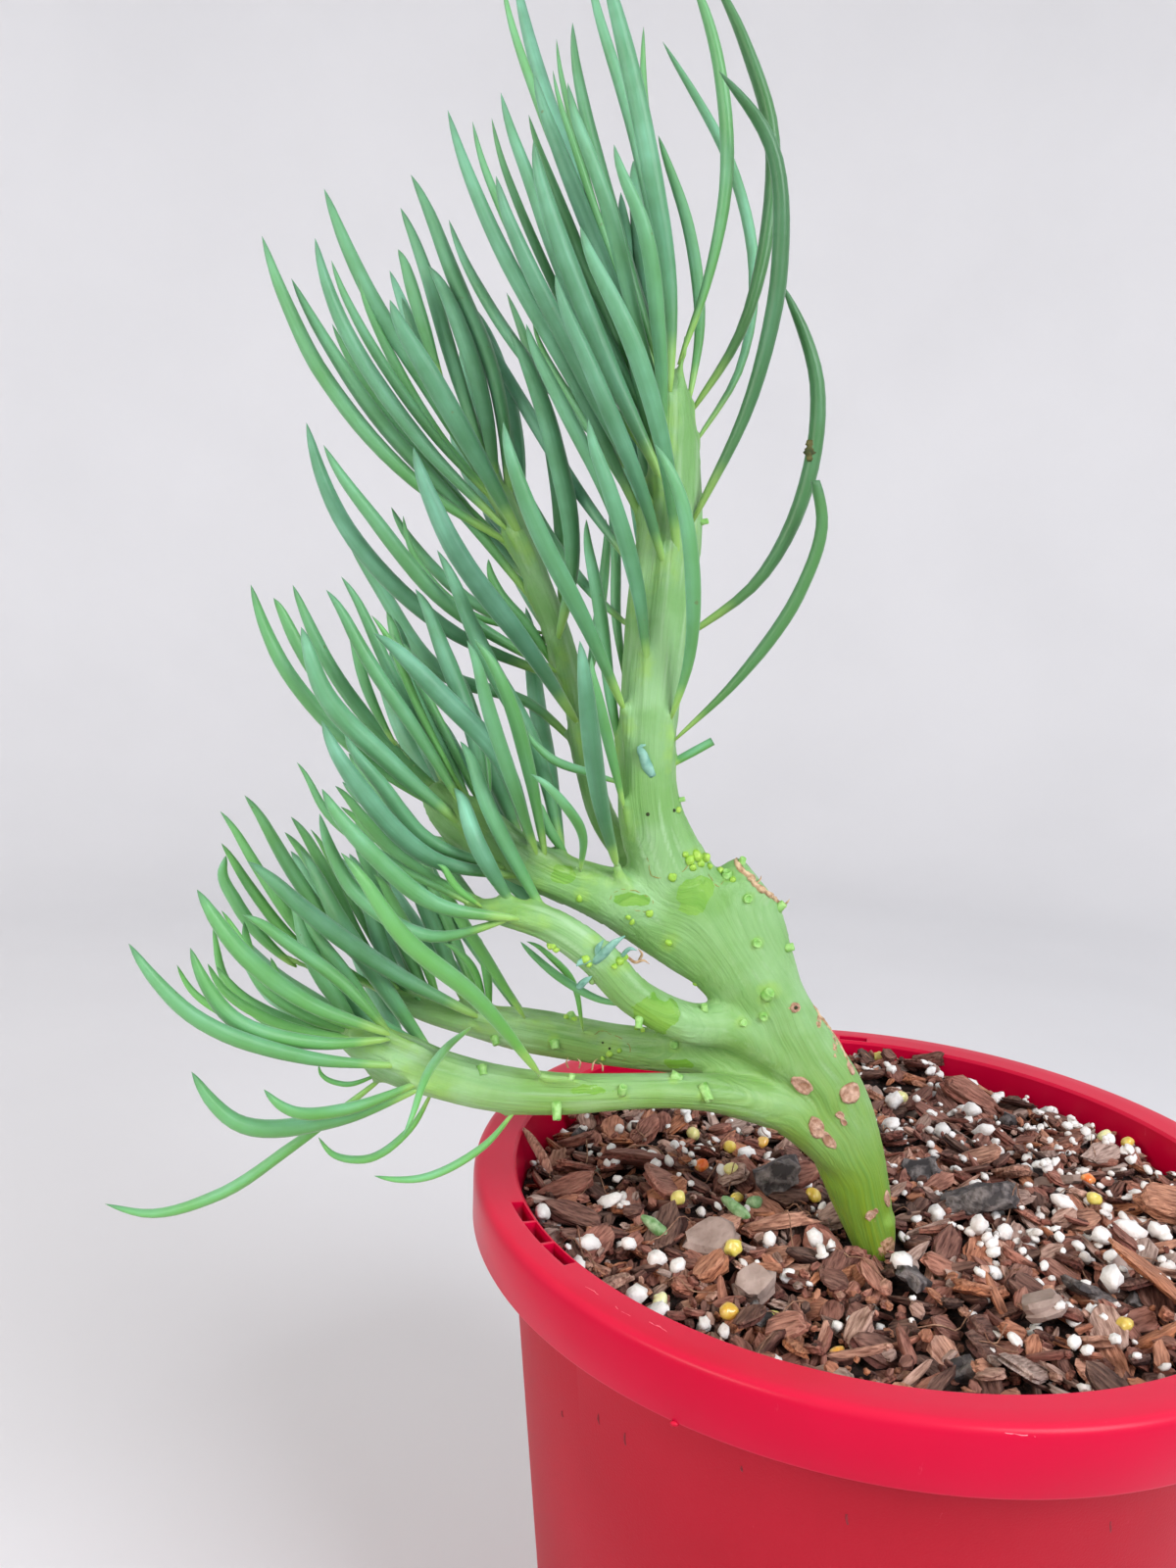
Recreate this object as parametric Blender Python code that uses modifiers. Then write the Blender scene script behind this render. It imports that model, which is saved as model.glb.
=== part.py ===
"""Crested blue chalk sticks growing in a round collared nursery pot.

The pot, its potting mix, the flat fanned trunk and each leafy shoot are separate solids.
World units are metres, +Z is up and the origin is the middle of the pot's underside.
"""
import math
import random
from typing import NamedTuple

import bmesh
import bpy
import numpy as np
from mathutils import Matrix, Vector

MM = 0.001
GAP = 0.3

# Pot, in millimetres. It is an injection moulding with a hollow collar round its mouth.
POT_HEIGHT = 188.3
RIM_RADIUS = 97.0
MOUTH_RADIUS = 86.9
MOUTH_DROP = 0.7
MOUTH_LIP = 0.35
COLLAR_HEIGHT = 13.1
COLLAR_TAPER = 0.2
CROWN = ((91.5, 0.15), (94.5, 0.0), (96.1, 0.8), (96.8, 2.0), (RIM_RADIUS, 3.4))
COLLAR_FILLET = ((0.9, 1.2), (0.0, 2.6))
WALL = 2.0
BODY_TOP_RADIUS = 88.4
BODY_FOOT_RADIUS = 70.5
FLOOR = 2.5
FOOT_ROUND = 2.5
FOOT_CURVE = ((0.7, 0.16), (1.5, 0.0))
POT_SIDES = 40
SLOT_COUNT = 3
SLOT_MIDDLE = math.radians(212.0)
SLOT_HALF_ANGLE = math.radians(8.8)
SLOT_INNER = 87.9
SLOT_OUTER = 90.6
SLOT_DEPTH = 7.0
SLOT_RIBS = 2
SLOT_RIB = 0.9
DRAIN_COUNT = 8
DRAIN_RADIUS = 4.5
DRAIN_RING = 56.0

# Potting mix, in millimetres.
SOIL_LEVEL = 180.6
SOIL_SLOPE = 0.03
SOIL_LEVEL_REACH = 30.0
SOIL_EDGE = 1.5
SOIL_EDGE_DROP = 3.0
SOIL_SIDE_GAP = 0.65
CHIP_COUNT = 40
CHIP_LENGTHS = (9.0, 19.0)
CHIP_WIDTHS = (6.0, 10.5)
CHIP_THICKNESS = (2.6, 4.4)
CHIP_RAISE = (-0.4, 1.3)
CHIP_PITCH = 22.0
CHIP_ROLL = 14.0
GRAIN_COUNT = 26
GRAIN_RADII = (1.7, 2.9)
GRAIN_RAISE = 0.9
RELIEF_MARGIN = 9.0
RELIEF_JITTER = 2.5
STEM_CLEAR = 14.0
GRAIN_CLEAR = 10.0
GOLDEN_ANGLE = math.radians(137.508)

# The front view that the plant is laid out in: an eye point in millimetres, turned down and
# rolled a little, and a picture plane with its own pixels.
EYE = np.array([-73.0, -273.5, 316.0])
EYE_DOWN = math.radians(7.78)
EYE_ROLL = math.radians(2.26)
FOCAL = 1200.0
VIEW_MIDDLE = (600.0, 800.0)

# The stem stands in a plain hole in the mix.
STEM_FOOT = (-4.0, -22.5)
STEM_FOOT_RADIUS = 4.7
STEM_FOOT_TIP = 0.8
STEM_FOOT_BOTTOM = SOIL_LEVEL - 38.0
STEM_FOOT_WAIST = SOIL_LEVEL - 12.0
STEM_FOOT_TOP = SOIL_LEVEL + 5.0
HOLE_RADIUS = 6.4
HOLE_SIDES = 16
HOLE_TOP = SOIL_LEVEL + 8.0
STEM_SIDES = 12
STEM_STEPS = 2

# Leaves.
LAYER = 6.5
SHORT_PROFILE = ((0.0, 0.75), (0.35, 1.0), (0.75, 0.78), (1.0, 0.07))
LEAF_PROFILE = ((0.0, 0.72), (0.25, 1.0), (0.6, 0.95), (0.85, 0.62), (1.0, 0.07))
LONG_PROFILE = ((0.0, 0.72), (0.2, 1.0), (0.42, 1.0), (0.64, 0.92), (0.86, 0.6), (1.0, 0.07))
CUT_PROFILE = ((0.0, 0.9), (0.5, 1.0), (1.0, 0.95))
ROOT_OFFSET = 0.35
CLEARANCE = 0.7
TOUCH = -0.6
SEARCH_REACH = 9.0
SHIFT_STEP = 1.5
SHIFT_LIMIT = 30.0
SHIFT_COST = 0.05
BEAD_STEP = 1.6
BEADS_A_SECTION = 4
BEADS_ACROSS = 7
ROOT_SHARE = 0.22


class Section(NamedTuple):
    """A cross-section of a limb: its middle in the front view, depth and half sizes."""

    x: float
    y: float
    depth: float
    half_width: float
    half_depth: float


class Leaf(NamedTuple):
    """A leaf: layer of its tip (behind is positive), width and route from root to tip."""

    layer: float
    width: float
    route: tuple


# Limbs of the crested stem. x, y and half_width are front-view pixels, and depth and
# half_depth are millimetres. Each one leaves the trunk at its section number `parting`.
LIMBS = {
    "main_shoot": dict(parting=7, sections=(
        Section(890, 1262, -22.5, 23, 4.7),
        Section(873, 1200, -22.5, 34, 5.2),
        Section(847, 1126, -22.8, 40, 5.8),
        Section(809, 1064, -23.2, 40, 6.2),
        Section(774, 1014, -23.8, 41, 6.4),
        Section(738, 968, -24.6, 46, 6.3),
        Section(698, 912, -26.0, 42, 6.0),
        Section(669, 848, -27.6, 36, 5.6),
        Section(661, 785, -28.6, 30, 5.4),
        Section(665, 700, -29.6, 31, 5.3),
        Section(674, 620, -30.2, 35, 5.2),
        Section(684, 535, -30.8, 32, 5.0),
        Section(689, 455, -31.4, 24, 4.4),
        Section(687, 385, -31.8, 17, 3.6),
        Section(676, 345, -32.0, 9, 2.4),
    )),
    "second_shoot": dict(parting=2, sections=(
        Section(690, 930, -24.0, 18, 3.6),
        Section(648, 880, -19.5, 16, 3.5),
        Section(614, 832, -15.0, 14, 3.3),
        Section(598, 775, -13.0, 14, 3.2),
        Section(588, 715, -12.0, 14, 3.2),
        Section(572, 655, -12.0, 14, 3.1),
        Section(552, 602, -12.0, 13, 3.0),
        Section(533, 555, -12.5, 13, 2.8),
        Section(514, 515, -13.0, 10, 2.3),
        Section(500, 488, -13.0, 5, 1.4),
    )),
    "upper_left_shoot": dict(parting=3, sections=(
        Section(790, 1022, -24.0, 24, 4.8),
        Section(718, 964, -25.2, 40, 5.4),
        Section(656, 926, -27.0, 38, 5.2),
        Section(612, 910, -28.0, 28, 4.8),
        Section(570, 895, -28.6, 24, 4.6),
        Section(530, 876, -29.0, 25, 4.4),
        Section(492, 852, -29.4, 29, 4.2),
        Section(460, 828, -29.6, 24, 3.6),
        Section(436, 804, -29.6, 12, 2.2),
    )),
    "middle_left_shoot": dict(parting=3, sections=(
        Section(830, 1105, -24.0, 24, 4.4),
        Section(760, 1052, -26.5, 24, 4.4),
        Section(699, 1043, -29.0, 21, 4.2),
        Section(646, 1015, -32.5, 20, 4.0),
        Section(607, 975, -35.5, 20, 3.8),
        Section(562, 945, -37.0, 18, 3.6),
        Section(515, 931, -37.5, 15, 3.2),
        Section(475, 926, -37.5, 8, 2.0),
    )),
    "lower_left_shoot": dict(parting=4, sections=(
        Section(858, 1152, -22.5, 26, 4.6),
        Section(800, 1098, -21.5, 28, 4.6),
        Section(740, 1077, -22.0, 26, 4.6),
        Section(680, 1073, -20.0, 23, 4.3),
        Section(625, 1067, -17.0, 22, 4.2),
        Section(575, 1058, -15.0, 23, 4.2),
        Section(525, 1049, -14.5, 22, 4.0),
        Section(475, 1040, -14.0, 16, 3.6),
        Section(430, 1030, -14.0, 11, 3.0),
        Section(395, 1018, -14.0, 6, 1.8),
    )),
    "lowest_shoot": dict(parting=4, sections=(
        Section(868, 1185, -23.5, 26, 4.6),
        Section(810, 1138, -25.5, 24, 4.6),
        Section(750, 1119, -28.5, 21, 4.4),
        Section(695, 1113, -31.0, 18, 4.2),
        Section(640, 1113, -32.5, 19, 4.2),
        Section(570, 1116, -33.5, 23, 4.3),
        Section(505, 1110, -34.0, 25, 4.4),
        Section(450, 1096, -34.2, 26, 4.3),
        Section(408, 1080, -34.4, 28, 4.0),
        Section(375, 1068, -34.4, 20, 3.0),
        Section(352, 1060, -34.4, 9, 1.8),
    )),
    "cut_stub": dict(parting=None, sections=(
        Section(792, 1052, -23.4, 34, 5.2),
        Section(768, 992, -24.0, 40, 5.3),
        Section(762, 946, -24.5, 42, 5.0),
        Section(767, 917, -24.8, 38, 4.8),
        Section(777, 899, -25.0, 32, 4.5),
    )),
}

# Leaves whose place shows in the front view, in its pixels, root first.
LEAVES = {
    "trunk": (
        Leaf(1, 9, ((648, 1026), (612, 1020), (575, 1000), (530, 962))),
    ),
    "main_shoot": (
        Leaf(-4, 24, ((640, 828), (608, 795), (598, 730), (594, 658))),
        Leaf(-3, 17, ((684, 736), (703, 672), (707, 600), (695, 510), (672, 452))),
        Leaf(-2.5, 22, ((692, 577), (681, 475), (648, 355), (588, 233))),
        Leaf(-2, 20, ((681, 588), (655, 500), (612, 395), (562, 282))),
        Leaf(-2.5, 19, ((662, 688), (650, 595), (624, 505), (596, 429))),
        Leaf(-3, 21, ((638, 728), (600, 640), (545, 530), (509, 432))),
        Leaf(-1, 17, ((650, 600), (620, 505), (575, 415), (533, 333))),
        Leaf(4, 15, ((655, 590), (583, 490), (530, 405), (484, 325))),
        Leaf(4, 12, ((640, 640), (600, 600), (560, 545), (525, 480))),
        Leaf(-2, 13, ((636, 826), (623, 765), (610, 710), (600, 672))),
        Leaf(2, 11, ((640, 705), (629, 630), (628, 560), (622, 500))),
        Leaf(0, 15, ((640, 800), (624, 715), (612, 620), (595, 531))),
        Leaf(0, 10, ((636, 800), (600, 788), (565, 775), (535, 748))),
        Leaf(-1, 21, ((683, 408), (684, 300), (664, 170), (628, 10), (612, -45))),
        Leaf(-2, 19, ((678, 470), (673, 340), (657, 230), (622, 150))),
        Leaf(1, 14, ((676, 400), (672, 260), (648, 140), (608, 5), (596, -40))),
        Leaf(2, 10, ((680, 380), (668, 210), (657, 90), (655, 30))),
        Leaf(2, 13, ((708, 412), (714, 330), (703, 235), (672, 140))),
        Leaf(0, 15, ((692, 372), (722, 285), (741, 180), (732, 60), (705, -35))),
        Leaf(1, 17, ((703, 424), (755, 340), (782, 240), (786, 130), (760, 45), (728, -30))),
        Leaf(-1, 19, ((705, 536), (768, 400), (795, 270), (787, 150), (737, 70))),
        Leaf(3, 12, ((708, 456), (755, 375), (769, 270), (750, 180), (678, 43))),
        Leaf(0, 18, ((706, 652), (775, 590), (826, 480), (834, 400), (802, 288))),
        Leaf(-1, 15, ((688, 758), (755, 690), (815, 605), (838, 540), (836, 490))),
        Leaf(0, 10, ((686, 779), (727, 756))),
        Leaf(-1, 18, ((680, 430), (650, 330), (622, 215), (575, 87))),
        Leaf(0, 16, ((680, 400), (632, 240), (597, 110), (580, 25))),
        Leaf(1, 9, ((675, 380), (608, 215), (578, 100), (564, 42))),
        Leaf(0, 9, ((678, 400), (608, 215), (578, 125), (560, 74))),
        Leaf(-1, 20, ((680, 440), (615, 265), (570, 150), (541, 76))),
        Leaf(0, 20, ((678, 410), (600, 210), (555, 90), (522, -30))),
        Leaf(1, 12, ((674, 380), (582, 185), (532, 55), (508, -20))),
        Leaf(-1, 24, ((680, 500), (608, 340), (565, 225), (540, 145))),
        Leaf(0, 18, ((675, 480), (580, 290), (532, 160), (507, 97))),
        Leaf(1, 13, ((678, 470), (605, 290), (562, 182), (536, 120))),
        Leaf(-1, 21, ((672, 530), (590, 370), (535, 260), (502, 182))),
        Leaf(0, 12, ((670, 480), (560, 310), (500, 185), (478, 126))),
        Leaf(1, 11, ((674, 480), (575, 310), (520, 185), (498, 123))),
        Leaf(0, 19, ((664, 550), (590, 395), (510, 250), (453, 115))),
        Leaf(0, 16, ((672, 450), (595, 300), (540, 203))),
        Leaf(1, 9, ((662, 540), (595, 425), (562, 372), (540, 330))),
        Leaf(0, 14, ((672, 495), (660, 430), (640, 330))),
        Leaf(2, 14, ((664, 500), (590, 425), (525, 350), (487, 290), (455, 227))),
    ),
    "second_shoot": (
        Leaf(0, 18, ((525, 560), (425, 492), (330, 382), (264, 243))),
        Leaf(0, 17, ((550, 624), (470, 520), (385, 425), (295, 287))),
        Leaf(1, 12, ((530, 570), (440, 480), (372, 390), (337, 333))),
        Leaf(-1, 18, ((522, 545), (430, 450), (350, 330), (318, 245))),
        Leaf(0, 12, ((512, 520), (440, 440), (375, 345), (335, 268))),
        Leaf(1, 18, ((520, 530), (440, 400), (372, 290), (330, 195))),
        Leaf(-2, 24, ((533, 550), (490, 470), (435, 375), (394, 308))),
        Leaf(0, 12, ((515, 520), (445, 440), (395, 355), (363, 285))),
        Leaf(-3, 24, ((592, 742), (540, 662), (465, 560), (418, 458))),
        Leaf(1, 16, ((505, 500), (462, 370), (432, 270), (411, 213))),
        Leaf(0, 20, ((508, 510), (490, 400), (465, 325), (441, 270))),
        Leaf(0, 15, ((505, 500), (455, 400), (425, 310), (409, 255))),
        Leaf(1, 9, ((503, 490), (448, 390), (427, 350))),
        Leaf(1, 11, ((505, 495), (483, 430), (464, 378))),
        Leaf(0, 19, ((522, 530), (505, 390), (460, 275), (423, 178))),
        Leaf(1, 20, ((530, 548), (527, 460), (508, 375), (484, 312))),
        Leaf(-1, 22, ((568, 657), (583, 580), (562, 445), (524, 335))),
        Leaf(1, 14, ((574, 645), (565, 480), (540, 360), (519, 300))),
        Leaf(0, 20, ((572, 695), (455, 640), (352, 535), (309, 433))),
        Leaf(-1, 18, ((568, 690), (450, 610), (375, 520), (327, 457))),
        Leaf(2, 13, ((560, 660), (470, 605), (430, 565), (397, 520))),
        Leaf(1, 9, ((556, 650), (470, 620), (425, 570), (408, 528))),
        Leaf(2, 17, ((594, 765), (545, 720), (450, 685), (385, 595), (345, 530))),
        Leaf(0, 13, ((578, 700), (540, 640), (510, 605), (495, 572))),
        Leaf(1, 12, ((592, 735), (606, 660), (616, 590), (621, 530))),
    ),
    "upper_left_shoot": (
        Leaf(-3, 17, ((549, 876), (530, 820), (497, 720), (481, 653))),
        Leaf(-2, 17, ((557, 878), (540, 790), (515, 705), (488, 650))),
        Leaf(1, 20, ((575, 888), (550, 775), (490, 660), (450, 560))),
        Leaf(-1, 24, ((545, 868), (510, 775), (445, 705), (385, 643))),
        Leaf(-1, 17, ((480, 835), (430, 755), (370, 665), (337, 600))),
        Leaf(0, 14, ((485, 830), (400, 690), (370, 625), (352, 587))),
        Leaf(-1, 17, ((466, 835), (370, 770), (290, 680), (253, 598))),
        Leaf(0, 14, ((460, 824), (360, 740), (305, 660), (281, 610))),
        Leaf(-2, 22, ((475, 845), (400, 780), (330, 705), (308, 640))),
        Leaf(1, 15, ((468, 825), (400, 762), (340, 685), (298, 598))),
        Leaf(0, 10, ((480, 825), (430, 730), (400, 660), (383, 626))),
        Leaf(1, 10, ((500, 840), (440, 720), (415, 670), (404, 646))),
        Leaf(0, 12, ((455, 820), (410, 770), (375, 705), (357, 640))),
        Leaf(1, 20, ((500, 842), (480, 740), (450, 660), (428, 600))),
        Leaf(1, 18, ((485, 835), (450, 760), (425, 700), (415, 655))),
        Leaf(1, 11, ((498, 836), (495, 780), (485, 730))),
        Leaf(-3, 22, ((532, 895), (440, 875), (365, 800), (325, 738))),
        Leaf(-2, 18, ((525, 890), (435, 855), (385, 795), (348, 752))),
        Leaf(2, 14, ((500, 868), (430, 860), (375, 820), (349, 800))),
        Leaf(2, 13, ((480, 860), (420, 850), (380, 800), (355, 770))),
        Leaf(4, 20, ((575, 888), (560, 790), (545, 700), (540, 620))),
        Leaf(-3, 12, ((592, 890), (594, 852), (575, 820), (545, 788))),
        Leaf(0, 12, ((588, 892), (574, 868), (558, 843), (548, 815))),
    ),
    "middle_left_shoot": (
        Leaf(-2, 21, ((532, 938), (445, 922), (375, 865), (325, 808))),
        Leaf(-1, 17, ((520, 938), (440, 955), (365, 912), (322, 832))),
        Leaf(0, 11, ((490, 928), (400, 880), (330, 825), (307, 776))),
        Leaf(1, 14, ((510, 928), (430, 890), (375, 840), (345, 800))),
        Leaf(1, 12, ((500, 928), (440, 900), (390, 860), (350, 822))),
        Leaf(0, 9, ((492, 926), (465, 905), (450, 880))),
    ),
    "lower_left_shoot": (
        Leaf(-2, 21, ((492, 1040), (400, 992), (310, 928), (255, 876))),
        Leaf(-2, 14, ((536, 1040), (500, 985), (468, 935), (437, 883))),
        Leaf(-1, 8, ((595, 1052), (583, 1000), (560, 975), (540, 958))),
        Leaf(0, 9, ((497, 1034), (480, 985), (455, 960))),
        Leaf(0, 11, ((500, 1034), (495, 985), (485, 950))),
        Leaf(1, 18, ((432, 1030), (395, 980), (375, 920), (360, 870))),
        Leaf(2, 18, ((440, 1030), (415, 970), (385, 910), (365, 860))),
        Leaf(1, 14, ((450, 1030), (430, 975), (405, 930), (385, 890))),
        Leaf(1, 16, ((420, 1028), (345, 955), (295, 885), (253, 810))),
        Leaf(1, 15, ((420, 1028), (370, 965), (335, 895), (300, 832))),
        Leaf(2, 14, ((415, 1026), (365, 970), (325, 895), (293, 848))),
        Leaf(2, 9, ((420, 1028), (370, 940), (340, 885), (320, 845))),
        Leaf(0, 6, ((482, 1046), (450, 1045), (432, 1030), (425, 1015))),
        Leaf(0, 13, ((405, 1022), (320, 965), (265, 890), (228, 826))),
        Leaf(0, 12, ((405, 1022), (310, 970), (255, 905), (227, 860))),
        Leaf(0, 15, ((400, 1020), (300, 985), (240, 920), (227, 888), (234, 874))),
        Leaf(-6, 10, ((481, 1048), (450, 1075), (428, 1115), (415, 1162))),
    ),
    "lowest_shoot": (
        Leaf(-4, 21, ((552, 1098), (485, 1018), (410, 955), (352, 868))),
        Leaf(-2, 20, ((402, 1056), (305, 1018), (245, 970), (200, 909))),
        Leaf(-2, 19, ((400, 1060), (330, 1064), (240, 1040), (190, 970))),
        Leaf(-3, 19, ((412, 1088), (310, 1078), (200, 1038), (128, 966))),
        Leaf(0, 9, ((385, 1060), (310, 1025), (250, 965), (227, 928))),
        Leaf(0, 9, ((375, 1068), (240, 1040), (200, 1015), (178, 986))),
        Leaf(0, 11, ((378, 1064), (275, 1040), (230, 1012), (210, 984))),
        Leaf(1, 12, ((380, 1062), (290, 1040), (245, 1015), (220, 987))),
        Leaf(1, 11, ((385, 1064), (270, 1040), (230, 1000), (217, 945))),
        Leaf(1, 14, ((390, 1060), (310, 1035), (265, 1000), (247, 940))),
        Leaf(1, 11, ((395, 1060), (320, 1045), (290, 1010), (276, 977))),
        Leaf(-2, 20, ((434, 1108), (340, 1142), (245, 1146), (192, 1097))),
        Leaf(-3, 15, ((434, 1102), (350, 1132), (300, 1134), (267, 1116))),
        Leaf(0, 13, ((395, 1096), (300, 1168), (220, 1220), (155, 1238), (107, 1232))),
        Leaf(1, 9, ((442, 1112), (418, 1152), (370, 1183), (340, 1178), (323, 1162))),
        Leaf(0, 9, ((530, 1128), (490, 1172), (430, 1202), (382, 1203))),
        Leaf(0, 6, ((390, 1096), (350, 1106), (332, 1100), (322, 1088))),
        Leaf(0, 16, ((402, 1060), (345, 1000), (290, 960), (250, 930))),
        Leaf(1, 14, ((400, 1058), (350, 990), (320, 950), (305, 915))),
    ),
}

# Leaves of the far side, which a rule spreads between these front-view headings (degrees,
# from right round by up), with their number, their length in millimetres and the share of
# the shoot's length where they start.
FAR_LEAVES = {
    "main_shoot": dict(count=11, heading=(96, 130), length=(50, 66), start=0.34),
    "second_shoot": dict(count=7, heading=(112, 144), length=(50, 66), start=0.35),
    "upper_left_shoot": dict(count=9, heading=(112, 146), length=(40, 56), start=0.3),
    "middle_left_shoot": dict(count=6, heading=(118, 160), length=(42, 58), start=0.3),
    "lower_left_shoot": dict(count=7, heading=(112, 156), length=(46, 62), start=0.35),
    "lowest_shoot": dict(count=7, heading=(128, 186), length=(46, 62), start=0.45),
}
FAR_RADII = (1.7, 2.3)
FAR_SIDE = 0.6
FAR_BACK = (18.0, 52.0)
FAR_BOW = 2.0
FAR_STEPS = ((0.34, 0.0), (0.68, 0.05), (0.96, 0.15))

# Stubs and scars left on the bare stem by fallen leaves: front-view place and radius in mm.
PEGS = (
    (770, 965, 1.3), (775, 1012, 1.5), (742, 952, 1.3), (742, 1030, 1.2), (760, 1042, 1.1),
    (812, 1030, 1.4), (823, 1110, 1.7), (868, 1115, 1.7), (838, 1158, 1.9), (905, 1225, 1.3),
    (718, 1116, 1.4), (683, 1098, 1.3), (655, 1110, 1.2), (880, 1180, 1.2), (688, 905, 1.2),
)
PEG_LENGTH = 2.2
PEG_SUNK = 1.6
PEG_SIDES = 7
PEG_FACE = 0.85
PEG_HEADING = (-0.25, -1.0, 0.25)

COLOURS = {
    "pot": (0.78, 0.01, 0.04),
    "potting_mix": (0.12, 0.06, 0.04),
    "trunk": (0.30, 0.55, 0.20),
    "leaf": (0.12, 0.36, 0.24),
}
ROUGHNESS = {"pot": 0.35, "potting_mix": 0.9, "trunk": 0.5, "leaf": 0.6}


def clear_scene():
    """Remove every object of the scene."""
    for thing in list(bpy.data.objects):
        bpy.data.objects.remove(thing, do_unlink=True)


def material(name, kind):
    """A Principled material of one kind's colour for the part called name."""
    made = bpy.data.materials.new(name)
    made.use_nodes = True
    shader = made.node_tree.nodes["Principled BSDF"]
    shader.inputs["Base Color"].default_value = (*COLOURS[kind], 1.0)
    shader.inputs["Roughness"].default_value = ROUGHNESS[kind]
    shader.inputs["Metallic"].default_value = 0.0
    return made


def link(name, mesh, collection):
    """An object for the mesh in the collection."""
    thing = bpy.data.objects.new(name, mesh)
    collection.objects.link(thing)
    return thing


def settle(thing):
    """Apply the object's modifiers to its mesh."""
    graph = bpy.context.evaluated_depsgraph_get()
    mesh = bpy.data.meshes.new_from_object(thing.evaluated_get(graph))
    thing.modifiers.clear()
    thing.data = mesh


def boolean(thing, operation, others, solver="EXACT"):
    """Join the other objects to the thing, or cut them from it, in one operation."""
    group = bpy.data.collections.new(thing.name + "_group")
    bpy.context.scene.collection.children.link(group)
    for other in others:
        for home in list(other.users_collection):
            home.objects.unlink(other)
        group.objects.link(other)
    step = thing.modifiers.new(operation.lower(), "BOOLEAN")
    step.operation = operation
    step.operand_type = "COLLECTION"
    step.collection = group
    step.solver = solver
    settle(thing)
    for other in list(group.objects):
        bpy.data.objects.remove(other, do_unlink=True)
    bpy.data.collections.remove(group)


def turned(name, profile, collection, sides):
    """A solid turned round Z from (radius, height) points in millimetres."""
    mesh = bpy.data.meshes.new(name)
    points = [(r * MM, 0.0, z * MM) for r, z in profile]
    mesh.from_pydata(points, [(i, i + 1) for i in range(len(points) - 1)], [])
    thing = link(name, mesh, collection)
    screw = thing.modifiers.new("turn", "SCREW")
    screw.steps = sides
    screw.render_steps = sides
    screw.use_merge_vertices = True
    screw.merge_threshold = 0.00001
    settle(thing)
    return thing


def arc_block(name, collection, radii, heights, angles, steps=8):
    """A block bent round Z between two radii, two heights and two angles."""
    shape = bmesh.new()
    ends = []
    for angle in np.linspace(angles[0], angles[1], steps):
        ring = [shape.verts.new((r * MM * math.cos(angle), r * MM * math.sin(angle), z * MM))
                for r, z in ((radii[0], heights[0]), (radii[1], heights[0]),
                             (radii[1], heights[1]), (radii[0], heights[1]))]
        ends.append(ring)
    loft_faces(shape, ends)
    mesh = bpy.data.meshes.new(name)
    shape.to_mesh(mesh)
    shape.free()
    return link(name, mesh, collection)


def loft_faces(shape, rings):
    """Skin the rings of vertices one after another and close both ends, facing outwards."""
    for low, high in zip(rings, rings[1:]):
        for i in range(len(low)):
            j = (i + 1) % len(low)
            shape.faces.new((low[i], low[j], high[j], high[i]))
    shape.faces.new(rings[0])
    shape.faces.new(rings[-1])
    bmesh.ops.recalc_face_normals(shape, faces=shape.faces)


def cylinder(name, collection, radius, middle, height, sides=16, turn=None):
    """A plain cylinder about its middle point, in millimetres."""
    shape = bmesh.new()
    bmesh.ops.create_cone(shape, cap_ends=True, segments=sides, radius1=radius * MM,
                          radius2=radius * MM, depth=height * MM)
    place = Matrix.Translation(Vector(middle) * MM)
    if turn is not None:
        place = place @ turn.to_4x4()
    shape.transform(place)
    mesh = bpy.data.meshes.new(name)
    shape.to_mesh(mesh)
    shape.free()
    return link(name, mesh, collection)


def inner_radius(height):
    """The pot's inner wall radius at a height."""
    share = (height - FLOOR) / (POT_HEIGHT - MOUTH_DROP - FLOOR)
    foot = BODY_FOOT_RADIUS - WALL
    return foot + share * (MOUTH_RADIUS - foot)


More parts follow.
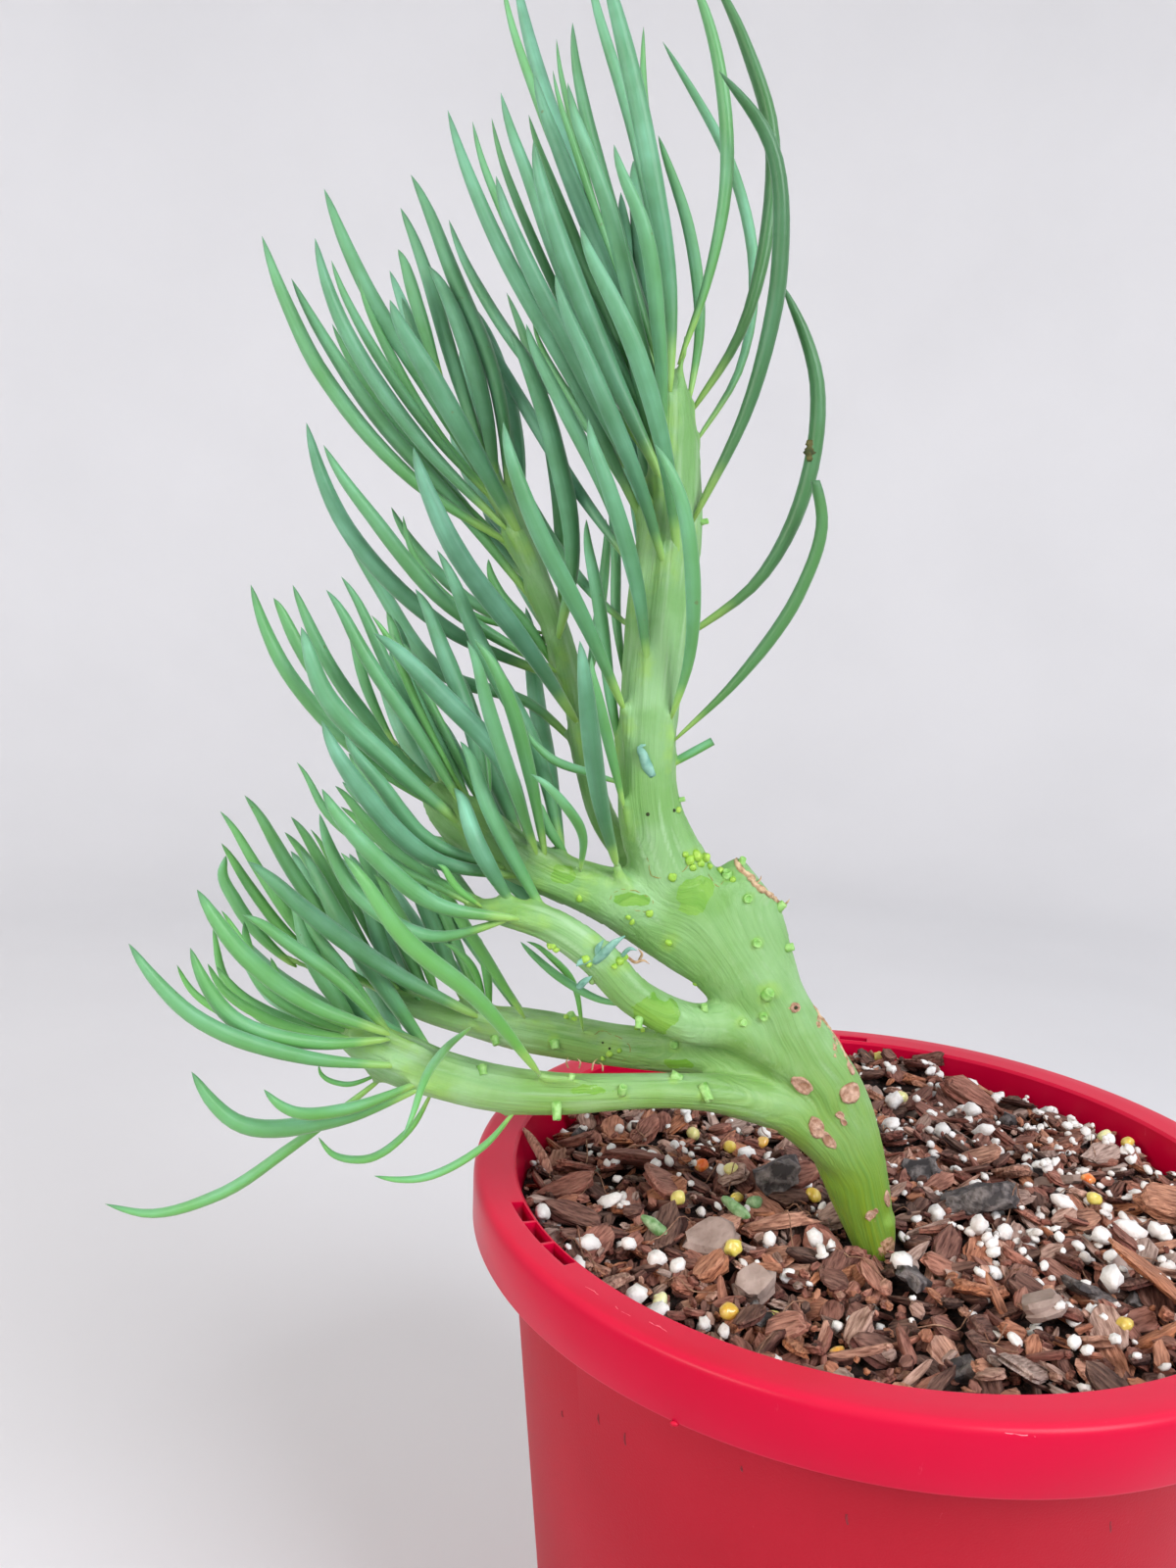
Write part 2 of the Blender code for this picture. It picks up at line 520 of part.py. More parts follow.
def make_pot(collection):
    """The pot: tapered body, hollow collar, slots in its top ring and drain holes."""
    mouth = POT_HEIGHT - MOUTH_DROP
    skirt = POT_HEIGHT - COLLAR_HEIGHT
    under = mouth - WALL
    profile = (
        (0.0, FLOOR), (BODY_FOOT_RADIUS - WALL - FOOT_ROUND, FLOOR),
        (inner_radius(FLOOR + FOOT_ROUND), FLOOR + FOOT_ROUND),
        (inner_radius(mouth - 1.0), mouth - 1.0),
        (MOUTH_RADIUS + MOUTH_LIP, mouth),
        *((radius, POT_HEIGHT - drop) for radius, drop in CROWN),
        (RIM_RADIUS - COLLAR_TAPER, skirt), (RIM_RADIUS - COLLAR_TAPER - WALL, skirt),
        (RIM_RADIUS - WALL - MOUTH_LIP, under),
        *((BODY_TOP_RADIUS + out, under - drop) for out, drop in COLLAR_FILLET),
        (BODY_FOOT_RADIUS, FOOT_ROUND),
        *((BODY_FOOT_RADIUS - FOOT_ROUND * in_, FOOT_ROUND * up) for in_, up in FOOT_CURVE),
        (0.0, 0.0),
    )
    pot = turned("pot", profile, collection, POT_SIDES)
    cutters = []
    for number in range(SLOT_COUNT):
        middle = SLOT_MIDDLE + number * math.tau / SLOT_COUNT
        edges = [middle - SLOT_HALF_ANGLE, middle + SLOT_HALF_ANGLE]
        cells = SLOT_RIBS + 1
        rib = SLOT_RIB / SLOT_OUTER
        width = (edges[1] - edges[0] - SLOT_RIBS * rib) / cells
        for cell in range(cells):
            first = edges[0] + cell * (width + rib)
            cutters.append(arc_block("slot", collection, (SLOT_INNER, SLOT_OUTER),
                                     (POT_HEIGHT - SLOT_DEPTH, POT_HEIGHT + 2.0),
                                     (first, first + width), steps=3))
    for number in range(DRAIN_COUNT):
        angle = number * math.tau / DRAIN_COUNT
        place = (DRAIN_RING * math.cos(angle), DRAIN_RING * math.sin(angle), FLOOR / 2)
        cutters.append(cylinder("drain", collection, DRAIN_RADIUS, place, FLOOR * 3, sides=12))
    boolean(pot, "DIFFERENCE", cutters)
    pot.data.materials.append(material("pot", "pot"))
    return pot


def soil_height(x):
    """Height of the mix's even surface, which falls a little to the left."""
    return SOIL_LEVEL + SOIL_SLOPE * min(x, SOIL_LEVEL_REACH)


def make_chip(draw, collection, place, size):
    """A flat bark chip: a block with its corners drawn in and out, tilted on the mix."""
    shape = bmesh.new()
    bmesh.ops.create_cube(shape, size=1.0)
    for corner in shape.verts:
        corner.co.x *= size[0] * draw.uniform(0.7, 1.0)
        corner.co.y *= size[1] * draw.uniform(0.6, 1.0)
        corner.co.z *= size[2] * draw.uniform(0.7, 1.0)
    turn = (Matrix.Rotation(draw.uniform(0, math.tau), 4, "Z")
            @ Matrix.Rotation(math.radians(draw.uniform(-CHIP_PITCH, CHIP_PITCH)), 4, "X")
            @ Matrix.Rotation(math.radians(draw.uniform(-CHIP_ROLL, CHIP_ROLL)), 4, "Y"))
    shape.transform(Matrix.Scale(MM, 4) @ Matrix.Translation(Vector(place)) @ turn)
    mesh = bpy.data.meshes.new("chip")
    shape.to_mesh(mesh)
    shape.free()
    return link("chip", mesh, collection)


def make_grain(draw, collection, place, radius):
    """A grain of perlite: a low ball with uneven corners."""
    shape = bmesh.new()
    bmesh.ops.create_icosphere(shape, subdivisions=1, radius=radius)
    for corner in shape.verts:
        corner.co *= draw.uniform(0.85, 1.15)
    shape.transform(Matrix.Scale(MM, 4) @ Matrix.Translation(Vector(place)))
    mesh = bpy.data.meshes.new("grain")
    shape.to_mesh(mesh)
    shape.free()
    return link("grain", mesh, collection)


def spiral_places(count, limit, draw, turn):
    """Places spread evenly over a disc, each moved a little by chance."""
    for number in range(count):
        radius = limit * math.sqrt((number + 0.5) / count)
        angle = turn + number * GOLDEN_ANGLE
        yield (radius * math.cos(angle) + draw.uniform(-RELIEF_JITTER, RELIEF_JITTER),
               radius * math.sin(angle) + draw.uniform(-RELIEF_JITTER, RELIEF_JITTER))


def make_soil(collection):
    """The potting mix with its relief of bark chips and perlite, and the stem's hole."""
    draw = random.Random(41)
    bottom = FLOOR + GAP
    side = SOIL_LEVEL - SOIL_EDGE_DROP
    profile = (
        (0.0, SOIL_LEVEL), (inner_radius(SOIL_LEVEL) - SOIL_SIDE_GAP - SOIL_EDGE, SOIL_LEVEL),
        (inner_radius(side) - SOIL_SIDE_GAP, side),
        (inner_radius(FLOOR + FOOT_ROUND) - SOIL_SIDE_GAP, FLOOR + FOOT_ROUND),
        (BODY_FOOT_RADIUS - WALL - FOOT_ROUND - SOIL_SIDE_GAP, bottom), (0.0, bottom),
    )
    soil = turned("potting_mix", profile, collection, POT_SIDES)
    for corner in soil.data.vertices:
        if corner.co.z > POT_HEIGHT / 2 * MM:
            corner.co.z += (soil_height(corner.co.x / MM) - SOIL_LEVEL) * MM
    limit = inner_radius(SOIL_LEVEL) - RELIEF_MARGIN
    relief = []
    for x, y in spiral_places(CHIP_COUNT, limit - RELIEF_JITTER, draw, 0.4):
        if math.hypot(x - STEM_FOOT[0], y - STEM_FOOT[1]) < STEM_CLEAR:
            continue
        size = (draw.uniform(*CHIP_LENGTHS), draw.uniform(*CHIP_WIDTHS),
                draw.uniform(*CHIP_THICKNESS))
        height = soil_height(x) + draw.uniform(*CHIP_RAISE)
        relief.append(make_chip(draw, collection, (x, y, height), size))
    for x, y in spiral_places(GRAIN_COUNT, limit + RELIEF_JITTER, draw, 1.9):
        if math.hypot(x - STEM_FOOT[0], y - STEM_FOOT[1]) < GRAIN_CLEAR:
            continue
        radius = draw.uniform(*GRAIN_RADII)
        place = (x, y, soil_height(x) + GRAIN_RAISE)
        relief.append(make_grain(draw, collection, place, radius))
    boolean(soil, "UNION", relief)
    hole_bottom = STEM_FOOT_BOTTOM - GAP
    hole = cylinder("hole", collection, HOLE_RADIUS, (*STEM_FOOT, (HOLE_TOP + hole_bottom) / 2),
                    HOLE_TOP - hole_bottom, sides=HOLE_SIDES)
    boolean(soil, "DIFFERENCE", [hole])
    keep_largest_body(soil)
    soil.data.materials.append(material("potting_mix", "potting_mix"))
    return soil


def keep_largest_body(thing):
    """Drop the loose scraps that a joining leaves beside the main body."""
    shape = bmesh.new()
    shape.from_mesh(thing.data)
    left = set(shape.verts)
    bodies = []
    while left:
        seed = left.pop()
        body, edge = {seed}, [seed]
        while edge:
            corner = edge.pop()
            for side in corner.link_edges:
                other = side.other_vert(corner)
                if other not in body:
                    body.add(other)
                    edge.append(other)
        left -= body
        bodies.append(body)
    bodies.sort(key=len)
    for body in bodies[:-1]:
        bmesh.ops.delete(shape, geom=list(body), context="VERTS")
    shape.to_mesh(thing.data)
    shape.free()


def on_plane(x, y, depth):
    """The point in millimetres that a front-view pixel shows at a depth."""
    u = (x - VIEW_MIDDLE[0]) / FOCAL
    v = (VIEW_MIDDLE[1] - y) / FOCAL
    right = math.cos(EYE_ROLL) * u - math.sin(EYE_ROLL) * v
    up = math.sin(EYE_ROLL) * u + math.cos(EYE_ROLL) * v
    ray = np.array([right, math.cos(EYE_DOWN) + up * math.sin(EYE_DOWN),
                    -math.sin(EYE_DOWN) + up * math.cos(EYE_DOWN)])
    return EYE + ray * (depth - EYE[1]) / ray[1]


def pixel_size(point):
    """Millimetres that one front-view pixel covers at a point."""
    reach = point - EYE
    return (reach[1] * math.cos(EYE_DOWN) - reach[2] * math.sin(EYE_DOWN)) / FOCAL


def smooth_route(points, positions):
    """Points at the given positions (0 to 1) of a smooth curve through the points."""
    points = np.asarray(points, float)
    if len(points) == 2:
        return [points[0] + (points[1] - points[0]) * s for s in positions]
    lengths = np.linalg.norm(np.diff(points, axis=0), axis=1)
    marks = np.concatenate([[0.0], np.cumsum(lengths)]) / lengths.sum()
    slopes = np.gradient(points, marks, axis=0)
    found = []
    for s in positions:
        i = min(int(np.searchsorted(marks, s, side="right")) - 1, len(points) - 2)
        span = marks[i + 1] - marks[i]
        t = (s - marks[i]) / span
        found.append((2 * t ** 3 - 3 * t ** 2 + 1) * points[i]
                     + (t ** 3 - 2 * t ** 2 + t) * span * slopes[i]
                     + (3 * t ** 2 - 2 * t ** 3) * points[i + 1]
                     + (t ** 3 - t ** 2) * span * slopes[i + 1])
    return found


class LimbShape:
    """A limb's smooth run of cross-sections, as places and half sizes in millimetres."""

    def __init__(self, name):
        sections = LIMBS[name]["sections"]
        self.name = name
        self.parting = LIMBS[name]["parting"]
        count = (len(sections) - 1) * STEM_STEPS + 1
        marks = np.linspace(0, len(sections) - 1, count)
        table = np.array(sections, float)
        slopes = np.gradient(table, axis=0)
        rows = []
        for mark in marks:
            i = min(int(mark), len(sections) - 2)
            t = mark - i
            rows.append((2 * t ** 3 - 3 * t ** 2 + 1) * table[i]
                        + (t ** 3 - 2 * t ** 2 + t) * slopes[i]
                        + (3 * t ** 2 - 2 * t ** 3) * table[i + 1]
                        + (t ** 3 - t ** 2) * slopes[i + 1])
        self.rows = np.array(rows)
        self.middles = np.array([on_plane(r[0], r[1], r[2]) for r in rows])
        self.half_widths = np.array([r[3] * pixel_size(m) for r, m in zip(rows, self.middles)])
        self.half_depths = np.array([r[4] for r in rows])
        self.tangents = np.gradient(self.middles, axis=0)
        self.tangents /= np.linalg.norm(self.tangents, axis=1)[:, None]
        self.split = None if self.parting is None else self.parting * STEM_STEPS

    def axes(self, i):
        """Directions of the section's width and depth."""
        wide = np.cross(self.tangents[i], (0.0, 1.0, 0.0))
        wide /= np.linalg.norm(wide)
        return wide, np.cross(wide, self.tangents[i])

    def part(self, first, last, shift=0.0):
        """Rings of points of the sections from first to last, the first one moved on."""
        rings = []
        for i in range(first, last + 1):
            wide, deep = self.axes(i)
            middle = self.middles[i] + (self.tangents[i] * shift if i == first else 0.0)
            turn = np.linspace(0, math.tau, STEM_SIDES, endpoint=False)
            rings.append([middle + wide * self.half_widths[i] * math.cos(a)
                          + deep * self.half_depths[i] * math.sin(a) for a in turn])
        return rings

    def trunk_range(self):
        """Numbers of the first and last section that belong to the trunk."""
        return 0, (len(self.rows) - 1 if self.split is None else self.split)

    def shoot_range(self):
        """Numbers of the first and last section that belong to the leafy shoot."""
        return self.split, len(self.rows) - 1

    def beads(self, first, last):
        """Balls that fill the limb between two sections: place, radius and a zero."""
        rows = []
        for mark in np.linspace(first, last, (last - first) * BEADS_A_SECTION + 1):
            i = min(int(mark), last - 1)
            t = mark - i
            wide, _ = self.axes(i)
            middle = self.middles[i] * (1 - t) + self.middles[i + 1] * t
            radius = self.half_depths[i] * (1 - t) + self.half_depths[i + 1] * t
            width = self.half_widths[i] * (1 - t) + self.half_widths[i + 1] * t
            reach = max(width - radius, 0.0)
            for share in np.linspace(-1, 1, BEADS_ACROSS):
                rows.append([*(middle + wide * reach * share), radius, 0.0])
        return np.array(rows)

    def seat(self, x, y, span, inset=6.0):
        """Nearest place inside the limb's outline: pixel, depth, half depth and distance."""
        first, last = span
        best = None
        for i in range(first, last):
            a, b = self.rows[i], self.rows[i + 1]
            along = b[:2] - a[:2]
            t = float(np.clip(np.dot((x, y) - a[:2], along) / np.dot(along, along), 0, 1))
            row = a + (b - a) * t
            away = np.array([x, y]) - row[:2]
            distance = np.linalg.norm(away)
            reach = max(row[3] - inset, 0.0)
            over = max(distance - reach, 0.0)
            if best is None or over < best[0] - 1e-6:
                pull = reach / distance if distance > reach else 1.0
                best = (over, row[:2] + away * pull, row[2], row[4])
        return best


def rings_object(name, collection, rings):
    """An object skinned over rings of points in millimetres."""
    shape = bmesh.new()
    made = [[shape.verts.new(Vector(p) * MM) for p in ring] for ring in rings]
    loft_faces(shape, made)
    mesh = bpy.data.meshes.new(name)
    shape.to_mesh(mesh)
    shape.free()
    return link(name, mesh, collection)


class LeafShape:
    """A leaf's place: points of its middle line, and its radius.

    Where it was laid out in the front view, the picture holds those pixels, and swinging it
    to another depth keeps them.
    """

    def __init__(self, node, points, radius, picture=None):
        self.node = node
        self.points = np.asarray(points, float)
        self.radius = radius
        self.picture = picture

    def shifted(self, shift):
        """The same leaf swung towards the back by a distance at its tip."""
        last = len(self.points) - 1
        moved = self.points.copy()
        for number in range(1, last + 1):
            depth = moved[number, 1] + shift * math.sin(number / last * math.pi / 2)
            if self.picture is None:
                moved[number, 1] = depth
            else:
                moved[number] = on_plane(*self.picture[number - 1], depth)
        return LeafShape(self.node, moved, self.radius, self.picture)

    def profile(self):
        """Positions and shares of the radius along the leaf."""
        choices = {2: CUT_PROFILE, 3: SHORT_PROFILE, 4: LEAF_PROFILE}
        return choices.get(len(self.points), LONG_PROFILE)

    def beads(self):
        """Balls along the leaf, as rows of place, radius and position from the root."""
        length = np.linalg.norm(np.diff(self.points, axis=0), axis=1).sum()
        marks = np.linspace(0, 1, max(6, int(length / BEAD_STEP)))
        steps, shares = zip(*self.profile())
        places = smooth_route(self.points, marks)
        return np.array([[*p, self.radius * np.interp(m, steps, shares), m]
                         for p, m in zip(places, marks)])

    def build(self, collection):
        """The leaf's tapered tube as a mesh object."""
        curve = bpy.data.curves.new("leaf", "CURVE")
        curve.dimensions = "3D"
        curve.bevel_depth = self.radius * MM
        curve.bevel_resolution = 0
        curve.use_fill_caps = True
        profile = self.profile()
        line = curve.splines.new("POLY")
        line.points.add(len(profile) - 1)
        places = smooth_route(self.points, [step for step, _ in profile])
        for point, place, (_, share) in zip(line.points, places, profile):
            point.co = (*(place * MM), 1.0)
            point.radius = share
        rough = bpy.data.objects.new("leaf_curve", curve)
        collection.objects.link(rough)
        graph = bpy.context.evaluated_depsgraph_get()
        mesh = bpy.data.meshes.new_from_object(rough.evaluated_get(graph))
        bpy.data.objects.remove(rough, do_unlink=True)
        shape = bmesh.new()
        shape.from_mesh(mesh)
        bmesh.ops.remove_doubles(shape, verts=shape.verts, dist=0.00001)
        bmesh.ops.recalc_face_normals(shape, faces=shape.faces)
        shape.to_mesh(mesh)
        shape.free()
        return link("leaf", mesh, collection)


def limbs_of(node, limbs):
    """The limbs and their section ranges that belong to a node."""
    if node == "trunk":
        return [(limb, limb.trunk_range()) for limb in limbs.values()]
    return [(limbs[node], limbs[node].shoot_range())]


def seat_leaf(node, limbs, leaf):
    """A leaf's middle line in millimetres, from inside its limb to its tip."""
    seats = [limb.seat(*leaf.route[0], span) for limb, span in limbs_of(node, limbs)]
    _, root, depth, half_depth = min(seats, key=lambda seat: seat[0])
    start = depth + float(np.clip(leaf.layer, -1.0, 1.0)) * half_depth * ROOT_OFFSET
    points = [on_plane(root[0], root[1], start)]
    route = leaf.route[1:]
    for number, (x, y) in enumerate(route):
        share = math.sin((number + 1) / len(route) * math.pi / 2)
        points.append(on_plane(x, y, start + leaf.layer * LAYER * share))
    radius = leaf.width / 2 * pixel_size(points[len(points) // 2])
    return LeafShape(node, points, radius, route)


def far_leaf(node, limb, rule, draw, number):
    """A leaf of the far side, rooted on the limb's back and fanned by its number."""
    first, last = limb.shoot_range()
    share = rule["start"] + (1 - rule["start"]) * (number + 0.5) / rule["count"]
    i = min(int(first + share * (last - first)), last - 1)
    wide, _ = limb.axes(i)
    root = (limb.middles[i] + wide * limb.half_widths[i] * draw.uniform(-FAR_SIDE, FAR_SIDE)
            + np.array([0.0, limb.half_depths[i] * ROOT_OFFSET, 0.0]))
    heading = math.radians(draw.uniform(*rule["heading"]))
    length = draw.uniform(*rule["length"])
    back = math.radians(draw.uniform(*FAR_BACK))
    ahead = np.array([math.cos(heading) * math.cos(back), math.sin(back),
                      math.sin(heading) * math.cos(back)])
    points = [root]
    for along, rise in FAR_STEPS:
        points.append(root + ahead * length * along + np.array([0.0, 0.0, length * rise]))
    points[1] += np.array([0.0, FAR_BOW, 0.0])
    return LeafShape(node, points, draw.uniform(*FAR_RADII))


def room(beads, own_node, taken):
    """Room left beside other nodes and beside the leaf's own node, in millimetres."""
    apart, own = SEARCH_REACH, SEARCH_REACH
    low = beads[:, :3].min(axis=0) - SEARCH_REACH
    high = beads[:, :3].max(axis=0) + SEARCH_REACH
    upper = beads[beads[:, 4] > ROOT_SHARE]
    for node, others in taken:
        near = others[np.all((others[:, :3] > low) & (others[:, :3] < high), axis=1)]
        if node == own_node:
            near = near[near[:, 4] > ROOT_SHARE]
        if len(near) == 0:
            continue
        mine = upper if node == own_node else beads
        gaps = np.linalg.norm(mine[:, None, :3] - near[None, :, :3], axis=2)
        least = float((gaps - mine[:, None, 3] - near[None, :, 3]).min())
        if node == own_node:
            own = min(own, least)
        else:
            apart = min(apart, least)
    return apart, own


def place_leaf(leaf, taken, must_fit):
    """The leaf swung the least that clears the others, or None where nothing does."""
    best, best_own = None, -math.inf
    for number in range(int(2 * SHIFT_LIMIT / SHIFT_STEP) + 1):
        shift = SHIFT_STEP * ((number + 1) // 2) * (1 if number % 2 else -1)
        tried = leaf.shifted(shift)
        beads = tried.beads()
        apart, own = room(beads, leaf.node, taken)
        if apart < CLEARANCE:
            continue
        if own >= TOUCH:
            return tried, beads
        if must_fit and own - abs(shift) * SHIFT_COST > best_own:
            best, best_own = (tried, beads), own - abs(shift) * SHIFT_COST
    return best


def place_leaves(limbs):
    """Every leaf, each swung in depth until it clears the others, or left out."""
    taken = []
    for name, limb in limbs.items():
        first, last = limb.trunk_range()
        taken.append(("trunk", limb.beads(first, last - 1)))
        if limb.split is not None:
            first, last = limb.shoot_range()
            taken.append((name, limb.beads(first + 1, last)))
    placed = []

    def take(leaf, must_fit):
        found = place_leaf(leaf, taken, must_fit)
        if found is not None:
            placed.append(found[0])
            taken.append((leaf.node, found[1]))

    for node, leaves in LEAVES.items():
        for leaf in leaves:
            take(seat_leaf(node, limbs, leaf), True)
    draw = random.Random(7)
    for node, rule in FAR_LEAVES.items():
        for number in range(rule["count"]):
            take(far_leaf(node, limbs[node], rule, draw, number), False)
    return placed


def make_peg(collection, limbs, x, y, radius):
    """A short stub that stands out of the bare stem's front at a front-view pixel."""
    seats = [limb.seat(x, y, span, inset=2.0) for limb, span in limbs_of("trunk", limbs)]
    _, root, depth, half_depth = min(seats, key=lambda seat: seat[0])
    face = on_plane(root[0], root[1], depth - half_depth * PEG_FACE)
    outward = Vector(PEG_HEADING).normalized()
    middle = Vector(face) + outward * (PEG_LENGTH - PEG_SUNK) / 2
    turn = outward.to_track_quat("Z", "Y").to_matrix()
    return cylinder("peg", collection, radius, middle, PEG_LENGTH + PEG_SUNK, PEG_SIDES, turn)


def make_foot(collection):
    """The round foot of the stem that stands in the mix."""
    rings = []
    for height, radius in ((STEM_FOOT_BOTTOM, STEM_FOOT_RADIUS * STEM_FOOT_TIP),
                           (STEM_FOOT_WAIST, STEM_FOOT_RADIUS),
                           (STEM_FOOT_TOP, STEM_FOOT_RADIUS)):
        rings.append([(STEM_FOOT[0] + radius * math.cos(a), STEM_FOOT[1] + radius * math.sin(a),
                       height) for a in np.linspace(0, math.tau, STEM_SIDES, endpoint=False)])
    return rings_object("foot", collection, rings)


def make_trunk(collection, limbs, leaves):
    """The bare fanned trunk with its foot, limb stumps, cut stub, scars and stray leaves."""
    trunk = make_foot(collection)
    trunk.name = "trunk"
    others = [rings_object("limb", collection, limb.part(*limb.trunk_range()))
              for limb in limbs.values()]
    others += [make_peg(collection, limbs, *peg) for peg in PEGS]
    others += [leaf.build(collection) for leaf in leaves if leaf.node == "trunk"]
    boolean(trunk, "UNION", others)
    keep_largest_body(trunk)
    trunk.data.materials.append(material("trunk", "trunk"))
    return trunk


def make_shoot(collection, name, limb, leaves):
    """One leafy shoot: its stem and every leaf on it, joined."""
    first, last = limb.shoot_range()
    shoot = rings_object(name, collection, limb.part(first, last, GAP))
    boolean(shoot, "UNION", [leaf.build(collection) for leaf in leaves if leaf.node == name])
    keep_largest_body(shoot)
    shoot.data.materials.append(material(name, "leaf"))
    return shoot


def shade(thing):
    """Shade the round faces smooth and keep the sharp edges."""
    thing.data.shade_smooth()
    thing.data.set_sharp_from_angle(angle=math.radians(40))


def main():
    """Build every solid of the potted plant."""
    clear_scene()
    parts = bpy.data.collections.new("potted_chalk_sticks")
    bpy.context.scene.collection.children.link(parts)
    shade(make_pot(parts))
    shade(make_soil(parts))
    limbs = {name: LimbShape(name) for name in LIMBS}
    leaves = place_leaves(limbs)
    shade(make_trunk(parts, limbs, leaves))
    for name, limb in limbs.items():
        if limb.split is not None:
            shade(make_shoot(parts, name, limb, leaves))


main()
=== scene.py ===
"""Looks of a crested blue chalk sticks plant in a red nursery pot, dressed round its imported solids.

The pot, the potting mix, the fanned stem and the leaves are modelled in millimetres and stored in
metres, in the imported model's own frame. The plant is laid out in a front view whose eye point,
tilt and focal length are named below, so that a place in that view is a ray into the frame.
"""
import logging
import math
import random
from dataclasses import dataclass
from enum import Enum
from functools import partial
from typing import Callable, ClassVar, NamedTuple, Sequence

import bpy
import numpy as np
from mathutils import Matrix, Vector, noise


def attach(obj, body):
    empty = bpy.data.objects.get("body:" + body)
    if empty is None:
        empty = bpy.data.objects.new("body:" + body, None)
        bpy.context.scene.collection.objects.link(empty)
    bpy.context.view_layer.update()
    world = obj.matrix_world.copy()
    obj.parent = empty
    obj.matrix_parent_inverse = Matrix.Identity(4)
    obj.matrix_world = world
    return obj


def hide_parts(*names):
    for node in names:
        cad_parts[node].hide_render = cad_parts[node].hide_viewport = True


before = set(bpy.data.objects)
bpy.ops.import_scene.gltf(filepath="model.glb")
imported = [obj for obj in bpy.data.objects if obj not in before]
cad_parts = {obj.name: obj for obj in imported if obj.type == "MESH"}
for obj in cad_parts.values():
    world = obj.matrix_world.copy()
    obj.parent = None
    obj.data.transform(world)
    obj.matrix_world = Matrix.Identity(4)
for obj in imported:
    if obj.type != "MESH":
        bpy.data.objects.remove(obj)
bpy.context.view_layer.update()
LOG = logging.getLogger("chalk_sticks")

# Short names of types: an object, a node tree, its sockets, and rows of numbers.
Piece = bpy.types.Object
Tree = bpy.types.NodeTree
Socket = bpy.types.NodeSocket
Sockets = bpy.types.bpy_prop_collection
Rows = np.ndarray

MM = 0.001

# The front view: eye point in millimetres, turned down and rolled, and its pixels.
EYE = np.array([-73.0, -273.5, 316.0])
EYE_DOWN = math.radians(7.78)
EYE_ROLL = math.radians(2.26)
FOCAL = 1200.0
VIEW_MIDDLE = (600.0, 800.0)
VIEW_HEIGHT = 1600.0
SENSOR = 36.0


class Section(NamedTuple):
    """A cross-section of a limb: its middle in the front view, depth and half sizes."""

    x: float
    y: float
    depth: float
    half_width: float
    half_depth: float


class Leaf(NamedTuple):
    """A leaf: layer of its tip (behind is positive), width and route from root to tip."""

    layer: float
    width: float
    route: tuple


class LimbPlan(NamedTuple):
    """Number of the section where a limb leaves the trunk, and its sections."""

    parting: int | None
    sections: tuple


def limb_plan(parting: int | None, *rows: tuple) -> LimbPlan:
    """A limb's plan from its sections' rows."""
    return LimbPlan(parting, tuple(Section(*row) for row in rows))


def pairs(*numbers: float) -> tuple:
    """A route's points from their x and y by turns."""
    return tuple(zip(numbers[::2], numbers[1::2]))


def leaf_plan(*rows: tuple) -> tuple:
    """Leaves from rows of layer and width, and then the route's x and y by turns."""
    return tuple(Leaf(*row[:2], pairs(*row[2:])) for row in rows)


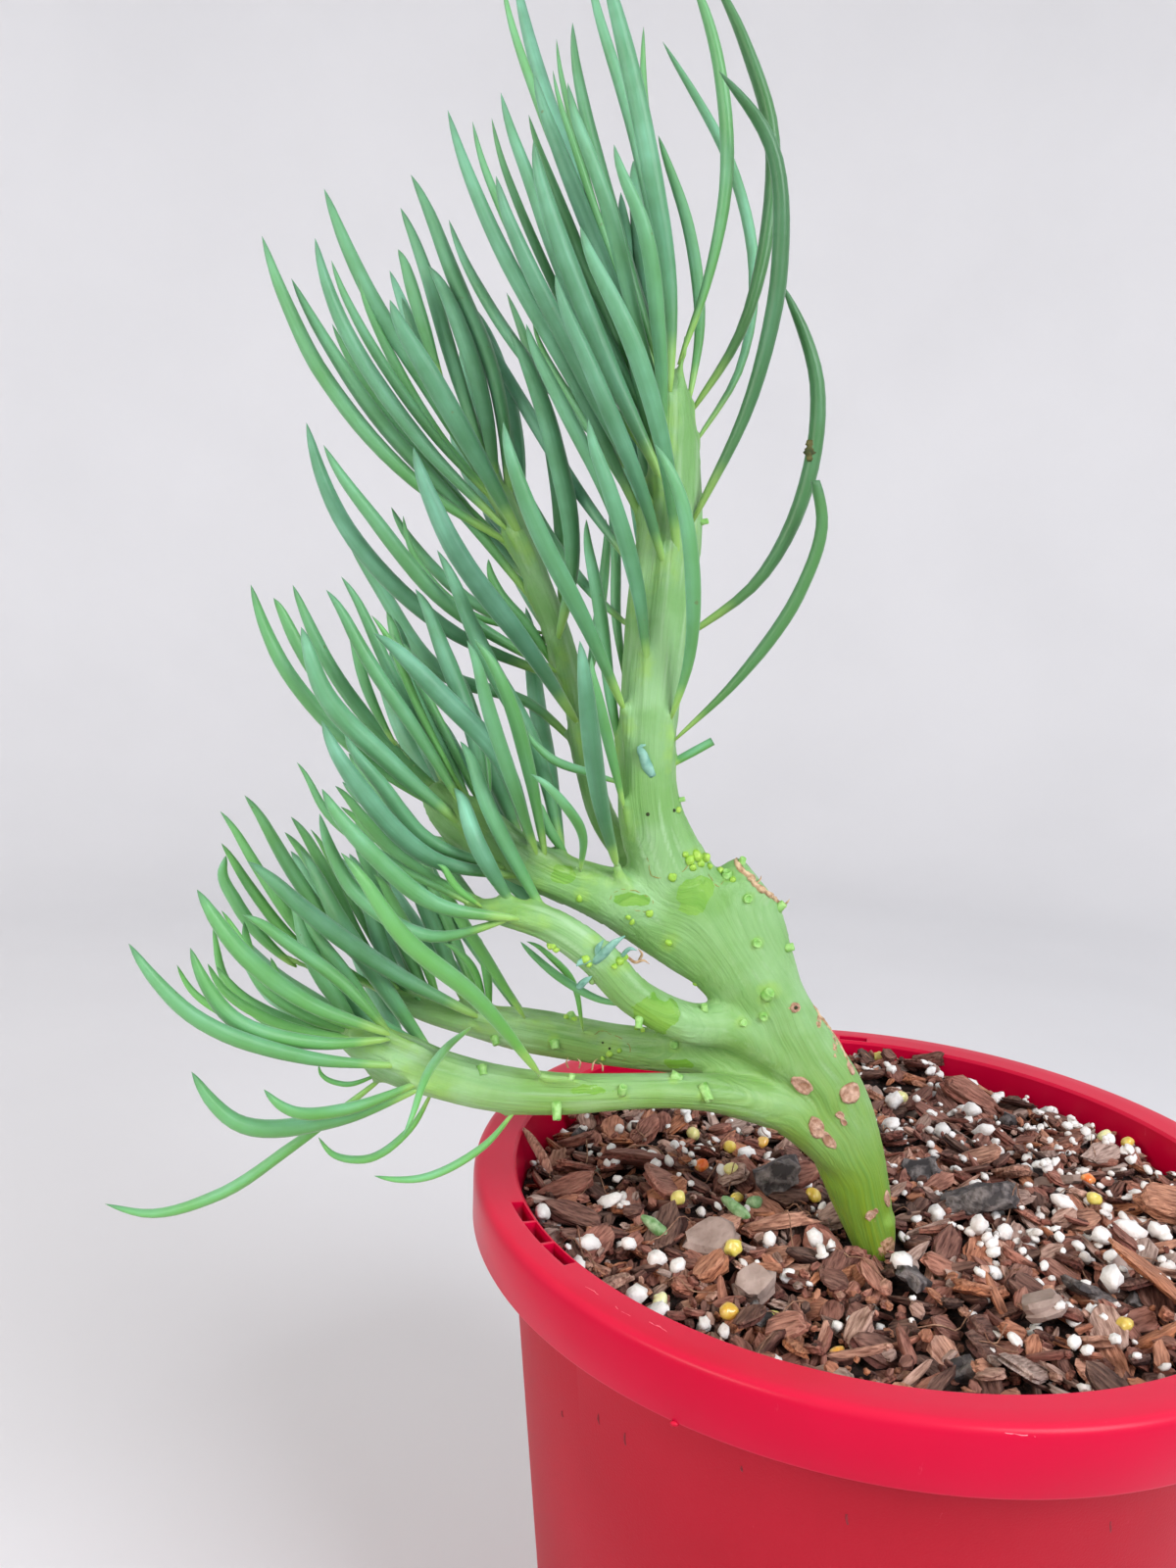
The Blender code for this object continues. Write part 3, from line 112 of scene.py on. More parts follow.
# Limbs of the crested stem. x, y and half_width are front-view pixels, and depth and
# half_depth are millimetres.
LIMBS = {
    "main_shoot": limb_plan(7,
        (890, 1262, -22.5, 23, 4.7), (873, 1200, -22.5, 34, 5.2), (847, 1126, -22.8, 40, 5.8),
        (809, 1064, -23.2, 40, 6.2), (774, 1014, -23.8, 41, 6.4), (738, 968, -24.6, 46, 6.3),
        (698, 912, -26.0, 42, 6.0), (669, 848, -27.6, 36, 5.6), (661, 785, -28.6, 30, 5.4),
        (665, 700, -29.6, 31, 5.3), (674, 620, -30.2, 35, 5.2), (684, 535, -30.8, 32, 5.0),
        (689, 455, -31.4, 24, 4.4), (687, 385, -31.8, 17, 3.6), (676, 345, -32.0, 9, 2.4)),
    "second_shoot": limb_plan(2,
        (690, 930, -24.0, 18, 3.6), (648, 880, -19.5, 16, 3.5), (614, 832, -15.0, 14, 3.3),
        (598, 775, -13.0, 14, 3.2), (588, 715, -12.0, 14, 3.2), (572, 655, -12.0, 14, 3.1),
        (552, 602, -12.0, 13, 3.0), (533, 555, -12.5, 13, 2.8), (514, 515, -13.0, 10, 2.3),
        (500, 488, -13.0, 5, 1.4)),
    "upper_left_shoot": limb_plan(3,
        (790, 1022, -24.0, 24, 4.8), (718, 964, -25.2, 40, 5.4), (656, 926, -27.0, 38, 5.2),
        (612, 910, -28.0, 28, 4.8), (570, 895, -28.6, 24, 4.6), (530, 876, -29.0, 25, 4.4),
        (492, 852, -29.4, 29, 4.2), (460, 828, -29.6, 24, 3.6), (436, 804, -29.6, 12, 2.2)),
    "middle_left_shoot": limb_plan(3,
        (830, 1105, -24.0, 24, 4.4), (760, 1052, -26.5, 24, 4.4), (699, 1043, -29.0, 21, 4.2),
        (646, 1015, -32.5, 20, 4.0), (607, 975, -35.5, 20, 3.8), (562, 945, -37.0, 18, 3.6),
        (515, 931, -37.5, 15, 3.2), (475, 926, -37.5, 8, 2.0)),
    "lower_left_shoot": limb_plan(4,
        (858, 1152, -22.5, 26, 4.6), (800, 1098, -21.5, 28, 4.6), (740, 1077, -22.0, 26, 4.6),
        (680, 1073, -20.0, 23, 4.3), (625, 1067, -17.0, 22, 4.2), (575, 1058, -15.0, 23, 4.2),
        (525, 1049, -14.5, 22, 4.0), (475, 1040, -14.0, 16, 3.6), (430, 1030, -14.0, 11, 3.0),
        (395, 1018, -14.0, 6, 1.8)),
    "lowest_shoot": limb_plan(4,
        (868, 1185, -23.5, 26, 4.6), (810, 1138, -25.5, 24, 4.6), (750, 1119, -28.5, 21, 4.4),
        (695, 1113, -31.0, 18, 4.2), (640, 1113, -32.5, 19, 4.2), (570, 1116, -33.5, 23, 4.3),
        (505, 1110, -34.0, 25, 4.4), (450, 1096, -34.2, 26, 4.3), (408, 1080, -34.4, 28, 4.0),
        (375, 1068, -34.4, 20, 3.0), (352, 1060, -34.4, 9, 1.8)),
    "cut_stub": limb_plan(None,
        (792, 1052, -23.4, 34, 5.2), (768, 992, -24.0, 40, 5.3), (762, 946, -24.5, 42, 5.0),
        (767, 917, -24.8, 38, 4.8), (777, 899, -25.0, 32, 4.5)),
}

# The stem's finer form: the stub's slanting cut, and the skin that bridges the fan's limbs.
FINER_LIMBS = LIMBS | {
    "main_shoot": limb_plan(7, *LIMBS["main_shoot"].sections[:-2],
        (691, 404, -31.6, 13, 3.2), (694, 372, -31.8, 2.5, 1.2)),
    "cut_stub": limb_plan(None,
        (794, 1052, -23.4, 34, 5.2), (775, 996, -24.0, 40, 5.3), (760, 950, -24.6, 43, 4.9),
        (758, 914, -25.0, 38, 4.2), (775, 898, -25.0, 33, 3.4)),
    "fan_web": limb_plan(None,
        (804, 1058, -23.4, 38, 5.7), (770, 1004, -24.0, 44, 5.9), (748, 960, -24.6, 46, 5.7),
        (738, 922, -25.2, 38, 5.2), (734, 896, -25.6, 24, 4.4)),
}

# Leaves whose place shows in the front view, in its pixels, root first.
LEAVES = {
    "trunk": leaf_plan(
        (1, 9, 648, 1026, 612, 1020, 575, 1000, 530, 962)),
    "main_shoot": leaf_plan(
        (-4, 24, 640, 828, 608, 795, 598, 730, 594, 658),
        (-3, 17, 684, 736, 703, 672, 707, 600, 695, 510, 672, 452),
        (-2.5, 22, 692, 577, 681, 475, 648, 355, 588, 233),
        (-2, 20, 681, 588, 655, 500, 612, 395, 562, 282),
        (-2.5, 19, 662, 688, 650, 595, 624, 505, 596, 429),
        (-3, 21, 638, 728, 600, 640, 545, 530, 509, 432), (-1, 17, 650, 600, 620, 505, 575, 415, 533, 333),
        (4, 15, 655, 590, 583, 490, 530, 405, 484, 325), (4, 12, 640, 640, 600, 600, 560, 545, 525, 480),
        (-2, 13, 636, 826, 623, 765, 610, 710, 600, 672), (2, 11, 640, 705, 629, 630, 628, 560, 622, 500),
        (0, 15, 640, 800, 624, 715, 612, 620, 595, 531), (0, 10, 636, 800, 600, 788, 565, 775, 535, 748),
        (-1, 21, 683, 408, 684, 300, 664, 170, 628, 10, 612, -45),
        (-2, 19, 678, 470, 673, 340, 657, 230, 622, 150),
        (1, 14, 676, 400, 672, 260, 648, 140, 608, 5, 596, -40),
        (2, 10, 680, 380, 668, 210, 657, 90, 655, 30), (2, 13, 708, 412, 714, 330, 703, 235, 672, 140),
        (0, 15, 692, 372, 722, 285, 741, 180, 732, 60, 705, -35),
        (1, 17, 703, 424, 755, 340, 782, 240, 786, 130, 760, 45, 728, -30),
        (-1, 19, 705, 536, 768, 400, 795, 270, 787, 150, 737, 70),
        (3, 12, 708, 456, 755, 375, 769, 270, 750, 180, 678, 43),
        (0, 18, 706, 652, 775, 590, 826, 480, 834, 400, 802, 288),
        (-1, 15, 688, 758, 755, 690, 815, 605, 838, 540, 836, 490), (0, 10, 686, 779, 727, 756),
        (-1, 18, 680, 430, 650, 330, 622, 215, 575, 87), (0, 16, 680, 400, 632, 240, 597, 110, 580, 25),
        (1, 9, 675, 380, 608, 215, 578, 100, 564, 42), (0, 9, 678, 400, 608, 215, 578, 125, 560, 74),
        (-1, 20, 680, 440, 615, 265, 570, 150, 541, 76), (0, 20, 678, 410, 600, 210, 555, 90, 522, -30),
        (1, 12, 674, 380, 582, 185, 532, 55, 508, -20), (-1, 24, 680, 500, 608, 340, 565, 225, 540, 145),
        (0, 18, 675, 480, 580, 290, 532, 160, 507, 97), (1, 13, 678, 470, 605, 290, 562, 182, 536, 120),
        (-1, 21, 672, 530, 590, 370, 535, 260, 502, 182), (0, 12, 670, 480, 560, 310, 500, 185, 478, 126),
        (1, 11, 674, 480, 575, 310, 520, 185, 498, 123), (0, 19, 664, 550, 590, 395, 510, 250, 453, 115),
        (0, 16, 672, 450, 595, 300, 540, 203), (1, 9, 662, 540, 595, 425, 562, 372, 540, 330),
        (0, 14, 672, 495, 660, 430, 640, 330), (2, 14, 664, 500, 590, 425, 525, 350, 487, 290, 455, 227)),
    "second_shoot": leaf_plan(
        (0, 18, 525, 560, 425, 492, 330, 382, 264, 243), (0, 17, 550, 624, 470, 520, 385, 425, 295, 287),
        (1, 12, 530, 570, 440, 480, 372, 390, 337, 333), (-1, 18, 522, 545, 430, 450, 350, 330, 318, 245),
        (0, 12, 512, 520, 440, 440, 375, 345, 335, 268), (1, 18, 520, 530, 440, 400, 372, 290, 330, 195),
        (-2, 24, 533, 550, 490, 470, 435, 375, 394, 308), (0, 12, 515, 520, 445, 440, 395, 355, 363, 285),
        (-3, 24, 592, 742, 540, 662, 465, 560, 418, 458), (1, 16, 505, 500, 462, 370, 432, 270, 411, 213),
        (0, 20, 508, 510, 490, 400, 465, 325, 441, 270), (0, 15, 505, 500, 455, 400, 425, 310, 409, 255),
        (1, 9, 503, 490, 448, 390, 427, 350), (1, 11, 505, 495, 483, 430, 464, 378),
        (0, 19, 522, 530, 505, 390, 460, 275, 423, 178), (1, 20, 530, 548, 527, 460, 508, 375, 484, 312),
        (-1, 22, 568, 657, 583, 580, 562, 445, 524, 335), (1, 14, 574, 645, 565, 480, 540, 360, 519, 300),
        (0, 20, 572, 695, 455, 640, 352, 535, 309, 433), (-1, 18, 568, 690, 450, 610, 375, 520, 327, 457),
        (2, 13, 560, 660, 470, 605, 430, 565, 397, 520), (1, 9, 556, 650, 470, 620, 425, 570, 408, 528),
        (2, 17, 594, 765, 545, 720, 450, 685, 385, 595, 345, 530),
        (0, 13, 578, 700, 540, 640, 510, 605, 495, 572), (1, 12, 592, 735, 606, 660, 616, 590, 621, 530)),
    "upper_left_shoot": leaf_plan(
        (-3, 17, 549, 876, 530, 820, 497, 720, 481, 653), (-2, 17, 557, 878, 540, 790, 515, 705, 488, 650),
        (1, 20, 575, 888, 550, 775, 490, 660, 450, 560), (-1, 24, 545, 868, 510, 775, 445, 705, 385, 643),
        (-1, 17, 480, 835, 430, 755, 370, 665, 337, 600), (0, 14, 485, 830, 400, 690, 370, 625, 352, 587),
        (-1, 17, 466, 835, 370, 770, 290, 680, 253, 598), (0, 14, 460, 824, 360, 740, 305, 660, 281, 610),
        (-2, 22, 475, 845, 400, 780, 330, 705, 308, 640), (1, 15, 468, 825, 400, 762, 340, 685, 298, 598),
        (0, 10, 480, 825, 430, 730, 400, 660, 383, 626), (1, 10, 500, 840, 440, 720, 415, 670, 404, 646),
        (0, 12, 455, 820, 410, 770, 375, 705, 357, 640), (1, 20, 500, 842, 480, 740, 450, 660, 428, 600),
        (1, 18, 485, 835, 450, 760, 425, 700, 415, 655), (1, 11, 498, 836, 495, 780, 485, 730),
        (-3, 22, 532, 895, 440, 875, 365, 800, 325, 738), (-2, 18, 525, 890, 435, 855, 385, 795, 348, 752),
        (2, 14, 500, 868, 430, 860, 375, 820, 349, 800), (2, 13, 480, 860, 420, 850, 380, 800, 355, 770),
        (4, 20, 575, 888, 560, 790, 545, 700, 540, 620), (-3, 12, 592, 890, 594, 852, 575, 820, 545, 788),
        (0, 12, 588, 892, 574, 868, 558, 843, 548, 815)),
    "middle_left_shoot": leaf_plan(
        (-2, 21, 532, 938, 445, 922, 375, 865, 325, 808), (-1, 17, 520, 938, 440, 955, 365, 912, 322, 832),
        (0, 11, 490, 928, 400, 880, 330, 825, 307, 776), (1, 14, 510, 928, 430, 890, 375, 840, 345, 800),
        (1, 12, 500, 928, 440, 900, 390, 860, 350, 822), (0, 9, 492, 926, 465, 905, 450, 880)),
    "lower_left_shoot": leaf_plan(
        (-2, 21, 492, 1040, 400, 992, 310, 928, 255, 876),
        (-2, 14, 536, 1040, 500, 985, 468, 935, 437, 883),
        (-1, 8, 595, 1052, 583, 1000, 560, 975, 540, 958), (0, 9, 497, 1034, 480, 985, 455, 960),
        (0, 11, 500, 1034, 495, 985, 485, 950), (1, 18, 432, 1030, 395, 980, 375, 920, 360, 870),
        (2, 18, 440, 1030, 415, 970, 385, 910, 365, 860), (1, 14, 450, 1030, 430, 975, 405, 930, 385, 890),
        (1, 16, 420, 1028, 345, 955, 295, 885, 253, 810), (1, 15, 420, 1028, 370, 965, 335, 895, 300, 832),
        (2, 14, 415, 1026, 365, 970, 325, 895, 293, 848), (2, 9, 420, 1028, 370, 940, 340, 885, 320, 845),
        (0, 6, 482, 1046, 450, 1045, 432, 1030, 425, 1015),
        (0, 13, 405, 1022, 320, 965, 265, 890, 228, 826), (0, 12, 405, 1022, 310, 970, 255, 905, 227, 860),
        (0, 15, 400, 1020, 300, 985, 240, 920, 227, 888, 234, 874),
        (-6, 10, 481, 1048, 450, 1075, 428, 1115, 415, 1162)),
    "lowest_shoot": leaf_plan(
        (-4, 21, 552, 1098, 485, 1018, 410, 955, 352, 868),
        (-2, 20, 402, 1056, 305, 1018, 245, 970, 200, 909),
        (-2, 19, 400, 1060, 330, 1064, 240, 1040, 190, 970),
        (-3, 19, 412, 1088, 310, 1078, 200, 1038, 128, 966),
        (0, 9, 385, 1060, 310, 1025, 250, 965, 227, 928),
        (0, 9, 375, 1068, 240, 1040, 200, 1015, 178, 986),
        (0, 11, 378, 1064, 275, 1040, 230, 1012, 210, 984),
        (1, 12, 380, 1062, 290, 1040, 245, 1015, 220, 987),
        (1, 11, 385, 1064, 270, 1040, 230, 1000, 217, 945),
        (1, 14, 390, 1060, 310, 1035, 265, 1000, 247, 940),
        (1, 11, 395, 1060, 320, 1045, 290, 1010, 276, 977),
        (-2, 20, 434, 1108, 340, 1142, 245, 1146, 192, 1097),
        (-3, 15, 434, 1102, 350, 1132, 300, 1134, 267, 1116),
        (0, 13, 395, 1096, 300, 1168, 220, 1220, 155, 1238, 107, 1232),
        (1, 9, 442, 1112, 418, 1152, 370, 1183, 340, 1178, 323, 1162),
        (0, 9, 530, 1128, 490, 1172, 430, 1202, 382, 1203),
        (0, 6, 390, 1096, 350, 1106, 332, 1100, 322, 1088),
        (0, 16, 402, 1060, 345, 1000, 290, 960, 250, 930),
        (1, 14, 400, 1058, 350, 990, 320, 950, 305, 915)),
}

# Leaves of the far side, which a rule spreads between these front-view headings (degrees,
# from right round by up), with their number, their length in millimetres and the share of
# the shoot's length where they start.
FAR_LEAVES = {
    "main_shoot": dict(count=11, heading=(96, 130), length=(50, 66), start=0.34),
    "second_shoot": dict(count=7, heading=(112, 144), length=(50, 66), start=0.35),
    "upper_left_shoot": dict(count=9, heading=(112, 146), length=(40, 56), start=0.3),
    "middle_left_shoot": dict(count=6, heading=(118, 160), length=(42, 58), start=0.3),
    "lower_left_shoot": dict(count=7, heading=(112, 156), length=(46, 62), start=0.35),
    "lowest_shoot": dict(count=7, heading=(128, 186), length=(46, 62), start=0.45),
}
FAR_RADII = (1.7, 2.3)
FAR_SIDE = 0.6
FAR_BACK = (18.0, 52.0)
FAR_BOW = 2.0
FAR_STEPS = ((0.34, 0.0), (0.68, 0.05), (0.96, 0.15))
ROOT_OFFSET = 0.35

# Room that leaves leave each other, in millimetres, and how far they swing in depth for it.
CLEARANCE = 0.7
TOUCH = -0.6
SEARCH_REACH = 9.0
SHIFT_STEP = 1.5
SHIFT_LIMIT = 30.0
SHIFT_COST = 0.05
BEAD_STEP = 1.6
BEADS_A_SECTION = 4
BEADS_ACROSS = 7
ROOT_SHARE = 0.22
LAYER = 6.5
STEM_STEPS = 2
# Places that are looked up at once.
NEAREST_BATCH = 8000

SHORT_PROFILE = ((0.0, 0.75), (0.35, 1.0), (0.75, 0.78), (1.0, 0.07))
LEAF_PROFILE = ((0.0, 0.72), (0.25, 1.0), (0.6, 0.95), (0.85, 0.62), (1.0, 0.07))
LONG_PROFILE = ((0.0, 0.72), (0.2, 1.0), (0.42, 1.0), (0.64, 0.92), (0.86, 0.6), (1.0, 0.07))
CUT_PROFILE = ((0.0, 0.9), (0.5, 1.0), (1.0, 0.95))
CUSHION_PROFILE = ((0.0, 0.25), (0.45, 0.54), (0.85, 0.62), (1.0, 0.46))
WITHERED_PROFILE = ((0.0, 0.8), (0.3, 1.0), (0.7, 0.8), (1.0, 0.1))

# Where the stem stands in the mix, in millimetres.
STEM_FOOT = (-4.0, -22.5)
STEM_TOE = np.array([*STEM_FOOT, 142.0])
SOIL_LEVEL = 180.6
SOIL_SLOPE = 0.03
SOIL_LEVEL_REACH = 30.0


def unit(way: Rows) -> Rows:
    """A direction at length 1."""
    return way / np.linalg.norm(way)


def units(ways: Rows) -> Rows:
    """Rows of directions at length 1."""
    return ways / np.linalg.norm(ways, axis=1)[:, None]


def square_to(axis: Rows, way: Rows) -> Rows:
    """The direction square to an axis, at length 1, that is nearest to a way."""
    return unit(way - axis * np.dot(way, axis))


def view_ray(x: float, y: float) -> Rows:
    """The direction in which the front view shows a pixel."""
    u = (x - VIEW_MIDDLE[0]) / FOCAL
    v = (VIEW_MIDDLE[1] - y) / FOCAL
    right = math.cos(EYE_ROLL) * u - math.sin(EYE_ROLL) * v
    up = math.sin(EYE_ROLL) * u + math.cos(EYE_ROLL) * v
    return np.array([right, math.cos(EYE_DOWN) + up * math.sin(EYE_DOWN),
                     -math.sin(EYE_DOWN) + up * math.cos(EYE_DOWN)])


def on_plane(x: float, y: float, depth: float) -> Rows:
    """The point in millimetres that a front-view pixel shows at a depth."""
    ray = view_ray(x, y)
    return EYE + ray * (depth - EYE[1]) / ray[1]


def on_level(x: float, y: float, height: float) -> Rows:
    """The point in millimetres that a front-view pixel shows at a height."""
    ray = view_ray(x, y)
    return EYE + ray * (height - EYE[2]) / ray[2]


def in_view(points: Rows) -> Rows:
    """The front-view pixels of points in millimetres."""
    reach = points - EYE
    ahead = reach[:, 1] * math.cos(EYE_DOWN) - reach[:, 2] * math.sin(EYE_DOWN)
    rise = reach[:, 1] * math.sin(EYE_DOWN) + reach[:, 2] * math.cos(EYE_DOWN)
    u = math.cos(EYE_ROLL) * reach[:, 0] + math.sin(EYE_ROLL) * rise
    v = -math.sin(EYE_ROLL) * reach[:, 0] + math.cos(EYE_ROLL) * rise
    return np.stack([VIEW_MIDDLE[0] + FOCAL * u / ahead, VIEW_MIDDLE[1] - FOCAL * v / ahead], axis=1)


def pixel_size(point: Rows) -> float:
    """Millimetres that one front-view pixel covers at a point."""
    reach = point - EYE
    return (reach[1] * math.cos(EYE_DOWN) - reach[2] * math.sin(EYE_DOWN)) / FOCAL


def on_curve(points: Rows, slopes: Rows, i: int, t: float, span: float = 1.0) -> Rows:
    """The place at a share t of the smooth curve's stretch that starts at point i."""
    return ((2 * t ** 3 - 3 * t ** 2 + 1) * points[i] + (t ** 3 - 2 * t ** 2 + t) * span * slopes[i]
            + (3 * t ** 2 - 2 * t ** 3) * points[i + 1] + (t ** 3 - t ** 2) * span * slopes[i + 1])


def read_profile(profile: Sequence, marks: Rows) -> Rows:
    """A profile's shares of the radius at positions from 0 to 1."""
    return np.interp(marks, *zip(*profile))


def smooth_route(points: Sequence, positions: Sequence[float]) -> list:
    """Places on a smooth curve.

    Args:
        points: What the curve passes through.
        positions: Shares of its length, from 0 to 1.

    Returns:
        One point for each position.
    """
    points = np.asarray(points, float)
    if len(points) == 2:
        return [points[0] + (points[1] - points[0]) * s for s in positions]
    lengths = np.linalg.norm(np.diff(points, axis=0), axis=1)
    marks = np.concatenate([[0.0], np.cumsum(lengths)]) / lengths.sum()
    slopes = np.gradient(points, marks, axis=0)
    found = []
    for s in positions:
        i = min(int(np.searchsorted(marks, s, side="right")) - 1, len(points) - 2)
        span = marks[i + 1] - marks[i]
        found.append(on_curve(points, slopes, i, (s - marks[i]) / span, span))
    return found


class LimbShape:
    """A limb's smooth run of cross-sections, as places and half sizes in millimetres."""

    def __init__(self, name: str, steps: int = STEM_STEPS, limbs: dict = LIMBS) -> None:
        """Work out the limb's sections, a number of steps for each one in the table."""
        parting, sections = limbs[name]
        table = np.array(sections, float)
        slopes = np.gradient(table, axis=0)
        rows = []
        for mark in np.linspace(0, len(sections) - 1, (len(sections) - 1) * steps + 1):
            i = min(int(mark), len(sections) - 2)
            rows.append(on_curve(table, slopes, i, mark - i))
        self.rows = np.array(rows)
        self.middles = np.array([on_plane(*r[:3]) for r in rows])
        self.half_widths = np.array([r[3] * pixel_size(m) for r, m in zip(rows, self.middles)])
        self.half_depths = np.array([r[4] for r in rows])
        self.tangents = units(np.gradient(self.middles, axis=0))
        self.wides = units(np.cross(self.tangents, (0.0, 1.0, 0.0)))
        self.deeps = np.cross(self.wides, self.tangents)
        self.lengths = np.concatenate([[0.0], np.cumsum(
            np.linalg.norm(np.diff(self.middles, axis=0), axis=1))])
        self.split = None if parting is None else parting * steps

    def trunk_range(self) -> tuple:
        """Numbers of the first and last section that belong to the trunk."""
        return 0, (len(self.rows) - 1 if self.split is None else self.split)

    def shoot_range(self) -> tuple:
        """Numbers of the first and last section that belong to the leafy shoot."""
        return self.split, len(self.rows) - 1

    def nearest(self, spots: Rows) -> tuple:
        """The section nearest to each place, and how far across, deep and along it the place is."""
        parts = np.array_split(spots, len(spots) // NEAREST_BATCH + 1)
        ring = np.concatenate([np.linalg.norm(part[:, None] - self.middles[None], axis=2).argmin(axis=1)
                               for part in parts])
        reach = spots - self.middles[ring]
        return ring, *(np.einsum("ij,ij->i", reach, axes[ring])
                       for axes in (self.wides, self.deeps, self.tangents))

    def beads(self, first: int, last: int) -> Rows:
        """Balls that fill the limb between two sections: place, radius and a zero."""
        rows = []
        for mark in np.linspace(first, last, (last - first) * BEADS_A_SECTION + 1):
            i = min(int(mark), last - 1)
            t = mark - i
            middle = self.middles[i] * (1 - t) + self.middles[i + 1] * t
            radius = self.half_depths[i] * (1 - t) + self.half_depths[i + 1] * t
            width = self.half_widths[i] * (1 - t) + self.half_widths[i + 1] * t
            reach = max(width - radius, 0.0)
            for share in np.linspace(-1, 1, BEADS_ACROSS):
                rows.append([*(middle + self.wides[i] * reach * share), radius, 0.0])
        return np.array(rows)

    def seat(self, x: float, y: float, span: tuple, inset: float = 6.0) -> tuple:
        """Find where a front-view pixel sits on the limb.

        Args:
            x, y: The pixel.
            span: Numbers of the first and last section to look at.
            inset: Pixels to stay inside the outline.

        Returns:
            Distance outside the limb, the seat's pixel, its depth and the half depth there.
        """
        best = None
        for i in range(*span):
            a, b = self.rows[i], self.rows[i + 1]
            along = b[:2] - a[:2]
            t = float(np.clip(np.dot((x, y) - a[:2], along) / np.dot(along, along), 0, 1))
            row = a + (b - a) * t
            away = np.array([x, y]) - row[:2]
            distance = np.linalg.norm(away)
            reach = max(row[3] - inset, 0.0)
            over = max(distance - reach, 0.0)
            if best is None or over < best[0] - 1e-6:
                pull = reach / distance if distance > reach else 1.0
                best = (over, row[:2] + away * pull, row[2], row[4])
        return best


class LeafShape:
    """A leaf's place: points of its middle line, and its radius.

    Where it was laid out in the front view, the picture holds those pixels, and swinging it
    to another depth keeps them.
    """

    def __init__(self, node: str, points: Sequence, radius: float, picture: Sequence = None) -> None:
        """Keep the leaf's node, its line and radius in millimetres and its pixels."""
        self.node = node
        self.points = np.asarray(points, float)
        self.radius = radius
        self.picture = picture

    def shifted(self, shift: float) -> "LeafShape":
        """The same leaf swung towards the back by a distance at its tip."""
        last = len(self.points) - 1
        moved = self.points.copy()
        for number in range(1, last + 1):
            depth = moved[number, 1] + shift * math.sin(number / last * math.pi / 2)
            if self.picture is None:
                moved[number, 1] = depth
            else:
                moved[number] = on_plane(*self.picture[number - 1], depth)
        return LeafShape(self.node, moved, self.radius, self.picture)

    def length(self) -> float:
        """The leaf's length in millimetres."""
        return float(np.linalg.norm(np.diff(self.points, axis=0), axis=1).sum())

    def profile(self) -> tuple:
        """Positions and shares of the radius along the leaf."""
        choices = {2: CUT_PROFILE, 3: SHORT_PROFILE, 4: LEAF_PROFILE}
        return choices.get(len(self.points), LONG_PROFILE)

    def beads(self) -> Rows:
        """Balls along the leaf, as rows of place, radius and position from the root."""
        marks = np.linspace(0, 1, max(6, int(self.length() / BEAD_STEP)))
        radii = self.radius * read_profile(self.profile(), marks)
        return np.column_stack([smooth_route(self.points, marks), radii, marks])


def limbs_of(node: str, limbs: dict) -> list:
    """The limbs and their section ranges that belong to a node."""
    if node == "trunk":
        return [(limb, limb.trunk_range()) for limb in limbs.values()]
    return [(limbs[node], limbs[node].shoot_range())]


def seat_leaf(node: str, limbs: dict, leaf: Leaf) -> LeafShape:
    """A leaf's middle line in millimetres, from inside its limb to its tip.

    Args:
        node: The node that the leaf belongs to.
        limbs: The limbs' shapes by name.
        leaf: The leaf's row of the table.

    Returns:
        The leaf's place.
    """
    seats = [limb.seat(*leaf.route[0], span) for limb, span in limbs_of(node, limbs)]
    _, root, depth, half_depth = min(seats, key=lambda seat: seat[0])
    start = depth + float(np.clip(leaf.layer, -1.0, 1.0)) * half_depth * ROOT_OFFSET
    points = [on_plane(*root, start)]
    route = leaf.route[1:]
    for number, (x, y) in enumerate(route):
        share = math.sin((number + 1) / len(route) * math.pi / 2)
        points.append(on_plane(x, y, start + leaf.layer * LAYER * share))
    radius = leaf.width / 2 * pixel_size(points[len(points) // 2])
    return LeafShape(node, points, radius, route)


def far_leaf(node: str, limb: LimbShape, rule: dict, draw: random.Random, number: int) -> LeafShape:
    """A leaf of the far side, rooted on the limb's back and fanned by its number.

    Args:
        node: The node that the leaf belongs to.
        limb: The limb that carries it.
        rule: The node's row of FAR_LEAVES.
        draw: Source of the small differences.
        number: The leaf's number in its node.

    Returns:
        The leaf's place.
    """
    first, last = limb.shoot_range()
    share = rule["start"] + (1 - rule["start"]) * (number + 0.5) / rule["count"]
    i = min(int(first + share * (last - first)), last - 1)
    root = (limb.middles[i] + limb.wides[i] * limb.half_widths[i] * draw.uniform(-FAR_SIDE, FAR_SIDE)
            + np.array([0.0, limb.half_depths[i] * ROOT_OFFSET, 0.0]))
    heading = math.radians(draw.uniform(*rule["heading"]))
    length = draw.uniform(*rule["length"])
    back = math.radians(draw.uniform(*FAR_BACK))
    ahead = np.array([math.cos(heading) * math.cos(back), math.sin(back),
                      math.sin(heading) * math.cos(back)])
    points = [root]
    for along, rise in FAR_STEPS:
        points.append(root + ahead * length * along + np.array([0.0, 0.0, length * rise]))
    points[1] += np.array([0.0, FAR_BOW, 0.0])
    return LeafShape(node, points, draw.uniform(*FAR_RADII))


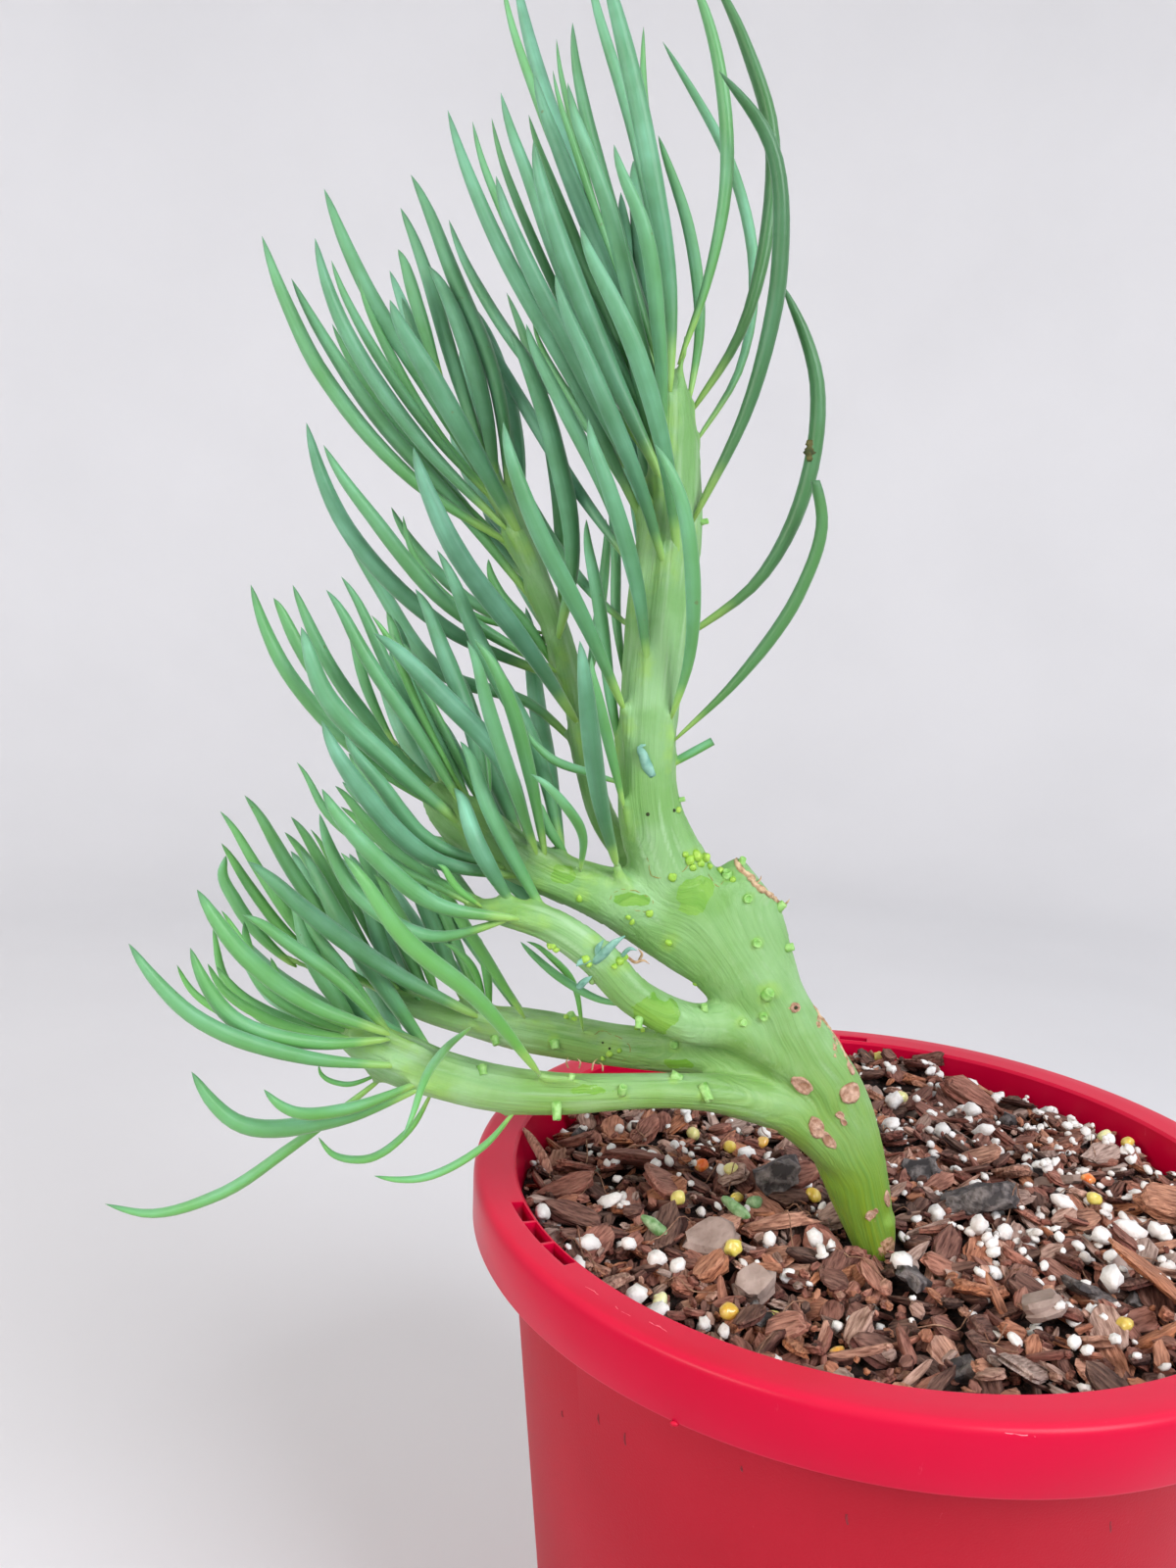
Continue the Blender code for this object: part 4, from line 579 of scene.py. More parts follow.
def room(beads: Rows, own_node: str, taken: list) -> tuple:
    """Room left beside other nodes and beside the leaf's own node, in millimetres.

    Args:
        beads: The leaf's balls.
        own_node: The leaf's node.
        taken: Nodes and balls of what is placed already.

    Returns:
        The least gap to other nodes and to the leaf's own.
    """
    apart, own = SEARCH_REACH, SEARCH_REACH
    low = beads[:, :3].min(axis=0) - SEARCH_REACH
    high = beads[:, :3].max(axis=0) + SEARCH_REACH
    upper = beads[beads[:, 4] > ROOT_SHARE]
    for node, others in taken:
        near = others[np.all((others[:, :3] > low) & (others[:, :3] < high), axis=1)]
        if node == own_node:
            near = near[near[:, 4] > ROOT_SHARE]
        if len(near) == 0:
            continue
        mine = upper if node == own_node else beads
        gaps = np.linalg.norm(mine[:, None, :3] - near[None, :, :3], axis=2)
        least = float((gaps - mine[:, None, 3] - near[None, :, 3]).min())
        if node == own_node:
            own = min(own, least)
        else:
            apart = min(apart, least)
    return apart, own


def place_leaf(leaf: LeafShape, taken: list, must_fit: bool) -> tuple | None:
    """Swing a leaf in depth until it clears the others.

    Args:
        leaf: The leaf.
        taken: Nodes and balls of what is placed already.
        must_fit: Whether a leaf that still touches its own node is better than none.

    Returns:
        The leaf swung the least and its balls, or None where nothing fits.
    """
    best, best_own = None, -math.inf
    for number in range(int(2 * SHIFT_LIMIT / SHIFT_STEP) + 1):
        shift = SHIFT_STEP * ((number + 1) // 2) * (1 if number % 2 else -1)
        tried = leaf.shifted(shift)
        beads = tried.beads()
        apart, own = room(beads, leaf.node, taken)
        if apart < CLEARANCE:
            continue
        if own >= TOUCH:
            return tried, beads
        if must_fit and own - abs(shift) * SHIFT_COST > best_own:
            best, best_own = (tried, beads), own - abs(shift) * SHIFT_COST
    return best


def place_leaves(limbs: dict) -> list:
    """Every leaf, each swung in depth until it clears the others, or left out."""
    taken = []
    for name, limb in limbs.items():
        first, last = limb.trunk_range()
        taken.append(("trunk", limb.beads(first, last - 1)))
        if limb.split is not None:
            first, last = limb.shoot_range()
            taken.append((name, limb.beads(first + 1, last)))
    placed = []

    def take(leaf: LeafShape, must_fit: bool) -> None:
        """Place one leaf if there is room for it."""
        found = place_leaf(leaf, taken, must_fit)
        if found is not None:
            placed.append(found[0])
            taken.append((leaf.node, found[1]))

    for node, leaves in LEAVES.items():
        for leaf in leaves:
            take(seat_leaf(node, limbs, leaf), True)
    draw = random.Random(7)
    for node, rule in FAR_LEAVES.items():
        for number in range(rule["count"]):
            take(far_leaf(node, limbs[node], rule, draw, number), False)
    return placed


RGBA = {"data_type": "RGBA"}
TIMES = {"operation": "MULTIPLY"}


def srgb(code: str) -> tuple:
    """Linear colour, with alpha, of an sRGB hex code."""
    parts = [int(code[i:i + 2], 16) / 255 for i in (1, 3, 5)]
    return (*(c / 12.92 if c <= 0.04045 else ((c + 0.055) / 1.055) ** 2.4 for c in parts), 1.0)


def add_node(tree: Tree, kind: str, inputs: dict, out: int | str = 0,
             stops: Sequence = (), **settings) -> Socket:
    """Add a shader node with its settings and links.

    Args:
        tree: The node tree.
        kind: The node's type without its ShaderNode prefix.
        inputs: Values, hex colours or sockets for its inputs, by name or number.
        out: The output that is wanted.
        stops: Places and hex colours of a colour ramp.
        settings: Other properties of the node.

    Returns:
        The node's output.
    """
    made = tree.nodes.new("ShaderNode" + kind)
    for name, value in settings.items():
        setattr(made, name, value)
    if stops:
        elements = made.color_ramp.elements
        for element, (place, code) in zip((elements[0], elements[-1]), (stops[0], stops[-1])):
            element.position = place
            element.color = srgb(code)
        for place, code in stops[1:-1]:
            elements.new(place).color = srgb(code)
    for name, value in inputs.items():
        socket = made.inputs[name]
        if isinstance(value, Socket):
            tree.links.new(value, socket)
        else:
            socket.default_value = srgb(value) if isinstance(value, str) else value
    return made.outputs[out]


@dataclass(frozen=True)
class Finish:
    """What every finish has: its name and the plain values of its shader."""

    name: str
    roughness: float = 0.5
    ior: float = 1.45
    sheen: float = 0.0
    sheen_tint: str = "#FFFFFF"
    subsurface: float = 0.0
    subsurface_scale: float = 0.0015
    coat: float = 0.0

    def material(self) -> bpy.types.Material:
        """The finish's material, made when it is first asked for."""
        if self.name in bpy.data.materials:
            return bpy.data.materials[self.name]
        made = bpy.data.materials.new(self.name)
        made.use_nodes = True
        shader = made.node_tree.nodes["Principled BSDF"]
        plain = {"Roughness": self.roughness, "IOR": self.ior, "Sheen Weight": self.sheen,
                 "Sheen Tint": srgb(self.sheen_tint), "Subsurface Weight": self.subsurface,
                 "Subsurface Scale": self.subsurface_scale, "Coat Weight": self.coat,
                 "Subsurface Radius": (0.6, 1.0, 0.35)}
        for socket, value in plain.items():
            shader.inputs[socket].default_value = value
        self.paint(made.node_tree, partial(add_node, made.node_tree), shader.inputs)
        return made

    def paint(self, tree: Tree, add: Callable, shader: Sockets) -> None:
        """Lay the finish's pattern; each finish has its own."""

    def relief(self, tree: Tree, shader: Sockets, height: Socket, depth: float) -> None:
        """Raise the surface by a height pattern of a depth in millimetres."""
        normal = add_node(tree, "Bump", {"Height": height, "Distance": depth * MM, "Strength": 1.0})
        tree.links.new(normal, shader["Normal"])

    def grain(self, tree: Tree, across: float, along: float, detail: float = 3.0) -> Socket:
        """Streaks that follow the piece, by its own coordinates in millimetres.

        Args:
            tree: The node tree.
            across: Streaks in a millimetre across the piece.
            along: Changes in a millimetre along it.
            detail: Levels of finer noise.

        Returns:
            The streaks' factor.
        """
        place = add_node(tree, "Attribute", {}, "Vector", attribute_name="grain")
        scaled = add_node(tree, "VectorMath", {0: place, 1: (across, across, along)}, **TIMES)
        return add_node(tree, "TexNoise", {"Vector": scaled, "Scale": 1.0, "Detail": detail})

    def cloud(self, tree: Tree, size: float, detail: float = 3.0,
              low: float = 0.0, high: float = 1.0) -> Socket:
        """Soft patches fixed on the object.

        Args:
            tree: The node tree.
            size: A patch's size in millimetres.
            detail: Levels of finer noise.
            low: Noise value that becomes 0.
            high: Noise value that becomes 1.

        Returns:
            The patches' factor.
        """
        place = add_node(tree, "TexCoord", {}, "Object")
        noisy = add_node(tree, "TexNoise", {"Vector": place, "Scale": 1000.0 / size, "Detail": detail})
        return add_node(tree, "MapRange", {"Value": noisy, "From Min": low, "From Max": high})


@dataclass(frozen=True)
class MouldedPolypropylene(Finish):
    """Injection-moulded polypropylene, dyed through.

    The collar is smooth and gives soft broad highlights and a deep clean red; its upward faces are
    painted paler, a painted sky reflection on its crown. The body below has a fine spark texture from
    the mould, which greys the red.
    """

    collar: str = "#C00032"
    # Colour that the upward faces take: a painted sky reflection.
    crown: str = "#EC3350"
    body: str = "#A8162A"
    collar_line: float = 175.3

    def paint(self, tree: Tree, add: Callable, shader: Sockets) -> None:
        """Colour by height, with flow marks, fine scuffs, the body's grain and a painted sky reflection that
        pales the upward faces.
        """
        place = add("TexCoord", {}, "Object")
        height = add("SeparateXYZ", {0: place}, "Z")
        above = add("MapRange", {"Value": height, "From Min": (self.collar_line - 0.4) * MM,
                                 "From Max": (self.collar_line + 0.2) * MM})
        red = add("Mix", {0: above, 6: self.body, 7: self.collar}, 2, **RGBA)
        level = add("SeparateXYZ", {0: add("NewGeometry", {}, "Normal")}, "Z")
        # Painted reflection: faces that point up are paled towards the crown colour.
        wear_and_painted_sheen = add("MapRange", {"Value": level, "From Min": 0.25, "From Max": 0.95, "To Max": 0.55})
        red = add("Mix", {0: wear_and_painted_sheen, 6: red, 7: self.crown}, 2, **RGBA)
        flow = add("Mix", {0: self.cloud(tree, 38.0, 2.0, 0.35, 0.7), 6: "#FFFFFF", 7: "#F4E6E8"}, 2, **RGBA)
        red = add("Mix", {0: 1.0, 6: red, 7: flow}, 2, blend_type="MULTIPLY", **RGBA)
        flat = add("Mapping", {"Vector": place, "Scale": (1.0, 1.0, 0.22)})
        scratch = add("TexNoise", {"Vector": flat, "Scale": 420.0, "Detail": 4.0, "Roughness": 0.7})
        scuff = add("MapRange", {"Value": scratch, "From Min": 0.7, "From Max": 0.78, "To Max": 0.22})
        tree.links.new(add("Mix", {0: scuff, 6: red, 7: "#F58093"}, 2, **RGBA), shader["Base Color"])
        dull = add("MapRange", {"Value": above, "To Min": 0.5, "To Max": 0.3})
        tree.links.new(add("Math", {0: dull, 1: scuff}), shader["Roughness"])
        fine = add("TexNoise", {"Vector": place, "Scale": 2200.0, "Detail": 2.0})
        share = add("Math", {0: 1.15, 1: above}, operation="SUBTRACT")
        self.relief(tree, shader, add("Math", {0: fine, 1: share}, **TIMES), 0.05)


@dataclass(frozen=True)
class ConiferBark(Finish):
    """Composted pine bark: thin cork layers that split flat and weather from red-brown to grey."""

    def paint(self, tree: Tree, add: Callable, shader: Sockets) -> None:
        """A brown for each chip, fibres along it, paler worn rims and mottled faces."""
        tone = add("Attribute", {}, "Fac", attribute_name="tone")
        brown = add("ValToRGB", {"Fac": tone}, stops=(
            (0.0, "#2E1813"), (0.2, "#703E35"), (0.42, "#A66354"), (0.6, "#CE8873"),
            (0.74, "#E09061"), (0.87, "#EAB8A2"), (1.0, "#D2BFB6")))
        streak = self.grain(tree, 1.5, 0.3, 6.0)
        fibre = add("MapRange", {"Value": streak, "From Min": 0.3, "From Max": 0.66})
        dark = add("Mix", {0: fibre, 6: "#8C7970", 7: "#FFFFFF"}, 2, **RGBA)
        brown = add("Mix", {0: 1.0, 6: brown, 7: dark}, 2, blend_type="MULTIPLY", **RGBA)
        blotch = self.cloud(tree, 6.0, 4.0, 0.3, 0.7)
        half = add("Math", {0: blotch, 1: 0.45}, **TIMES)
        brown = add("Mix", {0: half, 6: brown, 7: "#54362D"}, 2, **RGBA)
        rim = add("Math", {0: add("Attribute", {}, "Fac", attribute_name="rim"), 1: 0.42}, **TIMES)
        wear_and_painted_sheen = add("Math", {0: rim, 1: fibre}, **TIMES)
        tree.links.new(add("Mix", {0: wear_and_painted_sheen, 6: brown, 7: "#C7A08C"}, 2, **RGBA), shader["Base Color"])
        self.relief(tree, shader, add("Math", {0: fibre, 1: half}), 0.34)


@dataclass(frozen=True)
class TwoTone(Finish):
    """A matt surface of two near colours in small clouds, with the same clouds as relief."""

    base: str = "#A8CC3A"
    patch: str = "#D6E57A"
    size: float = 1.6
    depth: float = 0.15
    low: float = 0.35
    high: float = 0.7

    def paint(self, tree: Tree, add: Callable, shader: Sockets) -> None:
        """Clouds of the second colour over the first."""
        cloud = self.cloud(tree, self.size, 4.0, self.low, self.high)
        tree.links.new(add("Mix", {0: cloud, 6: self.base, 7: self.patch}, 2, **RGBA), shader["Base Color"])
        if self.depth:
            self.relief(tree, shader, cloud, self.depth)


@dataclass(frozen=True)
class ExpandedPerlite(Finish):
    """Expanded perlite: white foamed glass, chalky, with fine pits and a little brown dust."""

    def paint(self, tree: Tree, add: Callable, shader: Sockets) -> None:
        """White with dust in patches, and pits as relief."""
        tone = add("Attribute", {}, "Fac", attribute_name="tone")
        white = add("Mix", {0: tone, 6: "#F6F5F2", 7: "#E6E0DA"}, 2, **RGBA)
        dust = add("Math", {0: self.cloud(tree, 2.4, 3.0, 0.52, 0.8), 1: 0.55}, **TIMES)
        tree.links.new(add("Mix", {0: dust, 6: white, 7: "#B39C8E"}, 2, **RGBA), shader["Base Color"])
        self.relief(tree, shader, self.cloud(tree, 0.7, 2.0), 0.22)


@dataclass(frozen=True)
class ResinPrill(Finish):
    """Fertiliser prills in a clear resin shell: waxy yellow beads that light goes into."""

    def paint(self, tree: Tree, add: Callable, shader: Sockets) -> None:
        """Yellow, pale green or orange by the bead's tone, mottled inside."""
        tone = add("Attribute", {}, "Fac", attribute_name="tone")
        bead = add("ValToRGB", {"Fac": tone}, stops=(
            (0.0, "#E5E7B4"), (0.35, "#DDCB55"), (0.7, "#D8A63C"), (1.0, "#E4661E")))
        mottle = add("Math", {0: self.cloud(tree, 1.8, 3.0, 0.4, 0.75), 1: 0.5}, **TIMES)
        tree.links.new(add("Mix", {0: mottle, 6: bead, 7: "#F2E6A0"}, 2, **RGBA), shader["Base Color"])


@dataclass(frozen=True)
class LeafSkin(Finish):
    """Living succulent leaf skin with a wax bloom.

    The bloom is a matt, chalky blue-green film that is thickest on the upper side; its mask also leans
    to the left and front, so the lit side is painted paler, as painted light. Below it the tissue is
    a clear green, yellow-green where the leaf is young or shaded, and light goes in.
    """

    # The bloom's side: up, where the wax lies, and to the left and front, which paints the lit side paler.
    bloom_and_lit_side: tuple = (-0.5, -0.15, 0.85)

    def paint(self, tree: Tree, add: Callable, shader: Sockets) -> None:
        """Green tissue, bloom over it that is also painted paler on the lit side, a yellow foot, a dark
        point and a few brown specks.
        """
        youth = add("Attribute", {}, "Fac", attribute_name="youth")
        along = add("Attribute", {}, "Fac", attribute_name="along")
        tone = add("Attribute", {}, "Fac", attribute_name="tone")
        tissue = add("Mix", {0: tone, 6: "#1F5A30", 7: "#347430"}, 2, **RGBA)
        tissue = add("Mix", {0: youth, 6: tissue, 7: "#62A838"}, 2, **RGBA)
        foot = add("ValToRGB", {"Fac": along}, stops=(
            (0.0, "#FFFFFF"), (0.11, "#D8D8D8"), (0.16, "#585858"), (0.3, "#000000")))
        tissue = add("Mix", {0: foot, 6: tissue, 7: "#94BE52"}, 2, **RGBA)
        normal = add("NewGeometry", {}, "Normal")
        # Painted light: the bloom follows this side, so the side that faces the light is paler.
        bloom_and_lit_facing = add("VectorMath", {0: normal, 1: self.bloom_and_lit_side}, "Value", operation="DOT_PRODUCT")
        upper = add("MapRange", {"Value": bloom_and_lit_facing, "From Min": -0.6, "From Max": 0.8, "To Min": 0.06,
                                 "To Max": 0.92})
        streak = self.grain(tree, 0.9, 0.035)
        streak = add("Math", {0: streak, 1: self.cloud(tree, 9.0, 3.0, 0.3, 0.7)}, **TIMES)
        film = add("Math", {0: streak, 1: 1.1, 2: 0.5}, operation="MULTIPLY_ADD")
        bare = add("Math", {0: youth, 1: -0.55, 2: 1.0}, operation="MULTIPLY_ADD")
        wax = add("Attribute", {}, "Fac", attribute_name="waxed")
        grown = add("MapRange", {"Value": along, "From Min": 0.1, "From Max": 0.45, "To Min": 0.4})
        waxed = add("Math", {0: add("Math", {0: wax, 1: grown}, **TIMES), 1: bare}, **TIMES)
        bloom = add("Math", {0: add("Math", {0: upper, 1: film}, **TIMES), 1: waxed}, **TIMES)
        green = add("Mix", {0: bloom, 6: tissue, 7: "#8ACDB0"}, 2, **RGBA)
        deep = add("MapRange", {"Value": wax, "From Min": 0.3, "From Max": 0.8, "To Min": 0.7})
        green = add("Mix", {0: 1.0, 6: green, 7: deep}, 2, blend_type="MULTIPLY", **RGBA)
        tip = add("MapRange", {"Value": along, "From Min": 0.93, "From Max": 1.0, "To Max": 0.65})
        green = add("Mix", {0: tip, 6: green, 7: "#3F6B4A"}, 2, **RGBA)
        speck = add("Math", {0: self.cloud(tree, 2.2, 1.0, 0.78, 0.82), 1: 0.7}, **TIMES)
        tree.links.new(add("Mix", {0: speck, 6: green, 7: "#5E6B3A"}, 2, **RGBA), shader["Base Color"])
        dry = add("MapRange", {"Value": bloom, "To Min": 0.38, "To Max": 0.66})
        tree.links.new(dry, shader["Roughness"])
        fine = add("Math", {0: self.cloud(tree, 0.8, 2.0), 1: 0.3, 2: self.grain(tree, 1.6, 0.06, 2.0)},
                   operation="MULTIPLY_ADD")
        self.relief(tree, shader, fine, 0.1)


@dataclass(frozen=True)
class StemSkin(Finish):
    """Skin of the fanned stem: pale lime, waxy, ribbed along its growth.

    Its bloom lies in clouds with sharp edges where it was rubbed off, and there the skin is a
    deeper, glossier green.
    """

    def paint(self, tree: Tree, add: Callable, shader: Sockets) -> None:
        """Lime tissue, fine lines along the growth, bloom in clouds, painted shade in the grooves, rubbed
        and corky places.
        """
        rise, rubbed, corky, groove_shade, streak, lime = (
            add("Attribute", {}, "Fac", attribute_name=name)
            for name in ("rise", "rubbed", "corky", "groove_shade", "streak", "lime"))
        skin = add("ValToRGB", {"Fac": rise}, stops=(
            (0.0, "#7A901E"), (0.12, "#789E28"), (0.3, "#6A9C3C"), (0.6, "#689E49"), (1.0, "#6A9F4F")))
        fine = add("MapRange", {"Value": self.grain(tree, 1.4, 0.035, 5.0), "From Min": 0.36,
                                "From Max": 0.66})
        lines = add("Math", {0: fine, 1: streak}, **TIMES)
        skin = add("Mix", {0: add("Math", {0: lines, 1: 0.62}, **TIMES), 6: skin, 7: "#568B2E"}, 2, **RGBA)
        patch = add("Math", {0: self.cloud(tree, 15.0, 5.0, 0.43, 0.57), 1: 0.32, 2: 0.3},
                    operation="MULTIPLY_ADD")
        soft = add("Math", {0: self.cloud(tree, 34.0, 3.0, 0.3, 0.7), 1: 0.4})
        rough = add("Math", {0: self.cloud(tree, 3.2, 4.0, 0.3, 0.7), 1: 0.5, 2: rubbed},
                    operation="MULTIPLY_ADD")
        bare = add("MapRange", {"Value": rough, "From Min": 0.66, "From Max": 0.74})
        kept = add("Math", {0: 1.0, 1: bare}, operation="SUBTRACT")
        film = add("MapRange", {"Value": rise, "From Min": 0.08, "From Max": 0.22})
        kept = add("Math", {0: kept, 1: film}, **TIMES)
        bloom = add("Math", {0: add("Math", {0: patch, 1: soft}, **TIMES), 1: kept}, **TIMES)
        skin = add("Mix", {0: bloom, 6: skin, 7: "#9CC694"}, 2, **RGBA)
        # Painted shade: the grooves between the ribs are darkened in the colour.
        skin = add("Mix", {0: add("Math", {0: groove_shade, 1: 0.45}, **TIMES), 6: skin, 7: "#5C9244"}, 2, **RGBA)
        skin = add("Mix", {0: add("Math", {0: lines, 1: 0.36}, **TIMES), 6: skin, 7: "#5E9640"}, 2, **RGBA)
        pale = add("MapRange", {"Value": streak, "From Min": 0.62, "From Max": 0.95, "To Max": 0.28})
        skin = add("Mix", {0: add("Math", {0: pale, 1: kept}, **TIMES), 6: skin, 7: "#BCD8B6"}, 2, **RGBA)
        spread = add("Math", {0: self.cloud(tree, 2.6, 3.0, 0.3, 0.7), 1: 0.6, 2: lime},
                     operation="MULTIPLY_ADD")
        spread = add("MapRange", {"Value": spread, "From Min": 0.6, "From Max": 1.3, "To Max": 0.6})
        skin = add("Mix", {0: spread, 6: skin, 7: "#8DB94F"}, 2, **RGBA)
        glow = add("Mix", {0: fine, 6: "#84B64A", 7: "#66A032"}, 2, **RGBA)
        skin = add("Mix", {0: add("Math", {0: bare, 1: 0.62}, **TIMES), 6: skin, 7: glow}, 2, **RGBA)
        crust = add("Math", {0: self.cloud(tree, 1.3, 4.0, 0.3, 0.7), 1: 0.6, 2: corky},
                    operation="MULTIPLY_ADD")
        crust = add("MapRange", {"Value": crust, "From Min": 0.7, "From Max": 0.85})
        cork = add("Mix", {0: self.cloud(tree, 1.0, 3.0, 0.4, 0.6), 6: "#CBA184", 7: "#8E6A45"}, 2, **RGBA)
        tree.links.new(add("Mix", {0: crust, 6: skin, 7: cork}, 2, **RGBA), shader["Base Color"])
        tree.links.new(add("MapRange", {"Value": bare, "To Min": 0.5, "To Max": 0.24}), shader["Roughness"])
        height = add("Math", {0: self.cloud(tree, 0.9, 2.0), 1: 0.3, 2: fine}, operation="MULTIPLY_ADD")
        self.relief(tree, shader, height, 0.13)


class Palette(Enum):
    """The finishes of this plant."""

    POT = MouldedPolypropylene("moulded_polypropylene", roughness=0.35, ior=1.24)
    BARK = ConiferBark("composted_pine_bark", roughness=0.82)
    # Damp peat between the chips: near black, matt, crumbly.
    PEAT = TwoTone("damp_peat_crumb", roughness=0.9, base="#120A08", patch="#3E2821", depth=0.8)
    PERLITE = ExpandedPerlite("expanded_perlite", roughness=0.85, ior=1.5)
    PRILL = ResinPrill("resin_coated_prill", roughness=0.3, ior=1.5, subsurface=0.35, coat=0.3)
    # Charcoal and weathered bark: dull greys with dust lying in patches.
    CHARCOAL = TwoTone("charcoal_chunk", roughness=0.7, base="#3A3535", patch="#8E8582", size=2.6,
                       depth=0.6, low=0.42, high=0.72)
    GREY_BARK = TwoTone("weathered_grey_bark", roughness=0.85, base="#8F7A70", patch="#B5A096",
                        size=5.0, depth=0.5)
    LEAF = LeafSkin("waxy_succulent_leaf", roughness=0.5, sheen=0.3, sheen_tint="#D5EFE6",
                    subsurface=0.12, subsurface_scale=0.0012)
    STEM = StemSkin("waxy_crested_stem", roughness=0.45, sheen=0.08, sheen_tint="#E6F5DC",
                    subsurface=0.16, subsurface_scale=0.002)
    # Soft small growth: wet-looking, clear yellow-green, so it lights up against the stem.
    BUD = TwoTone("yellow_green_bud", roughness=0.4, subsurface=0.2, base="#86B83A", patch="#A9D05A")
    STUB = TwoTone("green_leaf_stub", roughness=0.42, subsurface=0.15, base="#79B356", patch="#A6D284")
    # Dead cork and callus: dry pink-tan crusts that stop the stem's gloss.
    CORK = TwoTone("corky_scar", roughness=0.8, base="#9C745A", patch="#CFAE98", size=1.3, depth=0.3)
    CALLUS = TwoTone("dry_callus", roughness=0.75, base="#A07C58", patch="#DCC4A0", size=1.4, depth=0.3)
    WITHERED = TwoTone("withered_leaf_skin", roughness=0.7, base="#639986", patch="#8FBFAE", size=2.0)
    LEAF_SPOT = TwoTone("dead_leaf_spot", roughness=0.75, base="#2E3A14", patch="#5E5A2C", size=1.5)
    LITTER = TwoTone("fallen_leaf_bit", base="#5F8A4E", patch="#9DB98C")
    FIBRE = TwoTone("root_fibre", roughness=0.85, base="#7A5442", patch="#B08A70")
    PIN_HOLE = TwoTone("pin_hole", roughness=0.9, base="#26301A", patch="#3A4422")
    # Bruised plastic: a nick shows the dark dye, a rub is stress-whitened and matt; the rub's colour
    # also paints a highlight along the crown's outer edge.
    NICK = TwoTone("pot_nick", roughness=0.6, base="#6E0A18", patch="#8A1424", depth=0.0)
    RUB = TwoTone("pot_rub_and_painted_highlight", roughness=0.6, base="#E65C72", patch="#F08C9A", depth=0.0)
    CRACK = TwoTone("fine_skin_crack", roughness=0.8, base="#7C8A3E", patch="#A08A52")
    # Studio paper: matt, pale and nearly neutral, barely clouded.
    PAPER = TwoTone("studio_paper", roughness=0.9, base="#E7E8EA", patch="#E3E4E6", size=260.0,
                    depth=0.0)


def deselect() -> None:
    """Leave edit mode and select nothing."""
    if bpy.context.object and bpy.context.object.mode != "OBJECT":
        bpy.ops.object.mode_set(mode="OBJECT")
    bpy.ops.object.select_all(action="DESELECT")


def hold(piece: Piece) -> Piece:
    """Make a piece the only selected one and the active one."""
    deselect()
    piece.select_set(True)
    bpy.context.view_layer.objects.active = piece
    return piece


def start(operator: Callable, **settings) -> Piece:
    """The piece that an operator adds."""
    deselect()
    operator(**settings)
    return bpy.context.object


def edit(piece: Piece, parts: str = "FACE") -> None:
    """Open a piece's mesh in edit mode with all of it selected, by one kind of its parts."""
    hold(piece)
    bpy.ops.object.mode_set(mode="EDIT")
    bpy.ops.mesh.select_mode(type=parts)
    bpy.ops.mesh.select_all(action="SELECT")


def close_edit() -> Piece:
    """Go back to object mode with the open piece."""
    bpy.ops.object.mode_set(mode="OBJECT")
    return bpy.context.object


def shape_with(piece: Piece, kind: str, **settings) -> None:
    """Add a modifier to a piece and apply it."""
    hold(piece)
    step = piece.modifiers.new(kind.lower(), kind)
    for name, value in settings.items():
        setattr(step, name, value)
    bpy.ops.object.modifier_apply(modifier=step.name)


def smooth(piece: Piece, degrees: float = 40.0) -> Piece:
    """Shade a piece smooth but for its sharp edges."""
    hold(piece)
    bpy.ops.object.shade_smooth_by_angle(angle=math.radians(degrees))
    return piece


def round_off(piece: Piece) -> Piece:
    """Shade all of a piece smooth."""
    hold(piece)
    bpy.ops.object.shade_smooth()
    return piece


def spots_of(piece: Piece) -> Rows:
    """The piece's vertices as rows of coordinates in metres."""
    found = np.empty(len(piece.data.vertices) * 3)
    piece.data.vertices.foreach_get("co", found)
    return found.reshape(-1, 3)


def move_spots(piece: Piece, places: Rows) -> None:
    """Put the piece's vertices at new coordinates in metres."""
    piece.data.vertices.foreach_set("co", np.ascontiguousarray(places, dtype=float).ravel())
    piece.data.update()


def mark(piece: Piece, name: str, values: Rows | float) -> None:
    """Keep one number or one vector for each vertex under a name."""
    count = len(piece.data.vertices)
    values = np.broadcast_to(values, (count,)) if np.ndim(values) == 0 else np.asarray(values)
    wide = values.ndim == 2
    kept = piece.data.attributes.get(name) or piece.data.attributes.new(
        name, "FLOAT_VECTOR" if wide else "FLOAT", "POINT")
    kept.data.foreach_set("vector" if wide else "value", np.ascontiguousarray(values, dtype=float).ravel())


def copy_of(blank: Piece, places: Rows) -> Piece:
    """A copy of a blank with a mesh of its own and its vertices at new places, in millimetres."""
    piece = blank.copy()
    piece.data = blank.data.copy()
    bpy.context.scene.collection.objects.link(piece)
    move_spots(piece, places * MM)
    return piece


def fuse(pieces: Sequence, name: str, finish: Finish = None) -> Piece:
    """Join pieces into one object.

    Args:
        pieces: The objects.
        name: The name of the object and its mesh.
        finish: Its finish; it keeps what it has without one.

    Returns:
        The joined object.
    """
    hold(pieces[0])
    for piece in pieces:
        piece.select_set(True)
    if len(pieces) > 1:
        bpy.ops.object.join()
    made = bpy.context.object
    made.name = name
    made.data.name = name
    if finish is not None:
        made.data.materials.clear()
        made.data.materials.append(finish.material())
    return made


def settle(piece: Piece, slot: str, *nodes: str) -> Piece:
    """Let a finished piece ride on the part, and hide the nodes that it stands for."""
    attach(piece, "root")
    if nodes:
        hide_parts(*nodes)
    LOG.info("%s: %d faces", piece.name, len(piece.data.polygons))
    return piece


